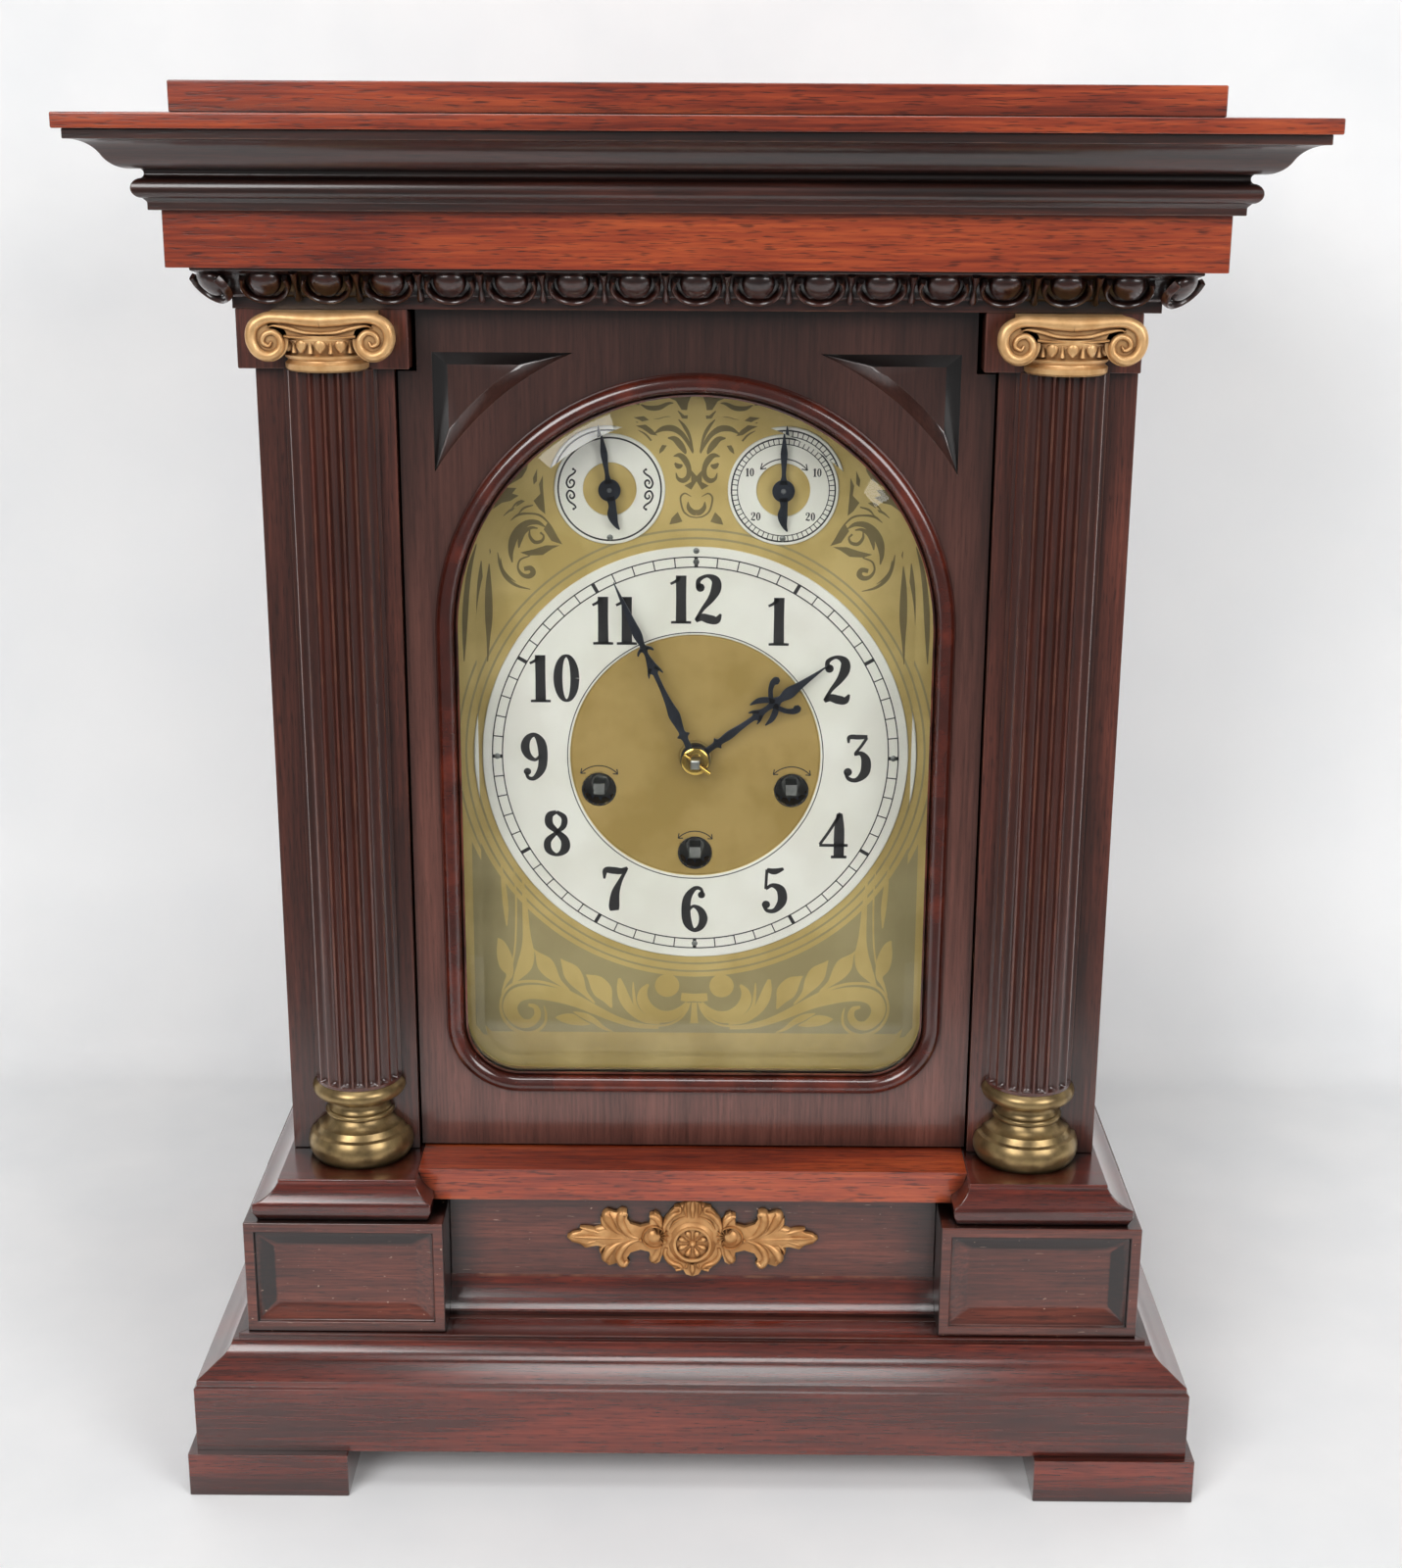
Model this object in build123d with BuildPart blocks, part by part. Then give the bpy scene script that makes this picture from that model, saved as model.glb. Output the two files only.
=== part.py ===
"""Architectural mantel clock with two fluted Ionic half columns.

Millimetres. X runs to the right, Y to the back and Z up, with the origin on the
floor under the middle of the clock.
"""
import math
import os

from build123d import *

os.makedirs("parts", exist_ok=True)

# Whole case
case_width = 270.0
case_depth = 184.0
back_overhang = 6.0
side_board = 14.0
joint_gap = 0.3
mitre_gap = 0.1
overrun = 40.0

# Block feet
foot_height = 15.3
foot_width = 53.0
foot_depth = 52.0
foot_side_reach = 31.7
foot_front_reach = 44.8

# Base frame
fascia_height = 22.7
base_ogee_height = 13.5
base_side_reach = 29.0
base_front_reach = 42.0
base_stick = 24.0
base_rail = 16.0
base_board_thickness = 10.0
# Outline of the base moulding, along its depth and height, from its inner foot
base_outline_shares = [
    [(0, 0)], [(1, 0)], [(1, 0.63)], [(0.965, 0.65)], [(0.965, 0.70)],
    [(0.86, 0.745), (0.72, 0.81)], [(0.60, 0.87), (0.53, 0.965)], [(0.458, 0.965)],
    [(0.458, 1)], [(0, 1)],
]

# Pedestals and plinth
pedestal_height = 39.8
pedestal_inner = 82.0
pedestal_side_reach = 13.0
pedestal_front_reach = 27.5
pedestal_fillet = 3.6
panel_slope = 6.4
panel_sink = 3.2
panel_rim_sink = 1.0
plinth_panel_reach = 9.0
plinth_panel_thickness = 10.0
step_depth = 6.7
step_height = 12.0
step_outline_shares = [[(0, 0)], [(1, 0)], [(1, 0.13)], [(0.88, 0.16)], [(0.36, 0.45), (0, 1)]]

# Pedestal caps
cap_height = 14.2
cap_neck_height = 3.4
cap_bead_height = 2.7
cap_lip_height = 1.3
cap_neck_set = 1.5
cap_inner_bead_set = 4.0
cap_inner_top_set = 9.0
cap_outer_bead_set = 3.0
cap_outer_top_set = 11.5
cap_front_bead_set = 1.0
cap_front_top_set = 3.6
cap_curve_share = 0.30

# Shelf that the columns and the door stand on
shelf_thickness = 11.0
shelf_front_reach = 15.5

# Pilasters and the blocks behind the capitals
pilaster_height = 261.5
pilaster_inner = 92.5
pilaster_thickness = 16.0
cap_block_height = 18.0
cap_block_inner = 87.3
cap_block_reach = 4.4
left_block_overhang = 4.5

# Fluted half columns
column_centre = 112.0
column_radius = 14.2
flute_count = 10
flute_radius = 1.75
flute_pitch_deg = 18.0
flute_lift = 0.45
flute_stop = 4.5

# Brass column bases
column_base_height = 27.0
column_base_radius = 17.6
# Outline of the base from its foot up, as shares of its radius and its height
column_base_shares = [
    (0, 0), (0.90, 0), (0.985, 0.07), (1, 0.155), (0.985, 0.24), (0.88, 0.32), (0.80, 0.38), (0.76, 0.45),
    (0.77, 0.50), (0.80, 0.535), (0.77, 0.57), (0.72, 0.64), (0.73, 0.70), (0.79, 0.76), (0.86, 0.80),
    (0.88, 0.86), (0.86, 0.92), (0.81, 0.96), (0.81, 1), (0, 1),
]

# Ionic capitals
capital_height = 18.0
capital_width = 44.0
capital_front_reach = 18.5
volute_radius = 5.3
volute_drop = 9.8
volute_edge = 5.9
volute_turns = 1.6
volute_groove = 0.9
volute_groove_sink = 1.0
volute_eye = 1.5
abacus_height = 5.4
abacus_dip = 2.0
abacus_scoop = 1.2
bowl_top_radius = 17.0
bowl_neck_radius = 13.6
bowl_height = 11.8
bowl_neck_height = 3.0
bowl_middle_radius = 16.0
bowl_middle_height = 6.2

# Entablature
architrave_thickness = 3.5
architrave_reach = 5.0
egg_moulding_height = 9.4
egg_moulding_reach = 15.2
egg_moulding_root = 6.0
egg_outline_shares = [
    [(0, 0)], [(0.60, 0)], [(0.635, 0.06)], [(0.70, 0.46), (0.92, 0.80)], [(1, 0.88)], [(1, 1)], [(0, 1)],
]
egg_pitch = 18.4
egg_front_count = 15
egg_side_count = 10
egg_half_width = 5.2
egg_half_length = 5.0
egg_sides = 8
egg_tip_share = 0.42
egg_lean_deg = 40.0
egg_seat_share = 0.80
egg_rise_share = 0.52
dart_width = 2.6
dart_foot_width = 0.8
dart_reach_share = 0.86
dart_foot_reach_share = 0.60
frieze_height = 16.5
frieze_reach = 21.0
frieze_thickness = 14.0
cornice_height = 22.9
cornice_reach = 21.6
# Outline of the cornice above the frieze, from its lower inner corner
cornice_outline_shares = [
    [(0, 0)], [(0.148, 0)], [(0.148, 0.10)], [(0.20, 0.15)], [(0.324, 0.28), (0.20, 0.395)],
    [(0.165, 0.45), (0.25, 0.51)], [(0.45, 0.54), (0.60, 0.66)], [(0.75, 0.815), (1, 0.876)],
    [(1, 1)], [(0, 1)],
]
lip_reach = 45.0
top_board_thickness = 4.4
crown_height = 8.8
crown_half_width = 151.3
crown_front_set = 20.0

# Front door
door_gap = 0.6
door_set = 3.0
door_thickness = 14.0
door_notch_gap = 1.3
door_pin_radius = 1.2
door_pin_gap = 0.06
door_pin_set = 2.4
door_pin_edge = 8.0
door_pin_length = 8.0
door_pin_hold = 2.4
bead_half_width = 83.0
bead_rise = 19.7
bead_spring = 177.5
bead_width = 7.6
bead_height = 3.2
bead_chamfer = 2.0
bead_corner = 25.0
glass_lap = 3.0
glass_thickness = 3.4
glass_bevel = 10.0
glass_bevel_drop = 1.3
glass_strip_width = 4.5
glass_strip_thickness = 4.0
spandrel_top = 266.0
spandrel_side = 81.3
spandrel_arc_gap = 13.3
spandrel_slope = 4.2
spandrel_sink = 0.6
spandrel_depth = 4.4

# Dial
dial_set = 24.0
dial_thickness = 1.5
dial_half_width = 81.0
dial_foot_drop = 12.5
hand_height = 132.0
ring_outer_radius = 70.5
ring_inner_radius = 41.5
ring_thickness = 0.8
subdial_side = 27.8
subdial_rise = 89.0
subdial_radius = 17.8
subdial_bore = 8.6
winding_side = 32.0
winding_side_drop = 11.5
winding_low_drop = 33.5
winding_hole_radius = 5.4
dial_hole_radius = 4.8
dial_foot_radius = 2.5
dial_foot_side = 58.0
dial_foot_low = 57.0
dial_foot_high = 53.0
rivet_radius = 0.9
rivet_height = 0.5
rivet_circle = 64.8

# Hands, seen from the front, angles clockwise from twelve
minute_hand_length = 65.5
minute_hand_angle = -24.0
minute_hand_width = 8.6
hour_hand_length = 54.0
hour_hand_angle = 53.5
hour_hand_width = 13.0
hand_boss_radius = 5.0
hand_thickness = 0.9
hand_space = 1.6
# Half outlines of the hands: share of the length, share of the width
minute_outline_shares = [
    (0.07, 0.30), (0.12, 0.10), (0.20, 0.30), (0.27, 0.44), (0.34, 0.22), (0.40, 0.10), (0.43, 0.12),
    (0.455, 0.42), (0.48, 0.50), (0.49, 0.18), (0.53, 0.16), (0.58, 0.26), (0.64, 0.14), (0.99, 0.03),
]
hour_outline_shares = [
    (0.09, 0.22), (0.16, 0.07), (0.26, 0.20), (0.38, 0.26), (0.46, 0.10), (0.50, 0.08), (0.53, 0.24),
    (0.55, 0.46), (0.60, 0.50), (0.62, 0.28), (0.66, 0.12), (0.70, 0.16), (0.72, 0.40), (0.76, 0.38),
    (0.78, 0.14), (0.84, 0.16), (0.90, 0.07), (0.99, 0.02),
]
washer_radius = 4.6
washer_thickness = 1.0
taper_pin_radius = 0.7
taper_pin_length = 11.0
taper_pin_deg = 38.0
arbor_nose = 2.4
nose_square = 3.0
subdial_hand_length = 19.0
subdial_tail_length = 13.5
subdial_hand_width = 4.2
subdial_hub_radius = 4.0
subdial_hub_thickness = 2.2
subdial_arbor_radius = 1.5
chime_hand_angle = -8.0
regulator_hand_angle = 0.0
subdial_hand_shares = [(0.12, 0.36), (0.42, 0.14), (0.62, 0.26), (0.75, 0.12), (1.0, 0.03)]
subdial_tail_shares = [(0.15, 0.36), (0.55, 0.26), (0.8, 0.30), (1.0, 0.05)]

# Movement plates
plate_half_width = 70.0
plate_thickness = 2.0
plate_space = 42.0
plate_low = 72.5
plate_high = 67.5
dial_space = 14.0
pillar_radius = 4.0
pillar_side_set = 8.0
pillar_low_set = 7.0
pillar_nut_radius = 4.4
pillar_nut_thickness = 3.0
pillar_screw_radius = 2.0
running_gap = 0.05
layer_gap = 1.6

# Wheels and pinions
great_teeth = 30
pinion_leaves = 8
great_thickness = 2.4
centre_teeth = 30
centre_module = 1.2
centre_to_third_deg = 112.0
third_teeth = 28
third_module = 1.1
wheel_thickness = 1.5
pinion_length = 3.0
escape_teeth = 20
escape_radius = 13.0
escape_tooth = 2.6
cannon_module = 1.25
minute_wheel_teeth = 24
hour_wheel_teeth = 32
strike_angle_deg = 110.0
strike_wheel_radius = 16.0
strike_pin_count = 8
strike_pin_radius = 0.8
strike_pin_length = 2.6
strike_pin_set = 2.4
pin_sides = 6
chime_drum_radius = 8.0
chime_drum_length = 9.0
chime_pin_half = 0.6
arbor_radius = 1.5
pivot_radius = 0.8
centre_arbor_radius = 2.5
winding_arbor_radius = 3.0
winding_square = 3.7
winding_square_length = 7.0
ratchet_teeth = 16
ratchet_radius = 8.0
ratchet_tooth = 1.2
ratchet_thickness = 1.8
barrel_radius = 18.0
barrel_length = 19.5
hour_pipe_wall = 1.1
# Tooth shape: reach outside and inside the pitch circle in modules, half widths in pitches
tooth_top_share = 0.70
tooth_root_share = 1.05
tooth_tip_half_share = 0.10
tooth_foot_half_share = 0.25
# Saw tooth: where its front foot and its back start, as shares of the pitch
saw_foot_share = 0.12
saw_back_share = 0.60
crossing_count = 4
crossing_rim_share = 0.80
crossing_hub_share = 0.32
crossing_arm_share = 0.20

# Escapement and pendulum
anchor_rise = 18.0
anchor_span_deg = 44.0
anchor_gap = 1.2
anchor_arm = 2.4
pallet_length = 3.4
anchor_thickness = 2.0
crutch_length = 32.0
crutch_width = 3.0
crutch_thickness = 1.4
fork_gap = 0.3
fork_prong = 1.2
pendulum_behind_plate = 11.5
pendulum_length = 118.0
pendulum_rod_radius = 1.2
bob_radius = 21.0
bob_thickness = 7.0
bob_rim_thickness = 1.2
# Half section of the bob: share of the radius, share of the way from its face to its rim
bob_shares = [(0.20, 0.0), (0.55, 0.22), (0.82, 0.58), (1.0, 1.0)]
rating_nut_radius = 4.5
rating_nut_height = 5.0
rating_screw_length = 14.0
hanger_radius = 3.6
hanger_thickness = 3.0
hanger_pin_radius = 1.4
cock_width = 16.0
cock_height = 6.0

# Gong, hammers and seat
gong_rods = 4
gong_pitch = 8.0
gong_rod_radius = 1.6
gong_block_length = 20.0
gong_block_height = 26.0
gong_block_margin = 7.0
gong_rise = 19.5
gong_longest = 176.0
gong_step = 9.0
hammer_arbor_side = 20.0
hammer_arbor_rise = 13.0
hammer_hub_radius = 3.2
hammer_hub_length = 5.6
hammer_head_radius = 3.4
hammer_head_length = 9.0
hammer_arm = 2.0
hammer_side = 26.0
hammer_rest_gap = 0.6
seat_width = 63.0
seat_height = 12.0
seat_depth = 56.0

# Back
back_frame_thickness = 14.0
back_stile = 38.0
back_low_rail = 20.0
back_high_rail = 23.0
back_door_thickness = 10.0
back_stop = 4.0
back_door_gap = 0.5
hinge_height = 34.0
hinge_end_set = 30.0
hinge_leaf = 14.0
hinge_leaf_thickness = 1.2
knuckle_radius = 2.5
hinge_pin_radius = 1.2
back_knob_radius = 5.0
back_knob_length = 5.2
back_knob_edge = 18.0
back_knob_drop = 34.0
button_long = 18.0
button_short = 6.0
button_width = 9.0
button_thickness = 2.4
button_pin_radius = 1.5
button_pin_hold = 8.0
button_edge = 8.0

# Brass ornament on the plinth
ornament_half_length = 42.5
ornament_half_height = 14.4
ornament_thickness = 1.8
ornament_drop_share = 0.49
ornament_ring_share = 0.465
ornament_rosette_share = 0.38
ornament_rosette_drop_share = 0.12
ornament_petals = 8
ornament_boss_share = 0.10
ornament_shell_share = 0.30
ornament_shell_rise_share = 0.06
ornament_shell_radius_share = 0.23
# One petal of the rosette: share of the petal's angle, share of the rosette's radius
ornament_petal_shares = [(0.0, 0.55), (0.14, 0.86), (0.36, 0.96), (0.64, 0.96), (0.86, 0.86)]
# Upper outline of the right half, as shares of the half length and half height
ornament_outline_shares = [
    (0.0, 1.0), (0.05, 0.95), (0.08, 0.80), (0.13, 0.84), (0.18, 0.68), (0.215, 0.48), (0.24, 0.40),
    (0.265, 0.62), (0.30, 0.68), (0.335, 0.54), (0.345, 0.36), (0.42, 0.30), (0.50, 0.38), (0.53, 0.52),
    (0.52, 0.64), (0.55, 0.74), (0.61, 0.66), (0.67, 0.72), (0.715, 0.60), (0.72, 0.42), (0.70, 0.24),
    (0.78, 0.20), (0.86, 0.26), (0.90, 0.16), (0.96, 0.12), (1.0, 0.0),
]

# Places that follow from the sizes above
half_case = case_width / 2
total_depth = lip_reach + case_depth + back_overhang
face_y = lip_reach - total_depth / 2
back_y = face_y + case_depth
rear_y = back_y + back_overhang
fascia_z = foot_height
ogee_z = fascia_z + fascia_height
plinth_z = ogee_z + base_ogee_height
cap_z = plinth_z + pedestal_height
shelf_z = cap_z + cap_height
capital_z = shelf_z + pilaster_height
architrave_z = capital_z + cap_block_height
egg_z = architrave_z + architrave_thickness
frieze_z = egg_z + egg_moulding_height
cornice_z = frieze_z + frieze_height
top_z = cornice_z + cornice_height
crown_z = top_z + top_board_thickness
base_half = half_case + base_side_reach
base_front = face_y - base_front_reach
pilaster_back = face_y + pilaster_thickness
inner_half = half_case - side_board
frame_y = back_y - back_frame_thickness
pedestal_outer = half_case + pedestal_side_reach
pedestal_front = face_y - pedestal_front_reach
door_face = face_y + door_set
door_back = door_face + door_thickness
door_half = pilaster_inner - door_gap
door_low = shelf_z + door_gap
door_high = architrave_z - door_gap
glass_back = door_face + glass_thickness
bead_low = shelf_z + bead_rise
bead_centre_z = shelf_z + bead_spring
dial_face = face_y + dial_set
dial_back = dial_face + dial_thickness
ring_face = dial_face - ring_thickness
hand_z = shelf_z + hand_height
subdial_z = hand_z + subdial_rise
plate_front_y = dial_back + dial_space
plate_front_back = plate_front_y + plate_thickness
plate_back_y = plate_front_back + plate_space
plate_rear = plate_back_y + plate_thickness
plate_bottom = hand_z - plate_low
plate_top = hand_z + plate_high
door_pin_x = door_half - door_pin_edge
door_pin_y = door_face + door_pin_set


def facing(depth):
    """Sketch plane at a depth that looks to the front: right is X, up is Z."""
    return Plane(origin=(0, depth, 0), x_dir=(1, 0, 0), z_dir=(0, -1, 0))


def front_section(y, z):
    """Plane for the outline of a stick along X: right is outwards (-Y), up is Z."""
    return Plane(origin=(0, y, z), x_dir=(0, -1, 0), z_dir=(-1, 0, 0))


def side_section(x, z):
    """Plane for the outline of a stick along Y: right is outwards (+X), up is Z."""
    return Plane(origin=(x, 0, z), x_dir=(1, 0, 0), z_dir=(0, -1, 0))


def board(x_span, y_span, z_span, mode=Mode.ADD):
    """Square-edged board between two places along each axis."""
    spans = (x_span, y_span, z_span)
    with Locations(tuple((low + high) / 2 for low, high in spans)):
        Box(*(abs(high - low) for low, high in spans), mode=mode)


def rod(x, z, y_span, radius, mode=Mode.ADD):
    """Round bar along Y."""
    low, high = y_span
    with Locations(Location((x, (low + high) / 2, z), (90, 0, 0))):
        Cylinder(radius, abs(high - low), mode=mode)


def post(x, y, z_span, radius, mode=Mode.ADD):
    """Round bar along Z."""
    low, high = z_span
    with Locations((x, y, (low + high) / 2)):
        Cylinder(radius, abs(high - low), mode=mode)


def outline_face(plane, shares, depth=1, height=1):
    """Closed face from shares: one pair is a straight run, two are an arc."""
    with BuildSketch(plane) as section:
        with BuildLine():
            start = (shares[0][0][0] * depth, shares[0][0][1] * height)
            here = start
            for step in shares[1:]:
                points = [(across * depth, up * height) for across, up in step]
                if len(points) == 1:
                    Line(here, points[0])
                else:
                    ThreePointArc(here, *points)
                here = points[-1]
            Line(here, start)
        make_face()
    return section.sketch


def polygon_face(plane, points):
    """Closed face through a list of points."""
    with BuildSketch(plane) as section:
        with BuildLine():
            Polyline(*points, close=True)
        make_face()
    return section.sketch


def mitred_front(shares, depth, height, corner_x, corner_y, low_z):
    """Stick across the front, mitred at both ends."""
    with BuildPart() as stick:
        extrude(outline_face(front_section(corner_y, low_z), shares, depth, height),
                amount=corner_x + depth + overrun, both=True)
        for side in (-1, 1):
            split(bisect_by=Plane(origin=(side * corner_x, corner_y, 0), z_dir=(side, 1, 0)),
                  keep=Keep.BOTTOM)
    return stick.part


def mitred_side(shares, depth, height, corner_x, corner_y, low_z, end_y):
    """Stick along the right side, mitred at the front and square at the back."""
    with BuildPart() as stick:
        extrude(outline_face(side_section(corner_x, low_z), shares, depth, height),
                amount=end_y + total_depth, both=True)
        split(bisect_by=Plane(origin=(corner_x + mitre_gap, corner_y, 0), z_dir=(1, 1, 0)), keep=Keep.TOP)
        split(bisect_by=Plane(origin=(0, end_y, 0), z_dir=(0, 1, 0)), keep=Keep.BOTTOM)
    return stick.part


# Block feet under the corners of the base
with BuildPart() as block_feet:
    foot_x = half_case + foot_side_reach
    front_foot = face_y - foot_front_reach
    board((foot_x - foot_width, foot_x), (front_foot, front_foot + foot_depth), (0, foot_height))
    board((foot_x - foot_width, foot_x), (rear_y - foot_depth, rear_y), (0, foot_height))
    mirror(about=Plane.YZ)

# Base frame: mitred front and sides, a plain back rail and the step between the pedestals
base_corner_x = base_half - base_stick
base_corner_y = base_front + base_stick
base_height = fascia_height + base_ogee_height
with BuildPart() as base_mouldings:
    add(mitred_front(base_outline_shares, base_stick, base_height, base_corner_x, base_corner_y, fascia_z))
    add(mitred_side(base_outline_shares, base_stick, base_height, base_corner_x, base_corner_y,
                    fascia_z, rear_y))
    mirror(about=Plane.YZ)
    rail_half = base_corner_x - mitre_gap
    board((-rail_half, rail_half), (rear_y - base_rail, rear_y), (fascia_z, plinth_z))
    step_face = outline_face(front_section(face_y - plinth_panel_reach, plinth_z),
                             step_outline_shares, step_depth, step_height)
    extrude(step_face, amount=pedestal_inner, both=True)

with BuildPart() as base_board:
    board((-base_corner_x, base_corner_x), (base_corner_y, rear_y - base_rail),
          (plinth_z - base_board_thickness, plinth_z))

# Pedestals with a framed, sunk panel in the front
with BuildPart() as pedestals:
    board((pedestal_inner, pedestal_outer), (pedestal_front, pilaster_back), (plinth_z, cap_z))
    middle_x = (pedestal_inner + pedestal_outer) / 2
    middle_z = (plinth_z + cap_z) / 2
    rim_width = pedestal_outer - pedestal_inner - 2 * pedestal_fillet
    rim_height = pedestal_height - 2 * pedestal_fillet
    with BuildSketch(facing(pedestal_front + panel_rim_sink)) as rim:
        with Locations((middle_x, middle_z)):
            Rectangle(rim_width, rim_height)
    with BuildSketch(facing(pedestal_front + panel_sink)) as panel:
        with Locations((middle_x, middle_z)):
            Rectangle(rim_width - 2 * panel_slope, rim_height - 2 * panel_slope)
    extrude(rim.sketch, amount=panel_rim_sink, mode=Mode.SUBTRACT)
    loft(sections=[rim.sketch.face(), panel.sketch.face()], mode=Mode.SUBTRACT)
    mirror(about=Plane.YZ)


def cap_cut(plane, bead, top):
    """Waste outside one moulded edge of a cap; the plane's X points inwards from the edge."""
    bead_top = cap_neck_height + cap_bead_height
    lip = cap_height - cap_lip_height
    steps = [
        [(-overrun, 0)], [(bead + cap_neck_set, 0)], [(bead, cap_neck_height)], [(bead, bead_top)],
        [(top - cap_curve_share * (top - bead), (bead_top + lip) / 2), (top, lip)],
        [(top, cap_height)], [(-overrun, cap_height)],
    ]
    extrude(outline_face(plane, steps), amount=total_depth, both=True, mode=Mode.SUBTRACT)


# Pedestal caps: a moulded block with its return along the side of the plinth
with BuildPart() as pedestal_caps:
    board((pedestal_inner, pedestal_outer), (pedestal_front, pilaster_back), (cap_z, shelf_z))
    board((half_case, pedestal_outer), (pilaster_back, back_y), (cap_z, shelf_z))
    cap_cut(Plane(origin=(pedestal_inner, 0, cap_z), x_dir=(1, 0, 0), z_dir=(0, -1, 0)),
            cap_inner_bead_set, cap_inner_top_set)
    cap_cut(Plane(origin=(pedestal_outer, 0, cap_z), x_dir=(-1, 0, 0), z_dir=(0, 1, 0)),
            cap_outer_bead_set, cap_outer_top_set)
    cap_cut(Plane(origin=(0, pedestal_front, cap_z), x_dir=(0, 1, 0), z_dir=(1, 0, 0)),
            cap_front_bead_set, cap_front_top_set)
    mirror(about=Plane.YZ)

# Plinth boards: the recessed panel in front, coped under the caps, and one board along each side
with BuildPart() as plinth_boards:
    panel_front = face_y - plinth_panel_reach
    panel_back = panel_front + plinth_panel_thickness
    board((-pedestal_inner, pedestal_inner), (panel_front, panel_back), (plinth_z, cap_z))
    panel_top_half = pedestal_inner + cap_inner_bead_set + cap_neck_set
    board((-panel_top_half, panel_top_half), (panel_front, panel_back), (cap_z, shelf_z - shelf_thickness))
    add(pedestal_caps.part, mode=Mode.SUBTRACT)
    for side in (-1, 1):
        board((side * half_case, side * pedestal_outer), (pilaster_back, back_y), (plinth_z, cap_z))

with BuildPart() as shelf_board:
    tongue = pedestal_inner + cap_inner_top_set
    board((-tongue, tongue), (face_y - shelf_front_reach, pilaster_back),
          (shelf_z - shelf_thickness, shelf_z))
    add(pedestal_caps.part, mode=Mode.SUBTRACT)
    board((-inner_half, inner_half), (pilaster_back, frame_y), (shelf_z - shelf_thickness, shelf_z))
    post(door_pin_x, door_pin_y, (shelf_z - door_pin_hold, shelf_z), door_pin_radius + door_pin_gap,
         mode=Mode.SUBTRACT)

# Case sides from the base to the architrave
with BuildPart() as case_sides:
    board((inner_half, half_case), (pilaster_back, frame_y), (plinth_z, architrave_z))
    mirror(about=Plane.YZ)

# Pilaster boards, and the blocks behind the capitals
with BuildPart() as pilasters:
    board((pilaster_inner, half_case), (face_y, pilaster_back), (shelf_z, capital_z - mitre_gap))
    mirror(about=Plane.YZ)
    board((cap_block_inner, half_case), (face_y - cap_block_reach, pilaster_back), (capital_z, architrave_z))
    board((-half_case - left_block_overhang, -cap_block_inner), (face_y - cap_block_reach, pilaster_back),
          (capital_z, architrave_z))

# Fluted half columns, plain for a short length above their bases
column_z = shelf_z + column_base_height
column_top = architrave_z - capital_height
with BuildPart() as fluted_columns:
    with BuildSketch(Plane.XY.offset(column_z)) as plain:
        with Locations((column_centre, face_y)):
            Circle(column_radius)
        with Locations((column_centre, face_y + column_radius)):
            Rectangle(2 * column_radius, 2 * column_radius, mode=Mode.SUBTRACT)
    with BuildSketch(Plane.XY.offset(column_z + flute_stop)) as fluted:
        add(plain.sketch.moved(Location((0, 0, flute_stop))))
        for flute in range(flute_count):
            turn = math.radians(270 + (flute - (flute_count - 1) / 2) * flute_pitch_deg)
            reach = column_radius + flute_lift
            with Locations((column_centre + reach * math.cos(turn), face_y + reach * math.sin(turn))):
                Circle(flute_radius, mode=Mode.SUBTRACT)
    extrude(plain.sketch, amount=flute_stop)
    extrude(fluted.sketch, amount=column_top - column_z - flute_stop)
    mirror(about=Plane.YZ)

# Turned brass bases, half round like the columns
with BuildPart() as column_bases:
    base_points = [(across * column_base_radius, up * column_base_height)
                   for across, up in column_base_shares]
    base_half_section = polygon_face(side_section(column_centre, shelf_z).offset(-face_y), base_points)
    revolve(base_half_section, axis=Axis((column_centre, face_y, 0), (0, 0, -1)), revolution_arc=180)
    mirror(about=Plane.YZ)

# Cast Ionic capitals: cushion with two scrolls over a half-round bowl
volute_x = capital_width / 2 - volute_edge
volute_z = architrave_z - volute_drop


def volute_band(centre_x, centre_z, hand):
    """Spiral groove of one scroll, wound inwards from the outer edge."""
    steps = 22
    rings = []
    for width_sign in (-1, 1):
        line = []
        for step in range(steps + 1):
            share = step / steps
            turn = math.radians(90) + hand * share * volute_turns * 2 * math.pi
            radius = volute_radius - volute_groove - share * (volute_radius - volute_groove - volute_eye)
            radius += width_sign * volute_groove / 2
            line.append((centre_x - math.cos(turn) * radius, centre_z + math.sin(turn) * radius))
        rings.append(line)
    return rings[0] + rings[1][::-1]


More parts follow.
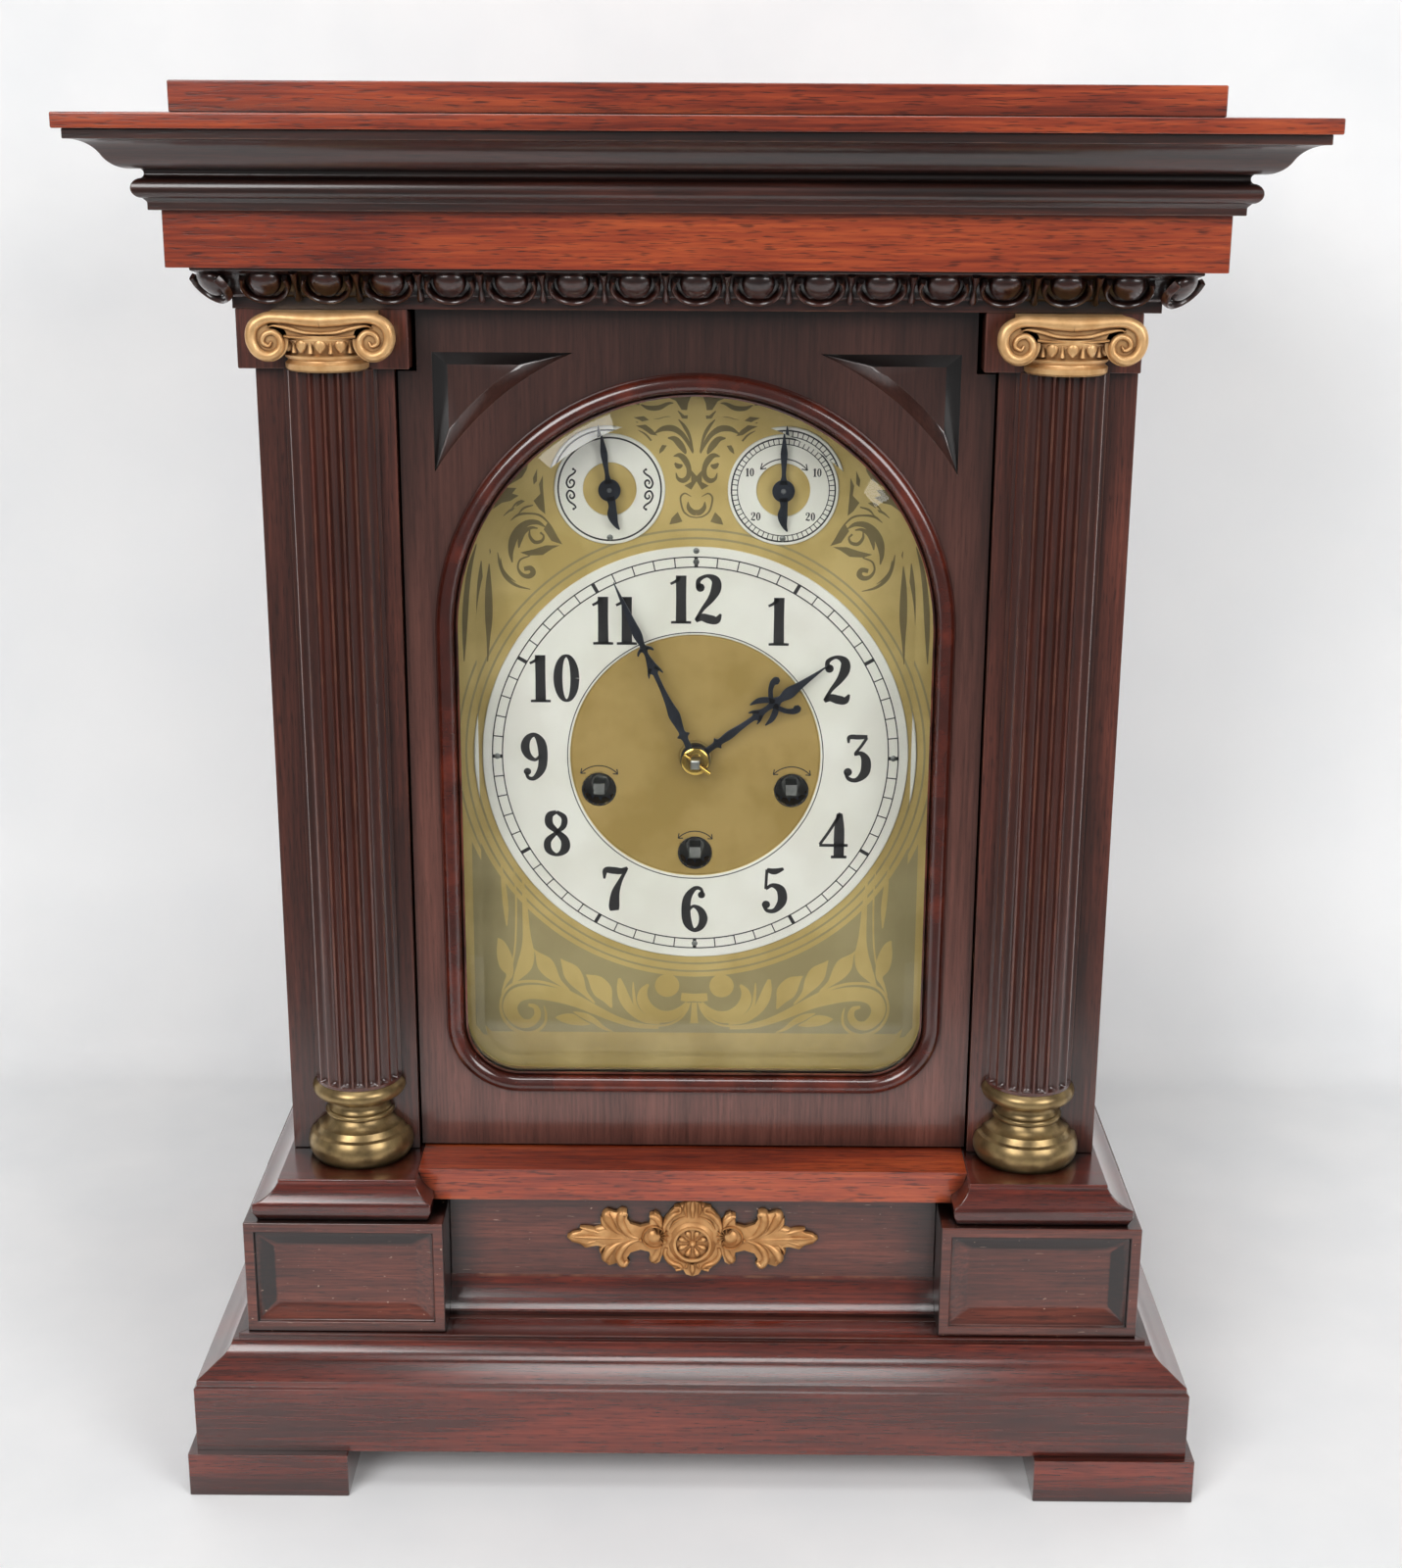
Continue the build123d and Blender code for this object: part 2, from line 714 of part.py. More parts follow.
with BuildPart() as capitals:
    capital_front = face_y - capital_front_reach
    cushion_back = face_y - cap_block_reach
    with BuildSketch(facing(cushion_back)) as cushion:
        with Locations((column_centre, architrave_z - abacus_height / 2)):
            Rectangle(2 * volute_x, abacus_height)
        with Locations((column_centre - volute_x, volute_z), (column_centre + volute_x, volute_z)):
            Circle(volute_edge)
        with BuildLine():
            low = architrave_z - abacus_height
            ends = volute_x - volute_edge / 2
            ThreePointArc((column_centre - ends, low), (column_centre, low - abacus_dip),
                          (column_centre + ends, low))
            Line((column_centre + ends, low), (column_centre - ends, low))
        make_face()
        shoulder = volute_x + volute_edge
        with BuildLine():
            Line((column_centre - volute_x, architrave_z), (column_centre + volute_x, architrave_z))
            Line((column_centre + volute_x, architrave_z), (column_centre + shoulder, volute_z))
            Line((column_centre + shoulder, volute_z), (column_centre - shoulder, volute_z))
            Line((column_centre - shoulder, volute_z), (column_centre - volute_x, architrave_z))
        make_face()
        with Locations((column_centre, volute_z - volute_edge / 2)):
            Rectangle(2 * (volute_x - volute_edge), volute_edge + 2 * abacus_scoop, mode=Mode.SUBTRACT)
    extrude(cushion.sketch, amount=cushion_back - capital_front)
    with BuildSketch(side_section(column_centre, architrave_z - capital_height).offset(-face_y)) as bowl:
        with BuildLine():
            Line((0, 0), (bowl_neck_radius, 0))
            Line((bowl_neck_radius, 0), (bowl_neck_radius, bowl_neck_height))
            Line((bowl_neck_radius, bowl_neck_height), (bowl_middle_radius, bowl_middle_height))
            Line((bowl_middle_radius, bowl_middle_height), (bowl_top_radius, bowl_height))
            Line((bowl_top_radius, bowl_height), (0, bowl_height))
            Line((0, bowl_height), (0, 0))
        make_face()
    revolve(bowl.sketch, axis=Axis((column_centre, face_y, 0), (0, 0, -1)), revolution_arc=180)
    board((column_centre - capital_width, column_centre + capital_width), (cushion_back, face_y + overrun),
          (capital_z, architrave_z), mode=Mode.SUBTRACT)
    for hand, centre in ((1, column_centre - volute_x), (-1, column_centre + volute_x)):
        groove = polygon_face(facing(capital_front + volute_groove_sink), volute_band(centre, volute_z, hand))
        extrude(groove, amount=2 * volute_groove_sink, mode=Mode.SUBTRACT)
    mirror(about=Plane.YZ)

# Architrave board that closes the top of the case
with BuildPart() as architrave_board:
    board((-half_case - architrave_reach, half_case + architrave_reach), (face_y - architrave_reach, back_y),
          (architrave_z, egg_z))
    post(door_pin_x, door_pin_y, (architrave_z, architrave_z + door_pin_hold), door_pin_radius + door_pin_gap,
         mode=Mode.SUBTRACT)

# Egg-and-dart moulding on three sides
egg_corner_x = half_case - egg_moulding_root
egg_corner_y = face_y + egg_moulding_root
egg_depth = egg_moulding_reach + egg_moulding_root


def egg():
    """One egg, cut in flats, that leans outwards with its seat at the origin and outwards along +Y."""
    with BuildPart() as bare:
        for side in (-1, 1):
            with BuildSketch(Plane.XY):
                RegularPolygon(egg_half_width, egg_sides)
            with BuildSketch(Plane.XY.offset(side * egg_half_length)):
                RegularPolygon(egg_half_width * egg_tip_share, egg_sides)
            loft()
    return bare.part.rotate(Axis.X, -egg_lean_deg)


def dart():
    """One dart between two eggs: a narrow tapered wedge."""
    reach = egg_depth * dart_reach_share
    foot_reach = egg_depth * dart_foot_reach_share
    with BuildPart() as wedge:
        with BuildSketch(Plane.XY.offset(egg_moulding_height)):
            with Locations((0, reach / 2)):
                Rectangle(dart_width, reach)
        with BuildSketch(Plane.XY):
            with Locations((0, foot_reach / 2)):
                Rectangle(dart_foot_width, foot_reach)
        loft()
    return wedge.part


egg_seat = egg_depth * egg_seat_share
egg_rise = egg_z + egg_moulding_height * egg_rise_share
front_egg_places = [(index - (egg_front_count - 1) / 2) * egg_pitch for index in range(egg_front_count)]
with BuildPart() as egg_and_dart:
    add(mitred_front(egg_outline_shares, egg_depth, egg_moulding_height, egg_corner_x, egg_corner_y, egg_z))
    for place in front_egg_places:
        add(egg().moved(Location((place, egg_corner_y - egg_seat, egg_rise), (0, 0, 180))))
    for place in front_egg_places + [front_egg_places[-1] + egg_pitch]:
        add(dart().moved(Location((place - egg_pitch / 2, egg_corner_y, egg_z), (0, 0, 180))))
    for side in (-1, 1):
        split(bisect_by=Plane(origin=(side * egg_corner_x, egg_corner_y, 0), z_dir=(side, 1, 0)),
              keep=Keep.BOTTOM)
    split(bisect_by=Plane(origin=(0, 0, frieze_z), z_dir=(0, 0, 1)), keep=Keep.BOTTOM)
    split(bisect_by=Plane(origin=(0, 0, egg_z), z_dir=(0, 0, 1)), keep=Keep.TOP)

with BuildPart() as egg_side:
    add(mitred_side(egg_outline_shares, egg_depth, egg_moulding_height, egg_corner_x, egg_corner_y,
                    egg_z, back_y))
    for index in range(egg_side_count):
        place = face_y + (index + 0.5) * egg_pitch - architrave_reach
        add(egg().moved(Location((egg_corner_x + egg_seat, place, egg_rise), (0, 0, -90))))
        add(dart().moved(Location((egg_corner_x, place + egg_pitch / 2, egg_z), (0, 0, -90))))
    split(bisect_by=Plane(origin=(egg_corner_x + mitre_gap, egg_corner_y, 0), z_dir=(1, 1, 0)),
          keep=Keep.TOP)
    split(bisect_by=Plane(origin=(0, 0, frieze_z), z_dir=(0, 0, 1)), keep=Keep.BOTTOM)
    split(bisect_by=Plane(origin=(0, 0, egg_z), z_dir=(0, 0, 1)), keep=Keep.TOP)
    split(bisect_by=Plane(origin=(0, back_y, 0), z_dir=(0, 1, 0)), keep=Keep.BOTTOM)
    mirror(about=Plane.YZ)

with BuildPart() as egg_sticks:
    add(egg_and_dart.part)
    add(egg_side.part)

# Frieze boards: front and sides mitred, and a back board down to the architrave
frieze_corner_x = half_case + frieze_reach - frieze_thickness
frieze_corner_y = face_y - frieze_reach + frieze_thickness
frieze_board_height = top_z - frieze_z
square_shares = [[(0, 0)], [(1, 0)], [(1, 1)], [(0, 1)]]
with BuildPart() as frieze_boards:
    add(mitred_front(square_shares, frieze_thickness, frieze_board_height, frieze_corner_x,
                     frieze_corner_y, frieze_z))
    add(mitred_side(square_shares, frieze_thickness, frieze_board_height, frieze_corner_x,
                    frieze_corner_y, frieze_z, back_y))
    mirror(about=Plane.YZ)
    back_half_width = frieze_corner_x - mitre_gap
    board((-back_half_width, back_half_width), (back_y - frieze_thickness, back_y), (frieze_z, top_z))
    board((-egg_corner_x, egg_corner_x), (back_y - frieze_thickness, back_y), (egg_z, frieze_z))

# Cornice moulding planted on the frieze boards
cornice_corner_x = half_case + frieze_reach
cornice_corner_y = face_y - frieze_reach
with BuildPart() as cornice:
    add(mitred_front(cornice_outline_shares, cornice_reach, cornice_height, cornice_corner_x,
                     cornice_corner_y, cornice_z))
    add(mitred_side(cornice_outline_shares, cornice_reach, cornice_height, cornice_corner_x,
                    cornice_corner_y, cornice_z, back_y))
    mirror(about=Plane.YZ)

with BuildPart() as top_board:
    board((-half_case - lip_reach, half_case + lip_reach), (face_y - lip_reach, rear_y), (top_z, crown_z))

with BuildPart() as crown_block:
    board((-crown_half_width, crown_half_width),
          (face_y - lip_reach + crown_front_set, rear_y - crown_front_set),
          (crown_z, crown_z + crown_height))


def arch_face(plane, inset):
    """Arched door light: the outline of the bead, moved inwards."""
    half = bead_half_width - inset
    low = bead_low + inset
    corner = max(bead_corner - inset, glass_lap)
    diagonal = corner * (1 - math.sqrt(0.5))
    with BuildSketch(plane) as light:
        with BuildLine():
            Line((half, low + corner), (half, bead_centre_z))
            ThreePointArc((half, bead_centre_z), (0, bead_centre_z + half), (-half, bead_centre_z))
            Line((-half, bead_centre_z), (-half, low + corner))
            ThreePointArc((-half, low + corner), (-half + diagonal, low + diagonal), (-half + corner, low))
            Line((-half + corner, low), (half - corner, low))
            ThreePointArc((half - corner, low), (half - diagonal, low + diagonal), (half, low + corner))
        make_face()
    return light.sketch


def spandrel_face(plane, inset, arc_gap):
    """Triangle in an upper corner of the door with an arc along the arch."""
    top = shelf_z + spandrel_top - inset
    side = spandrel_side - inset
    reach = bead_half_width + arc_gap
    left = math.sqrt(reach ** 2 - (top - bead_centre_z) ** 2)
    foot = bead_centre_z + math.sqrt(reach ** 2 - side ** 2)
    angle = (math.atan2(top - bead_centre_z, left) + math.atan2(foot - bead_centre_z, side)) / 2
    middle = (reach * math.cos(angle), bead_centre_z + reach * math.sin(angle))
    with BuildSketch(plane) as corner:
        with BuildLine():
            Line((left, top), (side, top))
            Line((side, top), (side, foot))
            ThreePointArc((side, foot), middle, (left, top))
        make_face()
    return corner.sketch


# Front door
with BuildPart() as door_frame:
    board((-door_half, door_half), (door_face, door_back), (door_low, door_high))
    notch_x = cap_block_inner - door_notch_gap
    notch_z = capital_z - door_notch_gap
    for side in (-1, 1):
        board((side * notch_x, side * (door_half + overrun)), (door_face - overrun, door_back + overrun),
              (notch_z, door_high + overrun), mode=Mode.SUBTRACT)
    extrude(arch_face(facing(door_back), glass_lap), amount=door_thickness, mode=Mode.SUBTRACT)
    with BuildPart(mode=Mode.PRIVATE) as spandrel:
        extrude(spandrel_face(facing(door_face + spandrel_sink), 0, spandrel_arc_gap), amount=spandrel_sink)
        loft(sections=[spandrel_face(facing(door_face + spandrel_sink), 0, spandrel_arc_gap).face(),
                       spandrel_face(facing(door_face + spandrel_depth), spandrel_slope,
                                     spandrel_arc_gap + spandrel_slope).face()])
        mirror(about=Plane.YZ)
    add(spandrel.part, mode=Mode.SUBTRACT)
    for low, high in ((door_low, door_low + door_pin_length), (door_high - door_pin_length, door_high)):
        post(door_pin_x, door_pin_y, (low, high), door_pin_radius, mode=Mode.SUBTRACT)

with BuildPart() as door_pins:
    post(door_pin_x, door_pin_y, (shelf_z - door_pin_hold + joint_gap, door_low + door_pin_length),
         door_pin_radius)
    post(door_pin_x, door_pin_y, (door_high - door_pin_length, architrave_z + door_pin_hold - joint_gap),
         door_pin_radius)

with BuildPart() as door_bead:
    extrude(arch_face(facing(door_face), 0), amount=bead_height)
    chamfer(door_bead.faces().sort_by(Axis.Y)[0].edges(), length=bead_chamfer)
    extrude(arch_face(facing(door_face), bead_width), amount=bead_height, mode=Mode.SUBTRACT)
    bead_top_face = door_bead.faces().filter_by(Axis.Y).sort_by(Axis.Y)[0]
    chamfer(bead_top_face.inner_wires()[0].edges(), length=bead_chamfer)

glass_inset = glass_lap + joint_gap
with BuildPart() as bevelled_glass:
    extrude(arch_face(facing(glass_back), glass_inset), amount=glass_thickness)
    chamfer(bevelled_glass.faces().sort_by(Axis.Y)[0].edges(), length=glass_bevel_drop, length2=glass_bevel)

with BuildPart() as glass_strip:
    extrude(arch_face(facing(glass_back + glass_strip_thickness), glass_lap), amount=glass_strip_thickness)
    extrude(arch_face(facing(glass_back + glass_strip_thickness), glass_lap + glass_strip_width),
            amount=glass_strip_thickness, mode=Mode.SUBTRACT)

# Dial plate with its feet, and the silvered rings riveted to it
winding_places = [(-winding_side, hand_z - winding_side_drop), (0, hand_z - winding_low_drop),
                  (winding_side, hand_z - winding_side_drop)]
subdial_places = [(-subdial_side, subdial_z), (subdial_side, subdial_z)]
with BuildPart() as dial_plate:
    with BuildSketch(facing(dial_back)) as plate:
        low = shelf_z + dial_foot_drop
        with Locations((0, (low + bead_centre_z) / 2)):
            Rectangle(2 * dial_half_width, bead_centre_z - low)
        with Locations((0, bead_centre_z)):
            Circle(dial_half_width)
    extrude(plate.sketch, amount=dial_thickness)
    for side in (-dial_foot_side, dial_foot_side):
        for level in (hand_z - dial_foot_low, hand_z + dial_foot_high):
            rod(side, level, (dial_back, plate_front_y), dial_foot_radius)
    rod(0, hand_z, (dial_face, dial_back), dial_hole_radius, mode=Mode.SUBTRACT)
    for place_x, place_z in winding_places:
        rod(place_x, place_z, (dial_face, dial_back), winding_hole_radius, mode=Mode.SUBTRACT)
    for place_x, place_z in subdial_places:
        rod(place_x, place_z, (dial_face, dial_back), subdial_arbor_radius + running_gap, mode=Mode.SUBTRACT)

with BuildPart() as chapter_ring:
    rod(0, hand_z, (ring_face, dial_face), ring_outer_radius)
    rod(0, hand_z, (ring_face, dial_face), ring_inner_radius, mode=Mode.SUBTRACT)
    for quarter in range(4):
        turn = quarter * math.pi / 2
        rod(rivet_circle * math.cos(turn), hand_z + rivet_circle * math.sin(turn),
            (ring_face - rivet_height, ring_face), rivet_radius)

with BuildPart() as subdial_rings:
    for place_x, place_z in subdial_places:
        rod(place_x, place_z, (ring_face, dial_face), subdial_radius)
        rod(place_x, place_z, (ring_face, dial_face), subdial_bore, mode=Mode.SUBTRACT)


def hand_points(shares, length, width, angle, centre, tail=1):
    """Outline of a hand around its axis, from half-outline shares, turned clockwise."""
    turn = math.radians(angle)
    half = [(share * length * tail, part * width) for share, part in shares]
    loop = [(along, -across) for along, across in half] + [(along, across) for along, across in half[::-1]]
    placed = []
    for along, across in loop:
        placed.append((centre[0] + along * math.sin(turn) + across * math.cos(turn),
                       centre[1] + along * math.cos(turn) - across * math.sin(turn)))
    return placed


hour_hand_back = ring_face - hand_space
hour_hand_front = hour_hand_back - hand_thickness
minute_hand_back = hour_hand_front - hand_space
minute_hand_front = minute_hand_back - hand_thickness
washer_front = minute_hand_front - washer_thickness
nose_y = washer_front - arbor_nose
hour_pipe_radius = centre_arbor_radius + hour_pipe_wall
taper_turn = math.radians(taper_pin_deg)

with BuildPart() as minute_hand:
    rod(0, hand_z, (minute_hand_front, minute_hand_back), hand_boss_radius)
    extrude(polygon_face(facing(minute_hand_back),
                         hand_points(minute_outline_shares, minute_hand_length, minute_hand_width,
                                     minute_hand_angle, (0, hand_z))), amount=hand_thickness)
    rod(0, hand_z, (minute_hand_front, minute_hand_back), centre_arbor_radius, mode=Mode.SUBTRACT)

with BuildPart() as hour_hand:
    rod(0, hand_z, (hour_hand_front, hour_hand_back), hand_boss_radius)
    extrude(polygon_face(facing(hour_hand_back),
                         hand_points(hour_outline_shares, hour_hand_length, hour_hand_width,
                                     hour_hand_angle, (0, hand_z))), amount=hand_thickness)
    rod(0, hand_z, (hour_hand_front, hour_hand_back), hour_pipe_radius, mode=Mode.SUBTRACT)

with BuildPart() as hand_washer:
    rod(0, hand_z, (washer_front, minute_hand_front), washer_radius)
    rod(0, hand_z, (washer_front, minute_hand_front), centre_arbor_radius, mode=Mode.SUBTRACT)
    with Locations(Location((0, washer_front - taper_pin_radius, hand_z),
                            (0, math.degrees(taper_turn), 0))):
        Cylinder(taper_pin_radius, taper_pin_length)


def subdial_hand(place, angle):
    """Small hand with hub and arbor through the dial."""
    place_x, place_z = place
    hub_back = ring_face - joint_gap
    with BuildPart() as hand:
        rod(place_x, place_z, (hub_back - subdial_hub_thickness, hub_back), subdial_hub_radius)
        blade_back = hub_back - subdial_hub_thickness + hand_thickness
        extrude(polygon_face(facing(blade_back),
                             hand_points(subdial_hand_shares, subdial_hand_length, subdial_hand_width,
                                         angle, place)), amount=hand_thickness)
        extrude(polygon_face(facing(blade_back),
                             hand_points(subdial_tail_shares, subdial_tail_length, subdial_hand_width,
                                         angle, place, tail=-1)), amount=hand_thickness)
        rod(place_x, place_z, (hub_back, dial_back + subdial_hub_thickness), subdial_arbor_radius)
        rod(place_x, place_z, (dial_back + joint_gap, dial_back + subdial_hub_thickness), subdial_hub_radius)
    return hand.part


with BuildPart() as chime_hand:
    add(subdial_hand(subdial_places[0], chime_hand_angle))

with BuildPart() as regulator_hand:
    add(subdial_hand(subdial_places[1], regulator_hand_angle))


# Movement: gear sizes and places, all arbors along Y
great_module = 2 * winding_low_drop / (great_teeth + pinion_leaves)
centre_place = (0, hand_z)
time_place = winding_places[1]


def toward(place, distance, degrees):
    """Place at a distance and direction from another."""
    turn = math.radians(degrees)
    return (place[0] + distance * math.cos(turn), place[1] + distance * math.sin(turn))


def direction(start, end):
    """Direction from one arbor to the next, in radians."""
    return math.atan2(end[1] - start[1], end[0] - start[0])


def mesh_first(start, end, start_teeth, start_first, end_teeth):
    """Angle of the first tooth of a wheel that meshes with another."""
    line = direction(start, end)
    start_pitch = 2 * math.pi / start_teeth
    end_pitch = 2 * math.pi / end_teeth
    share = ((line - start_first) / start_pitch) % 1
    return line + math.pi - end_pitch * (0.5 - share)


def gear(place, teeth, module, first, y_back, thickness):
    """Toothed wheel or pinion, with straight-sided teeth and room to run."""
    pitch_radius = module * teeth / 2
    top = pitch_radius + tooth_top_share * module
    root = pitch_radius - tooth_root_share * module
    profile = ((-tooth_foot_half_share, root), (-tooth_tip_half_share, top),
               (tooth_tip_half_share, top), (tooth_foot_half_share, root))
    points = []
    for tooth in range(teeth):
        for offset, radius in profile:
            turn = first + (tooth + offset) * 2 * math.pi / teeth
            points.append((place[0] + radius * math.cos(turn), place[1] + radius * math.sin(turn)))
    extrude(polygon_face(facing(y_back), points), amount=thickness)


def crossings(place, outer, y_back, thickness):
    """Windows between the arms of a wheel."""
    with BuildSketch(facing(y_back)) as windows:
        with Locations(place):
            Circle(outer * crossing_rim_share)
            Circle(outer * crossing_hub_share, mode=Mode.SUBTRACT)
            for arm in range(crossing_count // 2):
                Rectangle(2 * outer, outer * crossing_arm_share, rotation=arm * 360 / crossing_count,
                          mode=Mode.SUBTRACT)
    extrude(windows.sketch, amount=thickness, mode=Mode.SUBTRACT)


def saw_wheel(place, teeth, outer, depth, y_back, thickness):
    """Wheel with saw teeth, for a ratchet or an escapement."""
    points = []
    for tooth in range(teeth):
        start = tooth * 2 * math.pi / teeth
        for offset, radius in ((0, outer), (saw_foot_share, outer - depth), (saw_back_share, outer - depth)):
            turn = start + offset * 2 * math.pi / teeth
            points.append((place[0] + radius * math.cos(turn), place[1] + radius * math.sin(turn)))
    extrude(polygon_face(facing(y_back), points), amount=thickness)


def pivots(place, y_front, y_back):
    """Arbor between the plates with a thin pivot in each plate."""
    rod(place[0], place[1], (y_front + joint_gap, y_back - joint_gap), arbor_radius)
    rod(place[0], place[1], (y_front - plate_thickness, y_front + joint_gap), pivot_radius)
    rod(place[0], place[1], (y_back - joint_gap, y_back + plate_thickness), pivot_radius)


third_place = toward(centre_place, centre_module * (centre_teeth + pinion_leaves) / 2, centre_to_third_deg)
escape_reach = third_module * (third_teeth + pinion_leaves) / 2
escape_place = (0, third_place[1] + math.sqrt(escape_reach ** 2 - third_place[0] ** 2))
anchor_place = (0, escape_place[1] + anchor_rise)
minute_module_sum = cannon_module * (pinion_leaves + minute_wheel_teeth) / 2
minute_wheel_place = toward(centre_place, minute_module_sum, 90)
hour_module = 2 * minute_module_sum / (pinion_leaves + hour_wheel_teeth)
strike_barrel_place = winding_places[0]
chime_barrel_place = winding_places[2]
strike_place = toward(strike_barrel_place, winding_low_drop, strike_angle_deg)
chime_place = toward(chime_barrel_place, winding_low_drop, 180 - strike_angle_deg)
pivot_places = [third_place, escape_place, anchor_place, strike_place, chime_place]

# Depths of the wheel layers between the plates
layer_time = plate_front_back + great_thickness + layer_gap
drum_back = layer_time + barrel_length
side_drum_front = layer_time + great_thickness
side_drum_back = drum_back + 2 * joint_gap
layer_side = side_drum_back + great_thickness
layer_centre = layer_side + pinion_length + wheel_thickness
layer_third = layer_centre + 2 * wheel_thickness + joint_gap
layer_escape = layer_third + 2 * wheel_thickness + joint_gap

centre_first = math.pi / 2
time_first = mesh_first(centre_place, time_place, pinion_leaves, centre_first, great_teeth)
third_first = mesh_first(centre_place, third_place, centre_teeth, centre_first, pinion_leaves)
escape_first = mesh_first(third_place, escape_place, third_teeth, third_first, pinion_leaves)
minute_first = mesh_first(centre_place, minute_wheel_place, pinion_leaves, centre_first, minute_wheel_teeth)
hour_first = mesh_first(minute_wheel_place, centre_place, pinion_leaves, minute_first, hour_wheel_teeth)
side_first = math.pi / 2
strike_first = mesh_first(strike_barrel_place, strike_place, great_teeth, side_first, pinion_leaves)
chime_first = mesh_first(chime_barrel_place, chime_place, great_teeth, side_first, pinion_leaves)


def barrel(place, first, wheel_back, drum_front, drum_end):
    """Spring barrel with its great wheel, bored for the winding arbor."""
    with BuildPart() as drum:
        rod(place[0], place[1], (drum_front, drum_end), barrel_radius)
        gear(place, great_teeth, great_module, first, wheel_back, great_thickness)
        rod(place[0], place[1], (plate_front_back, plate_back_y), winding_arbor_radius + running_gap,
            mode=Mode.SUBTRACT)
    return drum.part


with BuildPart() as time_barrel:
    add(barrel(time_place, time_first, layer_time, layer_time - joint_gap, drum_back))

with BuildPart() as strike_barrel:
    add(barrel(strike_barrel_place, side_first, layer_side, side_drum_front, side_drum_back))

with BuildPart() as chime_barrel:
    add(barrel(chime_barrel_place, side_first, layer_side, side_drum_front, side_drum_back))

square_front = dial_face + joint_gap
cannon_back = plate_front_y - joint_gap
cannon_front = cannon_back - pinion_length
hour_wheel_back = cannon_front - 2 * joint_gap
hour_wheel_front = hour_wheel_back - wheel_thickness
ratchet_back = plate_front_y - joint_gap
ratchet_front = ratchet_back - ratchet_thickness


def winding_arbor(place):
    """Winding arbor with its front square and ratchet wheel."""
    with BuildPart() as arbor:
        rod(place[0], place[1], (ratchet_front, plate_rear + joint_gap), winding_arbor_radius)
        saw_wheel(place, ratchet_teeth, ratchet_radius, ratchet_tooth, ratchet_back, ratchet_thickness)
        rod(place[0], place[1], (square_front + winding_square_length, ratchet_front), winding_arbor_radius)
        board((place[0] - winding_square / 2, place[0] + winding_square / 2),
              (square_front, square_front + winding_square_length),
              (place[1] - winding_square / 2, place[1] + winding_square / 2))
    return arbor.part


with BuildPart() as strike_winding_arbor:
    add(winding_arbor(winding_places[0]))

with BuildPart() as time_winding_arbor:
    add(winding_arbor(winding_places[1]))

with BuildPart() as chime_winding_arbor:
    add(winding_arbor(winding_places[2]))

# Centre arbor: centre pinion, centre wheel, cannon pinion and the seat of the minute hand
centre_radius = centre_module * centre_teeth / 2
with BuildPart() as centre_wheel:
    gear(centre_place, centre_teeth, centre_module, centre_first, layer_centre, wheel_thickness)
    crossings(centre_place, centre_radius, layer_centre, wheel_thickness)
    gear(centre_place, pinion_leaves, great_module, centre_first, layer_time, great_thickness)
    gear(centre_place, pinion_leaves, cannon_module, centre_first, cannon_back, pinion_length)
    rod(0, hand_z, (washer_front, plate_rear), centre_arbor_radius)
    board((-nose_square / 2, nose_square / 2), (nose_y, washer_front),
          (hand_z - nose_square / 2, hand_z + nose_square / 2))
    with Locations(Location((0, washer_front - taper_pin_radius, hand_z),
                            (0, math.degrees(taper_turn), 0))):
        Cylinder(taper_pin_radius, taper_pin_length, mode=Mode.SUBTRACT)

with BuildPart() as hour_wheel:
    gear(centre_place, hour_wheel_teeth, hour_module, hour_first, hour_wheel_back, wheel_thickness)
    crossings(centre_place, hour_module * hour_wheel_teeth / 2, hour_wheel_back, wheel_thickness)
    rod(0, hand_z, (hour_hand_front, hour_wheel_back), hour_pipe_radius)
    rod(0, hand_z, (hour_hand_front, hour_wheel_back), centre_arbor_radius + running_gap, mode=Mode.SUBTRACT)

with BuildPart() as minute_wheel:
    gear(minute_wheel_place, minute_wheel_teeth, cannon_module, minute_first, cannon_back, wheel_thickness)
    gear(minute_wheel_place, pinion_leaves, hour_module, minute_first, cannon_back - wheel_thickness,
         cannon_back - wheel_thickness - hour_wheel_front + joint_gap)
    rod(minute_wheel_place[0], minute_wheel_place[1], (hour_wheel_front - pinion_length, plate_front_y),
        arbor_radius + running_gap, mode=Mode.SUBTRACT)

with BuildPart() as third_wheel:
    gear(third_place, third_teeth, third_module, third_first, layer_third, wheel_thickness)
    crossings(third_place, third_module * third_teeth / 2, layer_third, wheel_thickness)
    gear(third_place, pinion_leaves, centre_module, third_first, layer_centre + joint_gap, pinion_length)
    pivots(third_place, plate_front_back, plate_back_y)

with BuildPart() as escape_wheel:
    saw_wheel(escape_place, escape_teeth, escape_radius, escape_tooth, layer_escape, wheel_thickness)
    crossings(escape_place, escape_radius - escape_tooth, layer_escape, wheel_thickness)
    gear(escape_place, pinion_leaves, third_module, escape_first, layer_third + joint_gap, pinion_length)
    pivots(escape_place, plate_front_back, plate_back_y)

# Strike wheel with lifting pins, and the pinned drum of the chime train
with BuildPart() as strike_wheel:
    wheel_back = layer_centre + pinion_length
    rod(strike_place[0], strike_place[1], (wheel_back - wheel_thickness, wheel_back), strike_wheel_radius)
    with BuildSketch(facing(wheel_back + strike_pin_length)):
        with Locations(strike_place):
            with PolarLocations(strike_wheel_radius - strike_pin_set, strike_pin_count):
                RegularPolygon(strike_pin_radius, pin_sides)
    extrude(amount=strike_pin_length)
    gear(strike_place, pinion_leaves, great_module, strike_first, layer_side + joint_gap, pinion_length)
    pivots(strike_place, plate_front_back, plate_back_y)

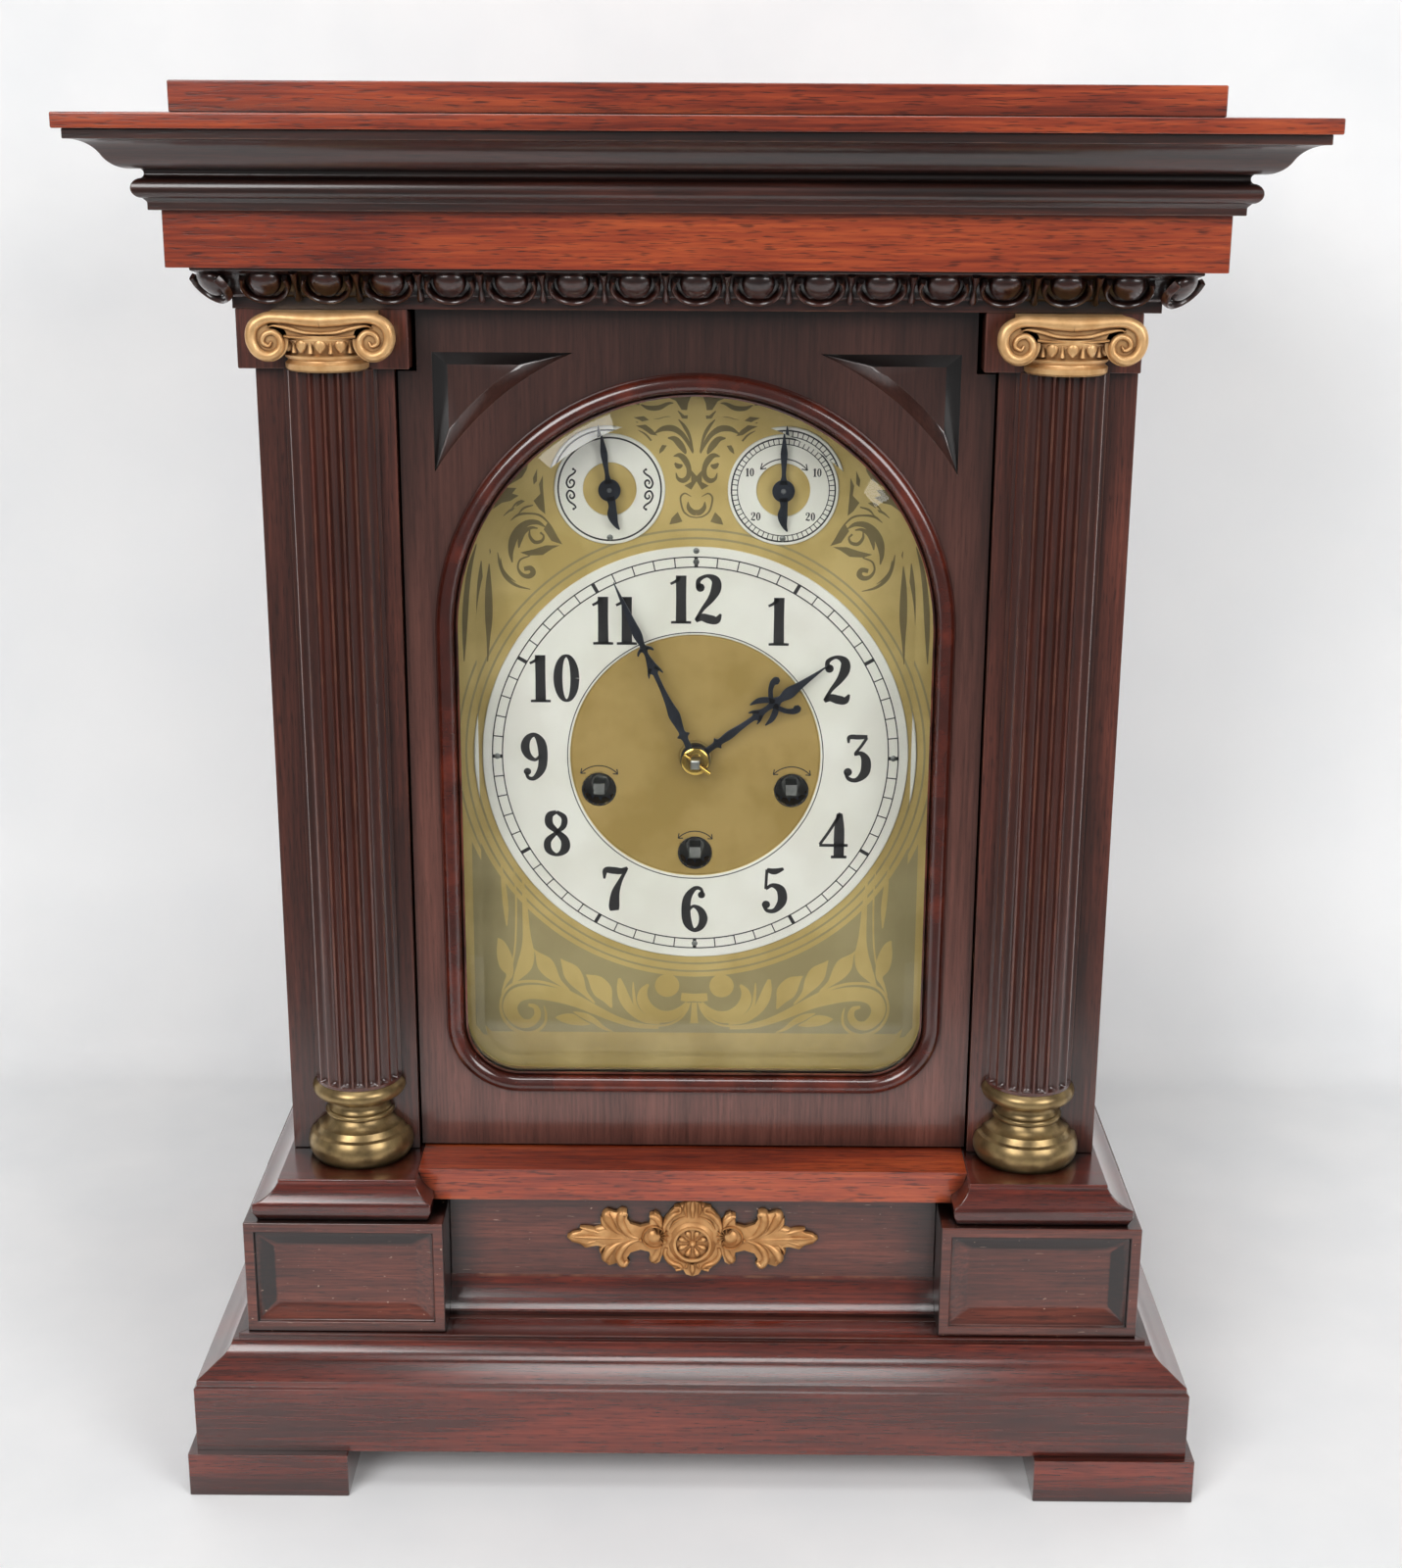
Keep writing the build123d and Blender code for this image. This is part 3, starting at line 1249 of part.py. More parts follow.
with BuildPart() as chime_drum:
    drum_front = layer_side + 2 * joint_gap
    rod(chime_place[0], chime_place[1], (drum_front, drum_front + chime_drum_length), chime_drum_radius)
    for pin in range(strike_pin_count):
        turn = pin * 360 / strike_pin_count
        pin_y = drum_front + chime_drum_length * (pin % gong_rods + 0.5) / gong_rods
        with Locations(Location((chime_place[0], pin_y, chime_place[1]), (0, turn, 0))):
            with Locations((0, 0, chime_drum_radius)):
                Box(2 * chime_pin_half, 2 * chime_pin_half, strike_pin_length)
    gear(chime_place, pinion_leaves, great_module, chime_first, layer_side + joint_gap, pinion_length)
    pivots(chime_place, plate_front_back, plate_back_y)

# Anchor with its crutch behind the back plate; the pallets stand just clear of the wheel
pendulum_y = plate_rear + pendulum_behind_plate
crutch_front = plate_rear + 2 * joint_gap
with BuildPart() as anchor:
    pallet_circle = escape_radius + anchor_gap
    for side in (-1, 1):
        pallet = toward(escape_place, pallet_circle, 90 + side * anchor_span_deg)
        outer = toward(escape_place, pallet_circle + pallet_length, 90 + side * anchor_span_deg)
        arm = [(anchor_place[0], anchor_place[1] - anchor_arm), pallet, outer,
               (anchor_place[0], anchor_place[1] + anchor_arm)]
        extrude(polygon_face(facing(layer_escape), arm[::side]), amount=anchor_thickness)
    rod(anchor_place[0], anchor_place[1], (layer_escape - anchor_thickness, layer_escape), 2 * anchor_arm)
    rod(anchor_place[0], anchor_place[1], (plate_front_back + joint_gap, plate_back_y - joint_gap),
        arbor_radius)
    rod(anchor_place[0], anchor_place[1], (plate_front_y, plate_front_back + joint_gap), pivot_radius)
    rod(anchor_place[0], anchor_place[1], (plate_back_y - joint_gap, crutch_front + crutch_thickness),
        pivot_radius)
    crutch_low = anchor_place[1] - crutch_length
    board((-crutch_width / 2, crutch_width / 2), (crutch_front, crutch_front + crutch_thickness),
          (crutch_low, anchor_place[1] + crutch_width / 2))
    fork_inner = pendulum_rod_radius + fork_gap
    board((-fork_inner - fork_prong, fork_inner + fork_prong),
          (crutch_front, crutch_front + crutch_thickness),
          (crutch_low, crutch_low + crutch_width))
    for side in (-1, 1):
        board((side * fork_inner, side * (fork_inner + fork_prong)),
              (crutch_front, pendulum_y + pendulum_rod_radius), (crutch_low, crutch_low + crutch_width))

# Pendulum: hanger, rod, lens bob and rating nut
bob_z = anchor_place[1] - pendulum_length
bob_bottom = bob_z - bob_radius
with BuildPart() as pendulum:
    hanger_span = (pendulum_y - hanger_thickness / 2, pendulum_y + hanger_thickness / 2)
    rod(0, anchor_place[1], hanger_span, hanger_radius)
    rod(0, anchor_place[1], hanger_span, hanger_pin_radius + running_gap, mode=Mode.SUBTRACT)
    post(0, pendulum_y, (bob_bottom - rating_screw_length, anchor_place[1] - hanger_radius + joint_gap),
         pendulum_rod_radius)
    bob_slope = (bob_thickness - bob_rim_thickness) / 2
    bob_half = [(across * bob_radius, bob_thickness / 2 - fall * bob_slope) for across, fall in bob_shares]
    bob_loop = [(0, -bob_thickness / 2)] + [(across, -out) for across, out in bob_half]
    bob_loop += bob_half[::-1] + [(0, bob_thickness / 2)]
    lens_plane = Plane(origin=(0, pendulum_y, bob_z), x_dir=(1, 0, 0), z_dir=(0, 0, 1))
    revolve(polygon_face(lens_plane, bob_loop), axis=Axis((0, pendulum_y, bob_z), (0, 1, 0)))
    nut_top = bob_bottom - joint_gap
    post(0, pendulum_y, (nut_top - rating_nut_height, nut_top), rating_nut_radius)

# Front plate with the stud of the minute wheel
pillar_places = [(side * (plate_half_width - pillar_side_set), level)
                 for side in (-1, 1) for level in (plate_bottom + pillar_low_set, plate_top - pillar_low_set)]
with BuildPart() as front_plate:
    board((-plate_half_width, plate_half_width), (plate_front_y, plate_front_back),
          (plate_bottom, plate_top))
    rod(minute_wheel_place[0], minute_wheel_place[1], (hour_wheel_front - joint_gap, plate_front_y),
        arbor_radius)
    for place_x, place_z in winding_places:
        rod(place_x, place_z, (plate_front_y, plate_front_back), winding_arbor_radius + running_gap,
            mode=Mode.SUBTRACT)
    rod(0, hand_z, (plate_front_y, plate_front_back), centre_arbor_radius + running_gap, mode=Mode.SUBTRACT)
    for place_x, place_z in pivot_places:
        rod(place_x, place_z, (plate_front_y, plate_front_back), pivot_radius + running_gap, mode=Mode.SUBTRACT)
    for place_x, place_z in pillar_places:
        rod(place_x, place_z, (plate_front_y, plate_front_back), pillar_screw_radius, mode=Mode.SUBTRACT)

# Back plate with its pillars and their nuts, the hammer arbor and the cock of the pendulum
hammer_pivot = (-hammer_arbor_side, plate_bottom + hammer_arbor_rise)
with BuildPart() as back_plate:
    board((-plate_half_width, plate_half_width), (plate_back_y, plate_rear), (plate_bottom, plate_top))
    for place_x, place_z in pillar_places:
        rod(place_x, place_z, (plate_front_back, plate_back_y), pillar_radius)
        rod(place_x, place_z, (plate_front_y, plate_front_back), pillar_screw_radius)
    with BuildSketch(facing(plate_front_y)) as nuts:
        with Locations(*pillar_places):
            RegularPolygon(pillar_nut_radius, 6)
    extrude(nuts.sketch, amount=pillar_nut_thickness)
    rod(hammer_pivot[0], hammer_pivot[1], (plate_front_back, plate_back_y), arbor_radius)
    cock_low = anchor_place[1] + hanger_radius + 2 * joint_gap
    pin_back = pendulum_y + hanger_thickness / 2 + joint_gap
    board((-cock_width / 2, cock_width / 2), (plate_rear, pin_back + plate_thickness),
          (cock_low, cock_low + cock_height))
    board((-hanger_radius, hanger_radius), (pin_back, pin_back + plate_thickness),
          (anchor_place[1] - hanger_radius, cock_low + cock_height))
    rod(0, anchor_place[1], (pendulum_y - hanger_thickness / 2 - joint_gap, pin_back), hanger_pin_radius)
    for place_x, place_z in winding_places:
        rod(place_x, place_z, (plate_back_y, plate_rear), winding_arbor_radius + running_gap, mode=Mode.SUBTRACT)
    rod(0, hand_z, (plate_back_y, plate_rear), centre_arbor_radius + running_gap, mode=Mode.SUBTRACT)
    for place_x, place_z in pivot_places:
        rod(place_x, place_z, (plate_back_y, plate_rear), pivot_radius + running_gap, mode=Mode.SUBTRACT)

# Rails that the movement stands on, fixed to the case sides
with BuildPart() as seat_rails:
    middle_y = (plate_front_y + plate_rear) / 2
    board((inner_half - seat_width, inner_half), (middle_y - seat_depth / 2, middle_y + seat_depth / 2),
          (plate_bottom - seat_height, plate_bottom))
    mirror(about=Plane.YZ)

# Rod gong on its block, under the movement
gong_y = [plate_front_back + (plate_space - gong_pitch * (gong_rods - 1)) / 2 + index * gong_pitch
          for index in range(gong_rods)]
gong_z = shelf_z + gong_rise
block_left = -inner_half + gong_block_margin
with BuildPart() as rod_gong:
    board((block_left, block_left + gong_block_length),
          (gong_y[0] - gong_block_margin, gong_y[-1] + gong_block_margin),
          (shelf_z, shelf_z + gong_block_height))
    for index, rod_y in enumerate(gong_y):
        length = gong_longest - index * gong_step
        with Locations(Location((block_left + gong_block_length + length / 2, rod_y, gong_z), (0, 90, 0))):
            Cylinder(gong_rod_radius, length)


def hammer(rod_y):
    """Hammer on the common arbor, its head just above its own rod."""
    head_x = hammer_pivot[0] - hammer_side
    head_low = gong_z + gong_rod_radius + hammer_rest_gap
    elbow_z = head_low + hammer_head_length
    with BuildPart() as piece:
        rod(hammer_pivot[0], hammer_pivot[1],
            (rod_y - hammer_hub_length / 2, rod_y + hammer_hub_length / 2), hammer_hub_radius)
        points = [(hammer_pivot[0] - hammer_arm / 2, hammer_pivot[1]), (head_x - hammer_arm / 2, elbow_z),
                  (head_x - hammer_arm / 2, head_low + hammer_head_length / 2),
                  (head_x + hammer_arm / 2, head_low + hammer_head_length / 2),
                  (head_x + hammer_arm, elbow_z), (hammer_pivot[0] + hammer_arm, hammer_pivot[1])]
        extrude(polygon_face(facing(rod_y + hammer_arm / 2), points), amount=hammer_arm)
        post(head_x, rod_y, (head_low, head_low + hammer_head_length), hammer_head_radius)
        rod(hammer_pivot[0], hammer_pivot[1], (rod_y - hammer_hub_length, rod_y + hammer_hub_length),
            arbor_radius + running_gap, mode=Mode.SUBTRACT)
    return piece.part


with BuildPart() as hammer_1:
    add(hammer(gong_y[0]))

with BuildPart() as hammer_2:
    add(hammer(gong_y[1]))

with BuildPart() as hammer_3:
    add(hammer(gong_y[2]))

with BuildPart() as hammer_4:
    add(hammer(gong_y[3]))

# Back frame with a rebated opening, and the door in it
opening_half = half_case - back_stile
opening_low = shelf_z + back_low_rail
opening_high = architrave_z - back_high_rail
door_front_y = back_y - back_door_thickness
with BuildPart() as back_frame:
    board((-half_case, half_case), (frame_y, back_y), (plinth_z, architrave_z))
    board((-opening_half, opening_half), (door_front_y, back_y), (opening_low, opening_high),
          mode=Mode.SUBTRACT)
    board((-opening_half + back_stop, opening_half - back_stop), (frame_y, back_y),
          (opening_low + back_stop, opening_high - back_stop), mode=Mode.SUBTRACT)
    button_x = -opening_half - button_edge
    button_z = (opening_low + opening_high) / 2
    rod(button_x, button_z, (back_y - button_pin_hold, back_y), button_pin_radius + running_gap,
        mode=Mode.SUBTRACT)

back_half = opening_half - back_door_gap
with BuildPart() as back_door:
    board((-back_half, back_half), (door_front_y, back_y),
          (opening_low + back_door_gap, opening_high - back_door_gap))
    rod(-back_half + back_knob_edge, button_z - back_knob_drop, (back_y, back_y + back_knob_length),
        back_knob_radius)

hinge_x = opening_half
hinge_y = back_y + knuckle_radius
hinge_lows = [opening_low + hinge_end_set, opening_high - hinge_end_set - hinge_height]
knuckle = hinge_height / 3
with BuildPart() as back_hinges:
    for low in hinge_lows:
        board((hinge_x + knuckle_radius + joint_gap, hinge_x + hinge_leaf),
              (back_y, back_y + hinge_leaf_thickness),
              (low, low + hinge_height))
        for start in (low, low + 2 * knuckle):
            board((hinge_x, hinge_x + hinge_leaf), (back_y, back_y + hinge_leaf_thickness),
                  (start, start + knuckle - joint_gap))
            post(hinge_x, hinge_y, (start, start + knuckle - joint_gap), knuckle_radius)
        post(hinge_x, hinge_y, (low, low + hinge_height - joint_gap), hinge_pin_radius)

with BuildPart() as back_door_leaves:
    for low in hinge_lows:
        board((hinge_x - hinge_leaf, hinge_x - knuckle_radius - joint_gap),
              (back_y, back_y + hinge_leaf_thickness),
              (low, low + hinge_height - joint_gap))
        board((hinge_x - hinge_leaf, hinge_x), (back_y, back_y + hinge_leaf_thickness),
              (low + knuckle, low + 2 * knuckle - joint_gap))
        post(hinge_x, hinge_y, (low + knuckle, low + 2 * knuckle - joint_gap), knuckle_radius)
        post(hinge_x, hinge_y, (low, low + hinge_height), hinge_pin_radius + running_gap, mode=Mode.SUBTRACT)

with BuildPart() as turn_button:
    board((button_x - button_width / 2, button_x + button_width / 2),
          (back_y + joint_gap, back_y + joint_gap + button_thickness),
          (button_z - button_short, button_z + button_long))
    rod(button_x, button_z, (back_y - button_pin_hold + joint_gap, back_y + joint_gap), button_pin_radius)

# Cast brass ornament on the recessed plinth panel
ornament_z = plinth_z + (shelf_z - plinth_z) * ornament_drop_share
with BuildPart() as brass_ornament:
    upper = [(across * ornament_half_length, ornament_z + up * ornament_half_height)
             for across, up in ornament_outline_shares]
    lower = [(across, 2 * ornament_z - up) for across, up in upper[-2::-1]]
    half_loop = upper + lower
    extrude(polygon_face(facing(panel_front), half_loop), amount=ornament_thickness)
    mirror(about=Plane.YZ)
    disc_front = panel_front - ornament_thickness
    ring_radius = ornament_half_height * ornament_ring_share
    rosette_radius = ornament_half_height * ornament_rosette_share
    boss_radius = ornament_half_height * ornament_boss_share
    ring_z = ornament_z - ornament_half_height * ornament_rosette_drop_share
    rod(0, ring_z, (disc_front - ornament_thickness, disc_front), ring_radius)
    rod(0, ring_z, (disc_front - ornament_thickness, disc_front), rosette_radius, mode=Mode.SUBTRACT)
    flower = []
    for petal in range(ornament_petals):
        for offset, share in ornament_petal_shares:
            degrees = (petal + offset) * 360 / ornament_petals
            flower.append(toward((0, ring_z), rosette_radius * share, degrees))
    extrude(polygon_face(facing(disc_front), flower), amount=ornament_thickness / 2)
    with BuildSketch(facing(disc_front)):
        with Locations((0, ring_z)):
            RegularPolygon(boss_radius, ornament_petals)
    extrude(amount=ornament_thickness)
    shell_x = ornament_half_length * ornament_shell_share
    shell_z = ornament_z + ornament_half_height * ornament_shell_rise_share
    for side in (-1, 1):
        rod(side * shell_x, shell_z, (disc_front - ornament_thickness / 2, disc_front),
            ornament_half_height * ornament_shell_radius_share)

block_feet.part.label = "block_feet"
export_step(block_feet.part, "parts/block_feet.step")
base_mouldings.part.label = "base_mouldings"
export_step(base_mouldings.part, "parts/base_mouldings.step")
base_board.part.label = "base_board"
export_step(base_board.part, "parts/base_board.step")
pedestals.part.label = "pedestals"
export_step(pedestals.part, "parts/pedestals.step")
plinth_boards.part.label = "plinth_boards"
export_step(plinth_boards.part, "parts/plinth_boards.step")
pedestal_caps.part.label = "pedestal_caps"
export_step(pedestal_caps.part, "parts/pedestal_caps.step")
shelf_board.part.label = "shelf_board"
export_step(shelf_board.part, "parts/shelf_board.step")
case_sides.part.label = "case_sides"
export_step(case_sides.part, "parts/case_sides.step")
pilasters.part.label = "pilasters"
export_step(pilasters.part, "parts/pilasters.step")
fluted_columns.part.label = "fluted_columns"
export_step(fluted_columns.part, "parts/fluted_columns.step")
column_bases.part.label = "column_bases"
export_step(column_bases.part, "parts/column_bases.step")
capitals.part.label = "capitals"
export_step(capitals.part, "parts/capitals.step")
architrave_board.part.label = "architrave_board"
export_step(architrave_board.part, "parts/architrave_board.step")
egg_sticks.part.label = "egg_and_dart"
export_step(egg_sticks.part, "parts/egg_and_dart.step")
frieze_boards.part.label = "frieze_boards"
export_step(frieze_boards.part, "parts/frieze_boards.step")
cornice.part.label = "cornice"
export_step(cornice.part, "parts/cornice.step")
top_board.part.label = "top_board"
export_step(top_board.part, "parts/top_board.step")
crown_block.part.label = "crown_block"
export_step(crown_block.part, "parts/crown_block.step")
door_frame.part.label = "door_frame"
export_step(door_frame.part, "parts/door_frame.step")
door_pins.part.label = "door_pins"
export_step(door_pins.part, "parts/door_pins.step")
door_bead.part.label = "door_bead"
export_step(door_bead.part, "parts/door_bead.step")
bevelled_glass.part.label = "bevelled_glass"
export_step(bevelled_glass.part, "parts/bevelled_glass.step")
glass_strip.part.label = "glass_strip"
export_step(glass_strip.part, "parts/glass_strip.step")
dial_plate.part.label = "dial_plate"
export_step(dial_plate.part, "parts/dial_plate.step")
chapter_ring.part.label = "chapter_ring"
export_step(chapter_ring.part, "parts/chapter_ring.step")
subdial_rings.part.label = "subdial_rings"
export_step(subdial_rings.part, "parts/subdial_rings.step")
minute_hand.part.label = "minute_hand"
export_step(minute_hand.part, "parts/minute_hand.step")
hour_hand.part.label = "hour_hand"
export_step(hour_hand.part, "parts/hour_hand.step")
hand_washer.part.label = "hand_washer"
export_step(hand_washer.part, "parts/hand_washer.step")
chime_hand.part.label = "chime_hand"
export_step(chime_hand.part, "parts/chime_hand.step")
regulator_hand.part.label = "regulator_hand"
export_step(regulator_hand.part, "parts/regulator_hand.step")
time_barrel.part.label = "time_barrel"
export_step(time_barrel.part, "parts/time_barrel.step")
strike_barrel.part.label = "strike_barrel"
export_step(strike_barrel.part, "parts/strike_barrel.step")
chime_barrel.part.label = "chime_barrel"
export_step(chime_barrel.part, "parts/chime_barrel.step")
strike_winding_arbor.part.label = "strike_winding_arbor"
export_step(strike_winding_arbor.part, "parts/strike_winding_arbor.step")
time_winding_arbor.part.label = "time_winding_arbor"
export_step(time_winding_arbor.part, "parts/time_winding_arbor.step")
chime_winding_arbor.part.label = "chime_winding_arbor"
export_step(chime_winding_arbor.part, "parts/chime_winding_arbor.step")
centre_wheel.part.label = "centre_wheel"
export_step(centre_wheel.part, "parts/centre_wheel.step")
hour_wheel.part.label = "hour_wheel"
export_step(hour_wheel.part, "parts/hour_wheel.step")
minute_wheel.part.label = "minute_wheel"
export_step(minute_wheel.part, "parts/minute_wheel.step")
third_wheel.part.label = "third_wheel"
export_step(third_wheel.part, "parts/third_wheel.step")
escape_wheel.part.label = "escape_wheel"
export_step(escape_wheel.part, "parts/escape_wheel.step")
strike_wheel.part.label = "strike_wheel"
export_step(strike_wheel.part, "parts/strike_wheel.step")
chime_drum.part.label = "chime_drum"
export_step(chime_drum.part, "parts/chime_drum.step")
anchor.part.label = "anchor"
export_step(anchor.part, "parts/anchor.step")
pendulum.part.label = "pendulum"
export_step(pendulum.part, "parts/pendulum.step")
front_plate.part.label = "front_plate"
export_step(front_plate.part, "parts/front_plate.step")
back_plate.part.label = "back_plate"
export_step(back_plate.part, "parts/back_plate.step")
seat_rails.part.label = "seat_rails"
export_step(seat_rails.part, "parts/seat_rails.step")
rod_gong.part.label = "rod_gong"
export_step(rod_gong.part, "parts/rod_gong.step")
hammer_1.part.label = "hammer_1"
export_step(hammer_1.part, "parts/hammer_1.step")
hammer_2.part.label = "hammer_2"
export_step(hammer_2.part, "parts/hammer_2.step")
hammer_3.part.label = "hammer_3"
export_step(hammer_3.part, "parts/hammer_3.step")
hammer_4.part.label = "hammer_4"
export_step(hammer_4.part, "parts/hammer_4.step")
back_frame.part.label = "back_frame"
export_step(back_frame.part, "parts/back_frame.step")
back_door.part.label = "back_door"
export_step(back_door.part, "parts/back_door.step")
back_hinges.part.label = "back_hinges"
export_step(back_hinges.part, "parts/back_hinges.step")
back_door_leaves.part.label = "back_door_leaves"
export_step(back_door_leaves.part, "parts/back_door_leaves.step")
turn_button.part.label = "turn_button"
export_step(turn_button.part, "parts/turn_button.step")
brass_ornament.part.label = "brass_ornament"
export_step(brass_ornament.part, "parts/brass_ornament.step")
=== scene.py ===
"""Mantel clock with two fluted Ionic half columns: its looks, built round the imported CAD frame.

Sizes in the classes are millimetres in the frame of the CAD: X right, Y back and Z up.
"""
from __future__ import annotations

import logging
import math
from collections.abc import Callable
from dataclasses import dataclass, field
from enum import Enum

import bmesh
import bpy
import numpy as np
from mathutils import Matrix, Vector


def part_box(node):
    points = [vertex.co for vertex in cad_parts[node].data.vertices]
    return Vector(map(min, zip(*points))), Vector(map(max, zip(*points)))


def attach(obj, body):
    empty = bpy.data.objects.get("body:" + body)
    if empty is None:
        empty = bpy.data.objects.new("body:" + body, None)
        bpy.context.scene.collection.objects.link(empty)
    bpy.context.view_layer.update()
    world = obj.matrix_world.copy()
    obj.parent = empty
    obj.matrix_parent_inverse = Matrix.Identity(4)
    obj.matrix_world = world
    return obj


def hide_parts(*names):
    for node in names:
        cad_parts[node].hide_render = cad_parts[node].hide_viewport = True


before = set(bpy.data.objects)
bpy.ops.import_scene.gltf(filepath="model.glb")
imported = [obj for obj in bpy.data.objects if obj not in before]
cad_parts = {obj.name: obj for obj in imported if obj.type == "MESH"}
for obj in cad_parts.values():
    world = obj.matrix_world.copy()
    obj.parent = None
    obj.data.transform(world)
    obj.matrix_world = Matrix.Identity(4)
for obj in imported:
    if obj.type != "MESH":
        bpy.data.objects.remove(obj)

MM = 0.001
log = logging.getLogger("mantel_clock")
Point = tuple[float, float]
Span = tuple[float, float]
Spot = tuple[float, float, float]
# A point of a drawn line: across, up and half the line's width there
Knot = tuple[float, float, float]
Lines = tuple[tuple[Knot, ...], ...]
Outline = list[list[Point]]
# Middles of the two subdials, beside and above the middle of the ring
SUBDIAL_X = 27.8
SUBDIAL_RISE = 89.0
# Points of a mesh that are nearer than this are one
WELD_MM = 0.005
PIECE_WELD_MM = 0.001
# Edges sharper than this get a soft arris, on the CAD's boards and on the pieces made here
BOARD_EDGE_DEG = 38
PIECE_EDGE_DEG = 40
ARRIS_STEPS = 2
FLAT_FACE_WEIGHT = 90
# No drawn line is thinner than this to either side
LEAST_HALF_MM = 0.02
# Settings of nodes that come again
TIMES = {"operation": "MULTIPLY"}
PLUS = {"operation": "ADD"}
BLEND = {"data_type": "RGBA"}
DARKEN = {"data_type": "RGBA", "blend_type": "MULTIPLY"}
BLACK = "#000000"
WHITE = "#ffffff"


class Body(Enum):
    """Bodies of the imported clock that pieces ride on."""

    CASE = "case"
    DOOR = "door"
    MINUTE = "minute"
    HOUR = "hour"
    CHIME_HAND = "chime_hand"
    REGULATOR_HAND = "regulator_hand"


class Slot(Enum):
    """Material slots of the record; the pieces here don't take their finish from them."""

    MAHOGANY = "mahogany"
    RED_MAHOGANY = "red_mahogany"
    BRASS = "brass"
    DIAL_BRASS = "dial_brass"
    SILVERED = "silvered_brass"
    BLUED = "blued_steel"
    STEEL = "steel"
    GLASS = "glass"


class Grain(Enum):
    """Axis that the wood's fibres run along."""

    X = 0
    Z = 2


class Section(Enum):
    """Cross-section of a drawn stroke, with the points of a round one."""

    FLAT = 2
    ROUND = 9


def node_span(name: str) -> tuple[np.ndarray, np.ndarray]:
    """Gives a CAD node's lowest and highest corners.

    Args:
        name: the node.

    Returns:
        The two corners in millimetres.
    """
    low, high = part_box(name)
    return np.array(low) / MM, np.array(high) / MM


# Finishes


def linear(code: str) -> tuple[float, float, float, float]:
    """Turns an sRGB hex colour to linear light.

    Args:
        code: colour such as "#a0522d".

    Returns:
        Red, green, blue and an alpha of one.
    """
    parts = [int(code[i:i + 2], 16) / 255 for i in (1, 3, 5)]
    red, green, blue = (p / 12.92 if p <= 0.04045 else ((p + 0.055) / 1.055) ** 2.4 for p in parts)
    return red, green, blue, 1.0


def add_node(tree: bpy.types.NodeTree, kind: str, settings: dict | None = None,
             inputs: dict | None = None) -> bpy.types.Node:
    """Adds a node with its settings, values and links.

    Args:
        tree: the material's node tree.
        kind: the node's type, without the prefix that all shader nodes have.
        settings: properties of the node; "stops" are the stops of a colour ramp.
        inputs: a value, a socket or a node whose first output is meant, for each input.

    Returns:
        The new node.
    """
    node = tree.nodes.new("ShaderNode" + kind)
    for key, value in (settings or {}).items():
        if key == "stops":
            stops = node.color_ramp.elements
            while len(stops) < len(value):
                stops.new(1.0)
            for stop, (place, colour) in zip(stops, value):
                stop.position = place
                stop.color = linear(colour)
        else:
            setattr(node, key, value)
    for key, value in (inputs or {}).items():
        if isinstance(value, bpy.types.Node):
            value = value.outputs[0]
        if isinstance(value, bpy.types.NodeSocket):
            tree.links.new(value, node.inputs[key])
        else:
            node.inputs[key].default_value = value
    return node


def mask(span: Span, first: str = BLACK, last: str = WHITE) -> list[tuple[float, str]]:
    """Gives the stops of a ramp from one colour to another, over a range of its input."""
    return [(span[0], first), (span[1], last)]


def new_material(name: str, shader: dict) -> tuple[bpy.types.Material, bpy.types.NodeTree, bpy.types.Node]:
    """Starts a material with one principled shader.

    Args:
        name: name of the material.
        shader: values of the shader's own sockets.

    Returns:
        The material, its tree and its shader.
    """
    material = bpy.data.materials.new(name)
    material.use_nodes = True
    tree = material.node_tree
    principled = tree.nodes["Principled BSDF"]
    for key, value in shader.items():
        principled.inputs[key].default_value = value
    return material, tree, principled


def stretched_noise(tree: bpy.types.NodeTree, scale_mm: Spot,
                    detail: float = 3.0) -> bpy.types.NodeSocket:
    """Adds noise whose spots have a real size along each axis of the object.

    Args:
        tree: the material's node tree.
        scale_mm: size of the spots along X, Y and Z.
        detail: finer octaves of the noise.

    Returns:
        The noise value.
    """
    place = add_node(tree, "TexCoord").outputs["Object"]
    scale = tuple(1 / (size * MM) for size in scale_mm)
    mapped = add_node(tree, "Mapping", {"vector_type": "POINT"}, {"Vector": place, "Scale": scale})
    noise = add_node(tree, "TexNoise", None, {"Vector": mapped, "Scale": 1.0, "Detail": detail})
    return noise.outputs[0]


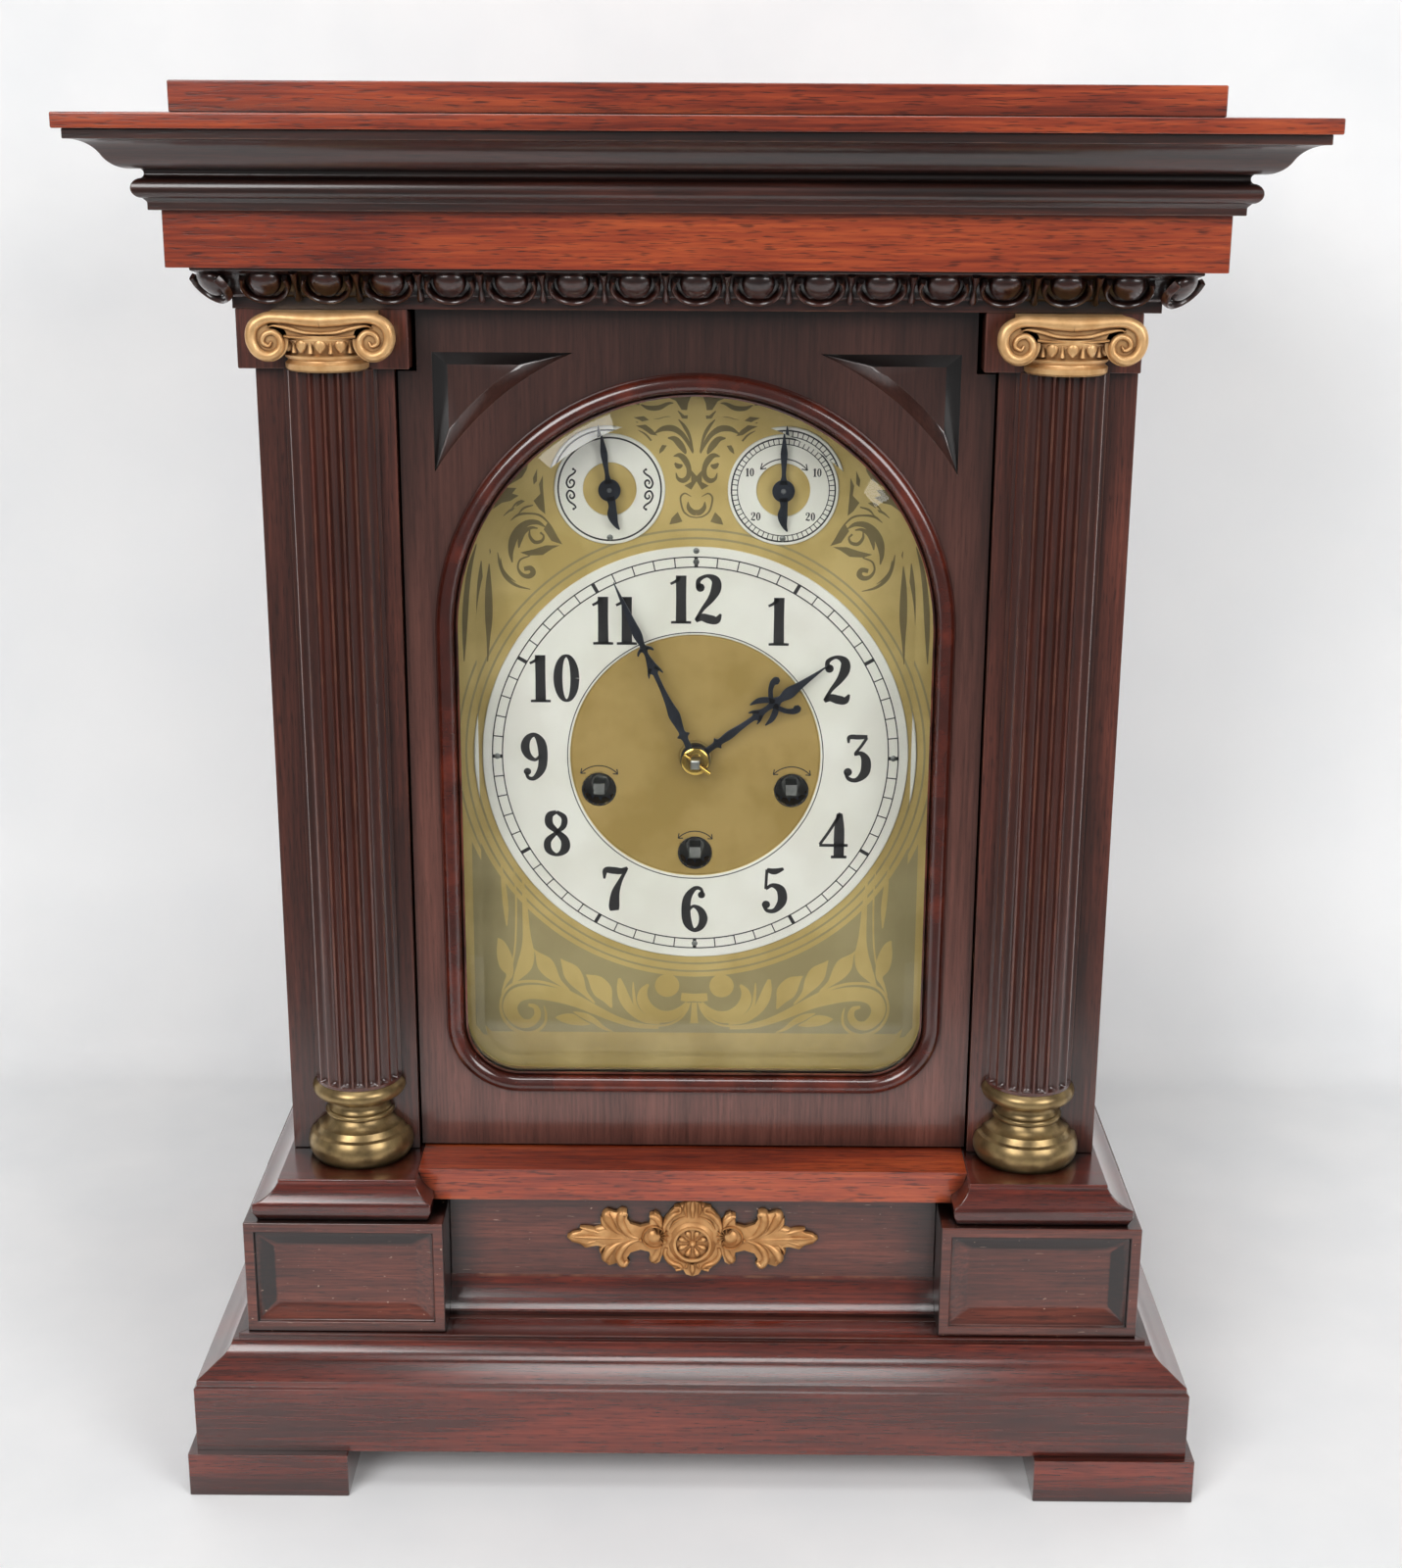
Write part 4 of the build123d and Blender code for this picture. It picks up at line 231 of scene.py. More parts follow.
@dataclass(frozen=True)
class Mahogany:
    """Mahogany, stained and French polished, so that fine dark pores lie under a thin gloss.

    The eye sees a dark red-brown ribbon, short pores along the grain and rubbed, paler arrises; recesses are
    darkened with painted shade.
    Ranges are shares at which a mask begins and ends.
    """

    name: str
    deep: str
    middle: str
    pale: str
    grain: Grain = Grain.X
    roughness: float = 0.30
    polish: float = 0.8
    polish_roughness: float = 0.15
    stain_places: Spot = (0.36, 0.50, 0.66)
    ribbon_mm: Span = (150.0, 17.0)
    fibre_mm: Span = (30.0, 1.1)
    # Pores are about 0.2 mm across; they are drawn wider so that they show
    pore_mm: Span = (6.0, 0.45)
    pore: str = "#120605"
    pore_range: Span = (0.56, 0.70)
    pore_share: float = 0.5
    relief_mm: float = 0.05
    worn: str = "#8d5a3e"
    wear: float = 0.55
    wear_mm: Spot = (9.0, 9.0, 9.0)
    wear_range: Span = (0.40, 0.62)
    arris_mm: float = 0.7
    arris_range: Span = (0.82, 0.985)
    # Painted shade in the recesses that ambient occlusion finds: its colour, reach and range
    grime: str = "#505050"
    grime_mm: float = 9.0
    grime_range: Span = (0.25, 0.8)
    # Painted shade on the slopes that look down or towards the middle, if a colour is given
    lee: str = ""
    lee_range: Span = (0.34, 0.46)
    # Painted shadow towards the top: its colour, and the heights over which it deepens
    smoke: str = "#9c9c9c"
    smoke_mm: Span | None = None
    scuff: str = "#b99a86"
    scuffs: float = 0.0
    speck_mm: Spot = (1.6, 1.6, 1.2)
    speck_range: Span = (0.735, 0.77)
    scratch_mm: Spot = (7.0, 7.0, 0.5)
    scratch_range: Span = (0.73, 0.77)

    def along(self, sizes: Span) -> Spot:
        """Gives sizes per axis from the size along and across the grain."""
        spread = [sizes[1]] * 3
        spread[self.grain.value] = sizes[0]
        return tuple(spread)

    def material(self) -> bpy.types.Material:
        """Builds the material.

        Returns:
            The material.
        """
        shader = {"Roughness": self.roughness, "Coat Weight": self.polish,
                  "Coat Roughness": self.polish_roughness}
        material, tree, principled = new_material(self.name, shader)
        ribbon = stretched_noise(tree, self.along(self.ribbon_mm), 2.0)
        fibre = stretched_noise(tree, self.along(self.fibre_mm), 4.0)
        pores = stretched_noise(tree, self.along(self.pore_mm), 1.0)
        figure = add_node(tree, "Math", PLUS, {0: ribbon, 1: fibre})
        half = add_node(tree, "Math", TIMES, {0: figure, 1: 0.5})
        stain = add_node(tree, "ValToRGB",
                         {"stops": list(zip(self.stain_places, (self.deep, self.middle, self.pale)))},
                         {"Fac": half.outputs[0]})
        pore_mask = add_node(tree, "ValToRGB", {"stops": mask(self.pore_range)}, {"Fac": pores})
        pore_part = add_node(tree, "Math", TIMES, {0: pore_mask, 1: self.pore_share})
        pored = add_node(tree, "Mix", BLEND, {0: pore_part, 6: stain, 7: linear(self.pore)})
        colour = self.edge_wear(tree, pored.outputs[2])
        # Painted shade on the slopes and painted shadow at the top, for the finishes that have them
        if self.lee:
            colour = self.sheltered(tree, colour)
        if self.smoke_mm:
            colour = self.smoked(tree, colour)
        if self.scuffs:
            colour = self.scuffed(tree, colour)
        tree.links.new(colour, principled.inputs["Base Color"])
        relief = add_node(tree, "Math", {"operation": "SUBTRACT"}, {0: fibre, 1: pore_part})
        bump = add_node(tree, "Bump", None,
                        {"Height": relief, "Distance": self.relief_mm * MM, "Strength": 0.5})
        tree.links.new(bump.outputs[0], principled.inputs["Normal"])
        return material

    def edge_wear(self, tree: bpy.types.NodeTree, colour: bpy.types.NodeSocket) -> bpy.types.NodeSocket:
        """Rubs the stain through at the arrises and darkens the recesses with painted shade.

        Args:
            tree: the material's node tree.
            colour: the colour so far.

        Returns:
            The colour with worn edges and painted shade in the recesses.
        """
        rounded = add_node(tree, "Bevel", {"samples": 4}, {"Radius": self.arris_mm * MM})
        flat = add_node(tree, "NewGeometry")
        same = add_node(tree, "VectorMath", {"operation": "DOT_PRODUCT"},
                        {0: rounded, 1: flat.outputs["Normal"]})
        edge = add_node(tree, "ValToRGB", {"stops": mask(self.arris_range, WHITE, BLACK)},
                        {"Fac": same.outputs["Value"]})
        patches = stretched_noise(tree, self.wear_mm, 4.0)
        patchy = add_node(tree, "ValToRGB", {"stops": mask(self.wear_range)}, {"Fac": patches})
        amount = add_node(tree, "Math", TIMES, {0: edge, 1: patchy})
        amount = add_node(tree, "Math", TIMES, {0: amount, 1: self.wear})
        rubbed = add_node(tree, "Mix", BLEND, {0: amount, 6: colour, 7: linear(self.worn)})
        # Painted shade: the colour darkens where ambient occlusion finds a recess
        open_air = add_node(tree, "AmbientOcclusion", {"samples": 4}, {"Distance": self.grime_mm * MM})
        grime = add_node(tree, "ValToRGB", {"stops": mask(self.grime_range, self.grime)},
                         {"Fac": open_air.outputs["AO"]})
        shaded_colour = add_node(tree, "Mix", DARKEN, {0: 1.0, 6: rubbed.outputs[2], 7: grime})
        return shaded_colour.outputs[2]

    def sheltered(self, tree: bpy.types.NodeTree, colour: bpy.types.NodeSocket) -> bpy.types.NodeSocket:
        """Paints shade on the slopes that look down or towards the middle.

        Args:
            tree: the material's node tree.
            colour: the colour so far.

        Returns:
            The colour with the painted shade on the slopes.
        """
        lie = add_node(tree, "TexCoord")
        facing = add_node(tree, "SeparateXYZ", None, {0: lie.outputs["Normal"]})
        spot = add_node(tree, "SeparateXYZ", None, {0: lie.outputs["Object"]})
        side = add_node(tree, "Math", {"operation": "SIGN"}, {0: spot})
        outward = add_node(tree, "Math", TIMES, {0: facing, 1: side})
        least = add_node(tree, "Math", {"operation": "MINIMUM"}, {0: outward, 1: facing.outputs[2]})
        # From -1 to 1 becomes 0 to 1
        share = add_node(tree, "Math", {"operation": "MULTIPLY_ADD"}, {0: least, 1: 0.5, 2: 0.5})
        shade = add_node(tree, "ValToRGB", {"stops": mask(self.lee_range, self.lee)}, {"Fac": share})
        mixed = add_node(tree, "Mix", DARKEN, {0: 1.0, 6: colour, 7: shade})
        return mixed.outputs[2]

    def smoked(self, tree: bpy.types.NodeTree, colour: bpy.types.NodeSocket) -> bpy.types.NodeSocket:
        """Darkens the wood towards the top with painted shadow, for the shade under the cornice.

        Args:
            tree: the material's node tree.
            colour: the colour so far.

        Returns:
            The colour with the painted shadow at the top.
        """
        low, high = self.smoke_mm
        spot = add_node(tree, "SeparateXYZ", None, {0: add_node(tree, "TexCoord").outputs["Object"]})
        share = add_node(tree, "MapRange", None,
                         {"Value": spot.outputs[2], "From Min": low * MM, "From Max": high * MM})
        mixed = add_node(tree, "Mix", DARKEN, {0: share, 6: colour, 7: linear(self.smoke)})
        return mixed.outputs[2]

    def scuffed(self, tree: bpy.types.NodeTree, colour: bpy.types.NodeSocket) -> bpy.types.NodeSocket:
        """Adds pale specks and short scratches.

        Args:
            tree: the material's node tree.
            colour: the colour so far.

        Returns:
            The colour with scuffs.
        """
        specks = stretched_noise(tree, self.speck_mm, 2.0)
        speck_mask = add_node(tree, "ValToRGB", {"stops": mask(self.speck_range)}, {"Fac": specks})
        lines = stretched_noise(tree, self.scratch_mm, 2.0)
        line_mask = add_node(tree, "ValToRGB", {"stops": mask(self.scratch_range)}, {"Fac": lines})
        both = add_node(tree, "Math", {"operation": "MAXIMUM"}, {0: speck_mask, 1: line_mask})
        part = add_node(tree, "Math", TIMES, {0: both, 1: self.scuffs})
        mixed = add_node(tree, "Mix", BLEND, {0: part, 6: colour, 7: linear(self.scuff)})
        return mixed.outputs[2]


@dataclass(frozen=True)
class Brass:
    """Brass or another bare metal: bright where it is rubbed and dark in its recesses.

    Cast brass has a grainy skin, spun brass is smooth, and lacquer turned copper-gold with age.
    """

    name: str
    bright: str
    dull: str
    recess: str
    roughness: float = 0.30
    grit_mm: float = 0.5
    grit_depth_mm: float = 0.03
    tone_mm: float = 6.0
    tone_range: Span = (0.38, 0.62)
    recess_mm: float = 2.5
    recess_range: Span = (0.35, 0.85)
    metallic: float = 1.0

    def material(self) -> bpy.types.Material:
        """Builds the material.

        Returns:
            The material.
        """
        material, tree, principled = new_material(self.name, {"Metallic": self.metallic,
                                                              "Roughness": self.roughness})
        tone = stretched_noise(tree, (self.tone_mm,) * 3, 4.0)
        skin = add_node(tree, "ValToRGB", {"stops": mask(self.tone_range, self.dull, self.bright)},
                        {"Fac": tone})
        open_air = add_node(tree, "AmbientOcclusion", {"samples": 4}, {"Distance": self.recess_mm * MM})
        hollow = add_node(tree, "ValToRGB", {"stops": mask(self.recess_range, WHITE, BLACK)},
                          {"Fac": open_air.outputs["AO"]})
        colour = add_node(tree, "Mix", BLEND, {0: hollow, 6: skin, 7: linear(self.recess)})
        tree.links.new(colour.outputs[2], principled.inputs["Base Color"])
        grit = stretched_noise(tree, (self.grit_mm,) * 3, 2.0)
        bump = add_node(tree, "Bump", None,
                        {"Height": grit, "Distance": self.grit_depth_mm * MM, "Strength": 0.6})
        tree.links.new(bump.outputs[0], principled.inputs["Normal"])
        return material


@dataclass(frozen=True)
class DialSurface:
    """Sheet of a dial: lacquered or silvered brass with a fine even grain and a little tarnish."""

    name: str
    clean: str
    tarnish: str
    metallic: float
    roughness: float
    grain_mm: float = 0.5
    grain_depth_mm: float = 0.012
    tarnish_mm: float = 22.0
    tarnish_range: Span = (0.40, 0.58)
    specks: float = 0.0
    speck: str = "#6b5f49"
    speck_mm: Spot = (0.9, 0.9, 0.9)
    speck_range: Span = (0.70, 0.76)

    def material(self) -> bpy.types.Material:
        """Builds the material.

        Returns:
            The material.
        """
        material, tree, principled = new_material(self.name, {"Metallic": self.metallic,
                                                              "Roughness": self.roughness})
        clouds = stretched_noise(tree, (self.tarnish_mm,) * 3, 5.0)
        colour = add_node(tree, "ValToRGB", {"stops": mask(self.tarnish_range, self.tarnish, self.clean)},
                          {"Fac": clouds}).outputs[0]
        if self.specks:
            dots = stretched_noise(tree, self.speck_mm, 2.0)
            spotted = add_node(tree, "ValToRGB", {"stops": mask(self.speck_range)}, {"Fac": dots})
            part = add_node(tree, "Math", TIMES,
                            {0: spotted.outputs[0], 1: self.specks})
            colour = add_node(tree, "Mix", BLEND,
                              {0: part.outputs[0], 6: colour, 7: linear(self.speck)}).outputs[2]
        tree.links.new(colour, principled.inputs["Base Color"])
        grain = stretched_noise(tree, (self.grain_mm,) * 3, 2.0)
        bump = add_node(tree, "Bump", None,
                        {"Height": grain, "Distance": self.grain_depth_mm * MM, "Strength": 0.5})
        tree.links.new(bump.outputs[0], principled.inputs["Normal"])
        return material


@dataclass(frozen=True)
class PlateGlass:
    """Plate glass with ground bevels: clear, polished, bending what lies behind its slopes.

    Light passes it straight to what lies behind, so that the dial isn't left in the pane's shadow.
    """

    name: str = "plate_glass"
    bending: float = 1.52
    glint: tuple[float, float, float, float] = (0.6, 0.6, 0.6, 1.0)
    smear: str = "#fafbf8"
    smear_mm: Spot = (40.0, 40.0, 25.0)
    smear_range: Span = (0.3, 0.7)
    passed: str = "#c0c2c0"

    def material(self) -> bpy.types.Material:
        """Builds the material.

        Returns:
            The material.
        """
        shader = {"Roughness": 0.0, "IOR": self.bending, "Transmission Weight": 1.0,
                  "Specular Tint": self.glint}
        material, tree, principled = new_material(self.name, shader)
        smears = stretched_noise(tree, self.smear_mm, 3.0)
        film = add_node(tree, "ValToRGB", {"stops": mask(self.smear_range, self.smear)}, {"Fac": smears})
        tree.links.new(film.outputs[0], principled.inputs["Base Color"])
        path = add_node(tree, "LightPath")
        clear = add_node(tree, "BsdfTransparent", None, {"Color": linear(self.passed)})
        both = add_node(tree, "MixShader", None,
                        {0: path.outputs["Is Shadow Ray"], 1: principled, 2: clear})
        tree.links.new(both.outputs[0], tree.nodes["Material Output"].inputs["Surface"])
        return material


class Finishes:
    """Every finish of the clock, each built once."""

    def __init__(self) -> None:
        """Builds the materials."""
        # Sides, pilasters and flat boards: dark brown-red, with the grain along each board
        self.dark = {grain: Mahogany(f"mahogany_{grain.name.lower()}", "#331a14", "#4f281f", "#6c382c",
                                     grain).material() for grain in Grain}
        # Cornice, its carving and the architrave: a darker copy of the wood, nearly black, painting the shade
        # under the cornice
        self.cornice = Mahogany("shaded_cornice_mahogany_x", "#200e0a", "#371912", "#50261c", Grain.X).material()
        # Frieze, top and shelf: bleached by the light to a warm red
        self.red = Mahogany("red_mahogany_x", "#601c0c", "#913619", "#b95327", Grain.X,
                            pore_share=0.65).material()
        # Pedestals and plinth: greyed by dust and hands, scratched, with painted shade black in their corners
        # and on their downward and inward slopes
        self.rubbed = Mahogany("rubbed_mahogany_x", "#3c1912", "#5c2a1e", "#7c3d2d", Grain.X, scuffs=0.7,
                               lee="#5a5a5a", grime="#1f1b1a", grime_mm=14.0,
                               grime_range=(0.5, 0.97)).material()
        # Base and caps: the glossiest wood, with bright worn edges over hollows darkened by painted shade
        self.base = Mahogany("base_mahogany_x", "#36110b", "#551d13", "#7d2f1e", Grain.X, roughness=0.26,
                             polish=1.0, grime="#24201f", grime_mm=12.0, grime_range=(0.45, 0.95)).material()
        # Bead of the door: turned round the opening, so that its figure has no direction
        self.bead = Mahogany("bead_mahogany", "#32130d", "#461a11", "#69291a", Grain.X, roughness=0.2,
                             ribbon_mm=(60.0, 60.0), fibre_mm=(9.0, 9.0), pore_share=0.2).material()
        # Front of the door: a plainer, browner veneer, with painted shadow towards the top and painted shade
        # on its downward and inward slopes and in its recesses
        self.door = Mahogany("door_mahogany", "#4e2e26", "#643c33", "#794b40", Grain.Z, pore_share=0.25,
                             lee="#404040", smoke_mm=(210.0, 370.0), grime="#2a1d1a", grime_mm=16.0,
                             grime_range=(0.35, 0.85)).material()
        # Columns: even, with flutes darkened by painted shade
        self.fluted = Mahogany("column_mahogany", "#3f2019", "#4f271e", "#602f24", Grain.Z, pore_share=0.25,
                               grime="#2c2c2c", grime_mm=5.0, grime_range=(0.35, 0.9)).material()
        # Rails inside the case: matt, pale softwood
        self.pine = Mahogany("stained_pine", "#6b4a2c", "#8a6540", "#a9845a", Grain.X, roughness=0.6,
                             worn="#c7a77c").material()
        # Capitals: pale gold with a soft sheen and brown recesses
        self.cast = Brass("cast_brass", "#ecc088", "#d5a46c", "#855c38", 0.42, metallic=0.5).material()
        # Mount: copper-gold, dark round its scrolls
        self.ormolu = Brass("gilt_cast_brass", "#dca970", "#c08a54", "#633d1e", 0.42, recess_mm=1.6,
                            metallic=0.55).material()
        # Column bases and hinges: olive, smooth and tarnished
        self.spun = Brass("spun_brass", "#a58c60", "#7d6948", "#40301d", 0.33, grit_depth_mm=0.01,
                          metallic=0.8).material()
        # Washer and pin of the hands: the only mirror-bright yellow
        self.bright = Brass("bright_brass", "#e2c169", "#c9a24a", "#6b4c1c", 0.2,
                            grit_depth_mm=0.005).material()
        # Wheels, plates and pendulum: brushed yellow
        self.works = Brass("movement_brass", "#cfae68", "#b08c48", "#5a4220", 0.3).material()
        # Turned steel is bright, the filed squares are paler and duller, the screws are darker
        self.steel = Brass("turned_steel", "#b9bcc0", "#8d9196", "#33363a", 0.25).material()
        self.square = Brass("square_steel", "#c4c6c2", "#a5a7a3", "#3c3d3d", 0.35).material()
        self.screw = Brass("screw_steel", "#8f9290", "#6f716f", "#2b2c2c", 0.4).material()
        # Hands: nearly black with a blue glint
        self.blued = Brass("blued_steel", "#343945", "#272b34", "#14161b", 0.35, metallic=0.6).material()
        # Plate and the matted disc in the ring: pale yellow and a deeper, duller yellow
        self.plate = DialSurface("lacquered_dial_brass", "#d6bd7a", "#c3a966", 0.35, 0.45,
                                 specks=0.15).material()
        self.centre = DialSurface("matted_dial_brass", "#b69a5c", "#a88c4c", 0.3, 0.55,
                                  specks=0.25).material()
        # Etched lines and the etched ground: olive, darker than the plate and matt
        self.etched = DialSurface("etched_dial_brass", "#80714a", "#73643e", 0.2, 0.65).material()
        self.ground = DialSurface("matted_ground_brass", "#aa9c70", "#9d8f63", 0.2, 0.6).material()
        # Rings: cream white, hardly metallic
        self.silver = DialSurface("silvered_brass", "#f2f1e8", "#ebe9df", 0.05, 0.5, specks=0.12).material()
        # Figures and tracks: black filling, neither glossy nor dead matt
        self.ink = DialSurface("black_wax", "#1c1b1d", "#242325", 0.0, 0.5).material()
        # Pane: clear, with bright slopes at its bevels
        self.glass = PlateGlass().material()


# Mesh making


@dataclass
class Place:
    """Where flat drawings are laid: an origin with directions across, up and out of the surface."""

    origin: Spot
    across: Spot = (1.0, 0.0, 0.0)
    up: Spot = (0.0, 0.0, 1.0)
    out: Spot = (0.0, -1.0, 0.0)

    def at(self, local: np.ndarray) -> np.ndarray:
        """Moves local points, as (across, up, out), to the clock's frame."""
        axes = np.array([self.across, self.up, self.out], float)
        return np.array(self.origin, float) + np.asarray(local, float) @ axes

    def moved(self, across: float, up: float) -> Place:
        """Gives the same directions at another spot of the surface."""
        return Place(tuple(self.at(np.array([across, up, 0.0]))), self.across, self.up, self.out)


class Shape:
    """Points and faces in millimetres, gathered before they become one object."""

    def __init__(self) -> None:
        """Starts empty."""
        self.points: list[np.ndarray] = []
        self.faces: list[tuple[int, ...]] = []
        self.total = 0

    def add(self, points: np.ndarray, faces: list[tuple[int, ...]]) -> None:
        """Adds points and the faces between them."""
        self.points.append(np.asarray(points, float).reshape(-1, 3))
        self.faces += [tuple(int(i) + self.total for i in face) for face in faces]
        self.total += len(self.points[-1])

    def grid(self, rows: np.ndarray, around: bool = True, closed: bool = False, caps: bool = True) -> None:
        """Adds a skin over rows of points.

        Args:
            rows: points, as rows by columns by three.
            around: whether each row closes on itself.
            closed: whether the last row joins the first.
            caps: whether the first and last rows are filled.
        """
        rows = np.asarray(rows, float)
        count, width = rows.shape[:2]
        faces = []
        for i in range(count if closed else count - 1):
            for j in range(width if around else width - 1):
                k, m = (i + 1) % count, (j + 1) % width
                faces.append((i * width + j, i * width + m, k * width + m, k * width + j))
        if caps and not closed:
            faces.append(tuple(range(width - 1, -1, -1)))
            faces.append(tuple((count - 1) * width + j for j in range(width)))
        self.add(rows.reshape(-1, 3), faces)

    def lathe(self, profile: list[Point], place: Place, turn: Span = (0.0, 360.0), steps: int = 64) -> None:
        """Turns an outline round the out axis of a place.

        Args:
            profile: closed outline as (radius, height along the axis).
            place: origin and axes; the axis is its out direction.
            turn: first and last angle in degrees.
            steps: pieces of the turn.
        """
        whole = abs(turn[1] - turn[0]) >= 360
        angles = np.radians(np.linspace(*turn, steps + 1))
        if whole:
            angles = angles[:-1]
        reach, height = np.array(profile, float).T
        rows = [np.column_stack([reach * math.cos(a), reach * math.sin(a), height]) for a in angles]
        self.grid(place.at(np.array(rows)), closed=whole, caps=not whole)

    def mirror(self) -> None:
        """Adds the mirror image across the middle of the clock."""
        points = np.concatenate(self.points)
        flipped = points * np.array([-1.0, 1.0, 1.0])
        self.add(flipped, [tuple(reversed(face)) for face in list(self.faces)])


def make_piece(name: str, shape: Shape, material: bpy.types.Material, body: Body,
               replaces: tuple[str, ...] = (), smooth_deg: float = 35.0,
               arris_mm: float = 0.0) -> bpy.types.Object:
    """Makes an object of a shape, dresses it and lets it ride.

    Args:
        name: name of the piece.
        shape: its points and faces.
        material: its finish.
        body: the body that it rides on.
        replaces: CAD nodes that it stands for.
        smooth_deg: angle under which edges are smooth.
        arris_mm: width of the bevel on its sharp edges.

    Returns:
        The object.
    """
    mesh = bpy.data.meshes.new(name)
    mesh.from_pydata((np.concatenate(shape.points) * MM).tolist(), [], shape.faces)
    work = bmesh.new()
    work.from_mesh(mesh)
    bmesh.ops.remove_doubles(work, verts=work.verts, dist=PIECE_WELD_MM * MM)
    bmesh.ops.recalc_face_normals(work, faces=work.faces)
    work.to_mesh(mesh)
    work.free()
    mesh.shade_smooth()
    mesh.set_sharp_from_angle(angle=math.radians(smooth_deg))
    mesh.materials.append(material)
    piece = bpy.data.objects.new(name, mesh)
    bpy.context.scene.collection.objects.link(piece)
    if arris_mm:
        bevel = piece.modifiers.new("arris", "BEVEL")
        bevel.width = arris_mm * MM
        bevel.segments = ARRIS_STEPS
        bevel.angle_limit = math.radians(PIECE_EDGE_DEG)
    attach(piece, body.value)
    for node in replaces:
        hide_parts(node)
    log.info("%s: %d faces on %s", name, len(mesh.polygons), body.value)
    return piece


def arc_through(start: Point, middle: Point, end: Point, steps: int = 12) -> list[Point]:
    """Gives points on the arc through three points, without the first.

    Args:
        start: first point.
        middle: a point on the way.
        end: last point.
        steps: pieces of the arc.

    Returns:
        The points after the start.
    """
    (ax, ay), (bx, by), (cx, cy) = start, middle, end
    d = 2 * (ax * (by - cy) + bx * (cy - ay) + cx * (ay - by))
    a2, b2, c2 = ax * ax + ay * ay, bx * bx + by * by, cx * cx + cy * cy
    ux = (a2 * (by - cy) + b2 * (cy - ay) + c2 * (ay - by)) / d
    uy = (a2 * (cx - bx) + b2 * (ax - cx) + c2 * (bx - ax)) / d
    radius = math.hypot(ax - ux, ay - uy)
    first, via, last = (math.atan2(y - uy, x - ux) for x, y in (start, middle, end))
    sweep = (last - first) % math.tau
    if (via - first) % math.tau > sweep:
        sweep -= math.tau
    turns = [first + sweep * (i + 1) / steps for i in range(steps)]
    return [(ux + radius * math.cos(t), uy + radius * math.sin(t)) for t in turns]


def outline(shares: Outline, depth: float, height: float) -> list[Point]:
    """Gives a moulding's outline in real sizes: one pair is a straight run, two are an arc.

    Args:
        shares: steps as shares of the depth and the height.
        depth: reach of the moulding.
        height: height of the moulding.

    Returns:
        Points as (reach, height).
    """
    points = [(shares[0][0][0] * depth, shares[0][0][1] * height)]
    for step in shares[1:]:
        real = [(across * depth, up * height) for across, up in step]
        points += real if len(real) == 1 else arc_through(points[-1], *real)
    return points


@dataclass(frozen=True)
class Stroke:
    """A drawn line of changing width: flat as ink or sheet, or round as cast relief."""

    points: tuple[Knot, ...]
    steps: int = 6

    def samples(self) -> np.ndarray:
        """Gives the smooth line through the points; a line of two points is straight.

        Returns:
            Rows of (across, up, half width).
        """
        knots = np.array(self.points, float)
        if len(knots) == 2:
            ends = np.linspace(0, 1, self.steps)[:, None]
            return knots[0] * (1 - ends) + knots[1] * ends
        padded = np.vstack([2 * knots[0] - knots[1], knots, 2 * knots[-1] - knots[-2]])
        line = []
        for i in range(len(knots) - 1):
            a, b, c, d = padded[i:i + 4]
            for t in np.linspace(0, 1, self.steps, endpoint=False):
                line.append(0.5 * (2 * b + (c - a) * t + (2 * a - 5 * b + 4 * c - d) * t * t
                                   + (3 * b - a - 3 * c + d) * t ** 3))
        line.append(knots[-1])
        return np.array(line)

    def draw(self, shape: Shape, place: Place, scale: float = 1.0, height: float = 0.05,
             section: Section = Section.FLAT) -> None:
        """Adds the stroke to a shape.

        Args:
            shape: the shape.
            place: surface that it is laid on.
            scale: size of one unit of the drawing.
            height: how far it stands out.
            section: flat or round.
        """
        line = self.samples()
        line[:, :2] *= scale
        half = np.maximum(line[:, 2] * scale, LEAST_HALF_MM)
        course = np.gradient(line[:, :2], axis=0)
        course /= np.maximum(np.linalg.norm(course, axis=1), 1e-9)[:, None]
        side = np.column_stack([-course[:, 1], course[:, 0]])
        if section is Section.FLAT:
            ring = [(-1, 0), (-1, 1), (1, 1), (1, 0)]
        else:
            turns = np.linspace(math.pi, 0, section.value)
            ring = [(math.cos(t), math.sin(t)) for t in turns]
        widest = half.max()
        rows = []
        for spot, normal, width in zip(line[:, :2], side, half):
            rise = height if section is Section.FLAT else height * math.sqrt(width / widest)
            rows.append([(*(spot + normal * width * t), rise * h) for t, h in ring])
        shape.grid(place.at(np.array(rows)))


def dot(shape: Shape, place: Place, spot: Point, radius: float, height: float = 0.05,
        section: Section = Section.FLAT, steps: int = 20) -> None:
    """Adds a round dot, flat or domed, to a shape.

    Args:
        shape: the shape.
        place: surface that it is laid on.
        spot: its middle on the surface.
        radius: its radius.
        height: how far it stands out.
        section: flat or round.
        steps: sides of its rim.
    """
    if section is Section.FLAT:
        profile = [(0.0, 0.0), (radius, 0.0), (radius, height), (0.0, height)]
    else:
        dome = np.linspace(0, math.pi / 2, 6)
        profile = [(0.0, 0.0)] + [(radius * math.cos(t), height * math.sin(t)) for t in dome]
    shape.lathe(profile, place.moved(*spot), steps=steps)


# The case


@dataclass
class CaseWood:
    """Boards of the case: the CAD boards with soft arrises, each in its wood."""

    finishes: Finishes
    arris_mm: float = 0.45

    def build(self) -> None:
        """Dresses each board."""
        wood = self.finishes
        boards = (
            (wood.base, ("block_feet", "base_mouldings", "pedestal_caps")),
            (wood.dark[Grain.X], ("base_board",)),
            (wood.dark[Grain.Z], ("case_sides", "pilasters", "glass_strip", "back_frame", "back_door")),
            (wood.rubbed, ("pedestals", "plinth_boards")),
            (wood.red, ("shelf_board", "frieze_boards", "top_board", "crown_block")),
            (wood.cornice, ("architrave_board", "cornice")),
            (wood.door, ("door_frame",)),
            (wood.pine, ("seat_rails",)),
        )
        for material, names in boards:
            for name in names:
                dress_node(name, material, self.arris_mm)


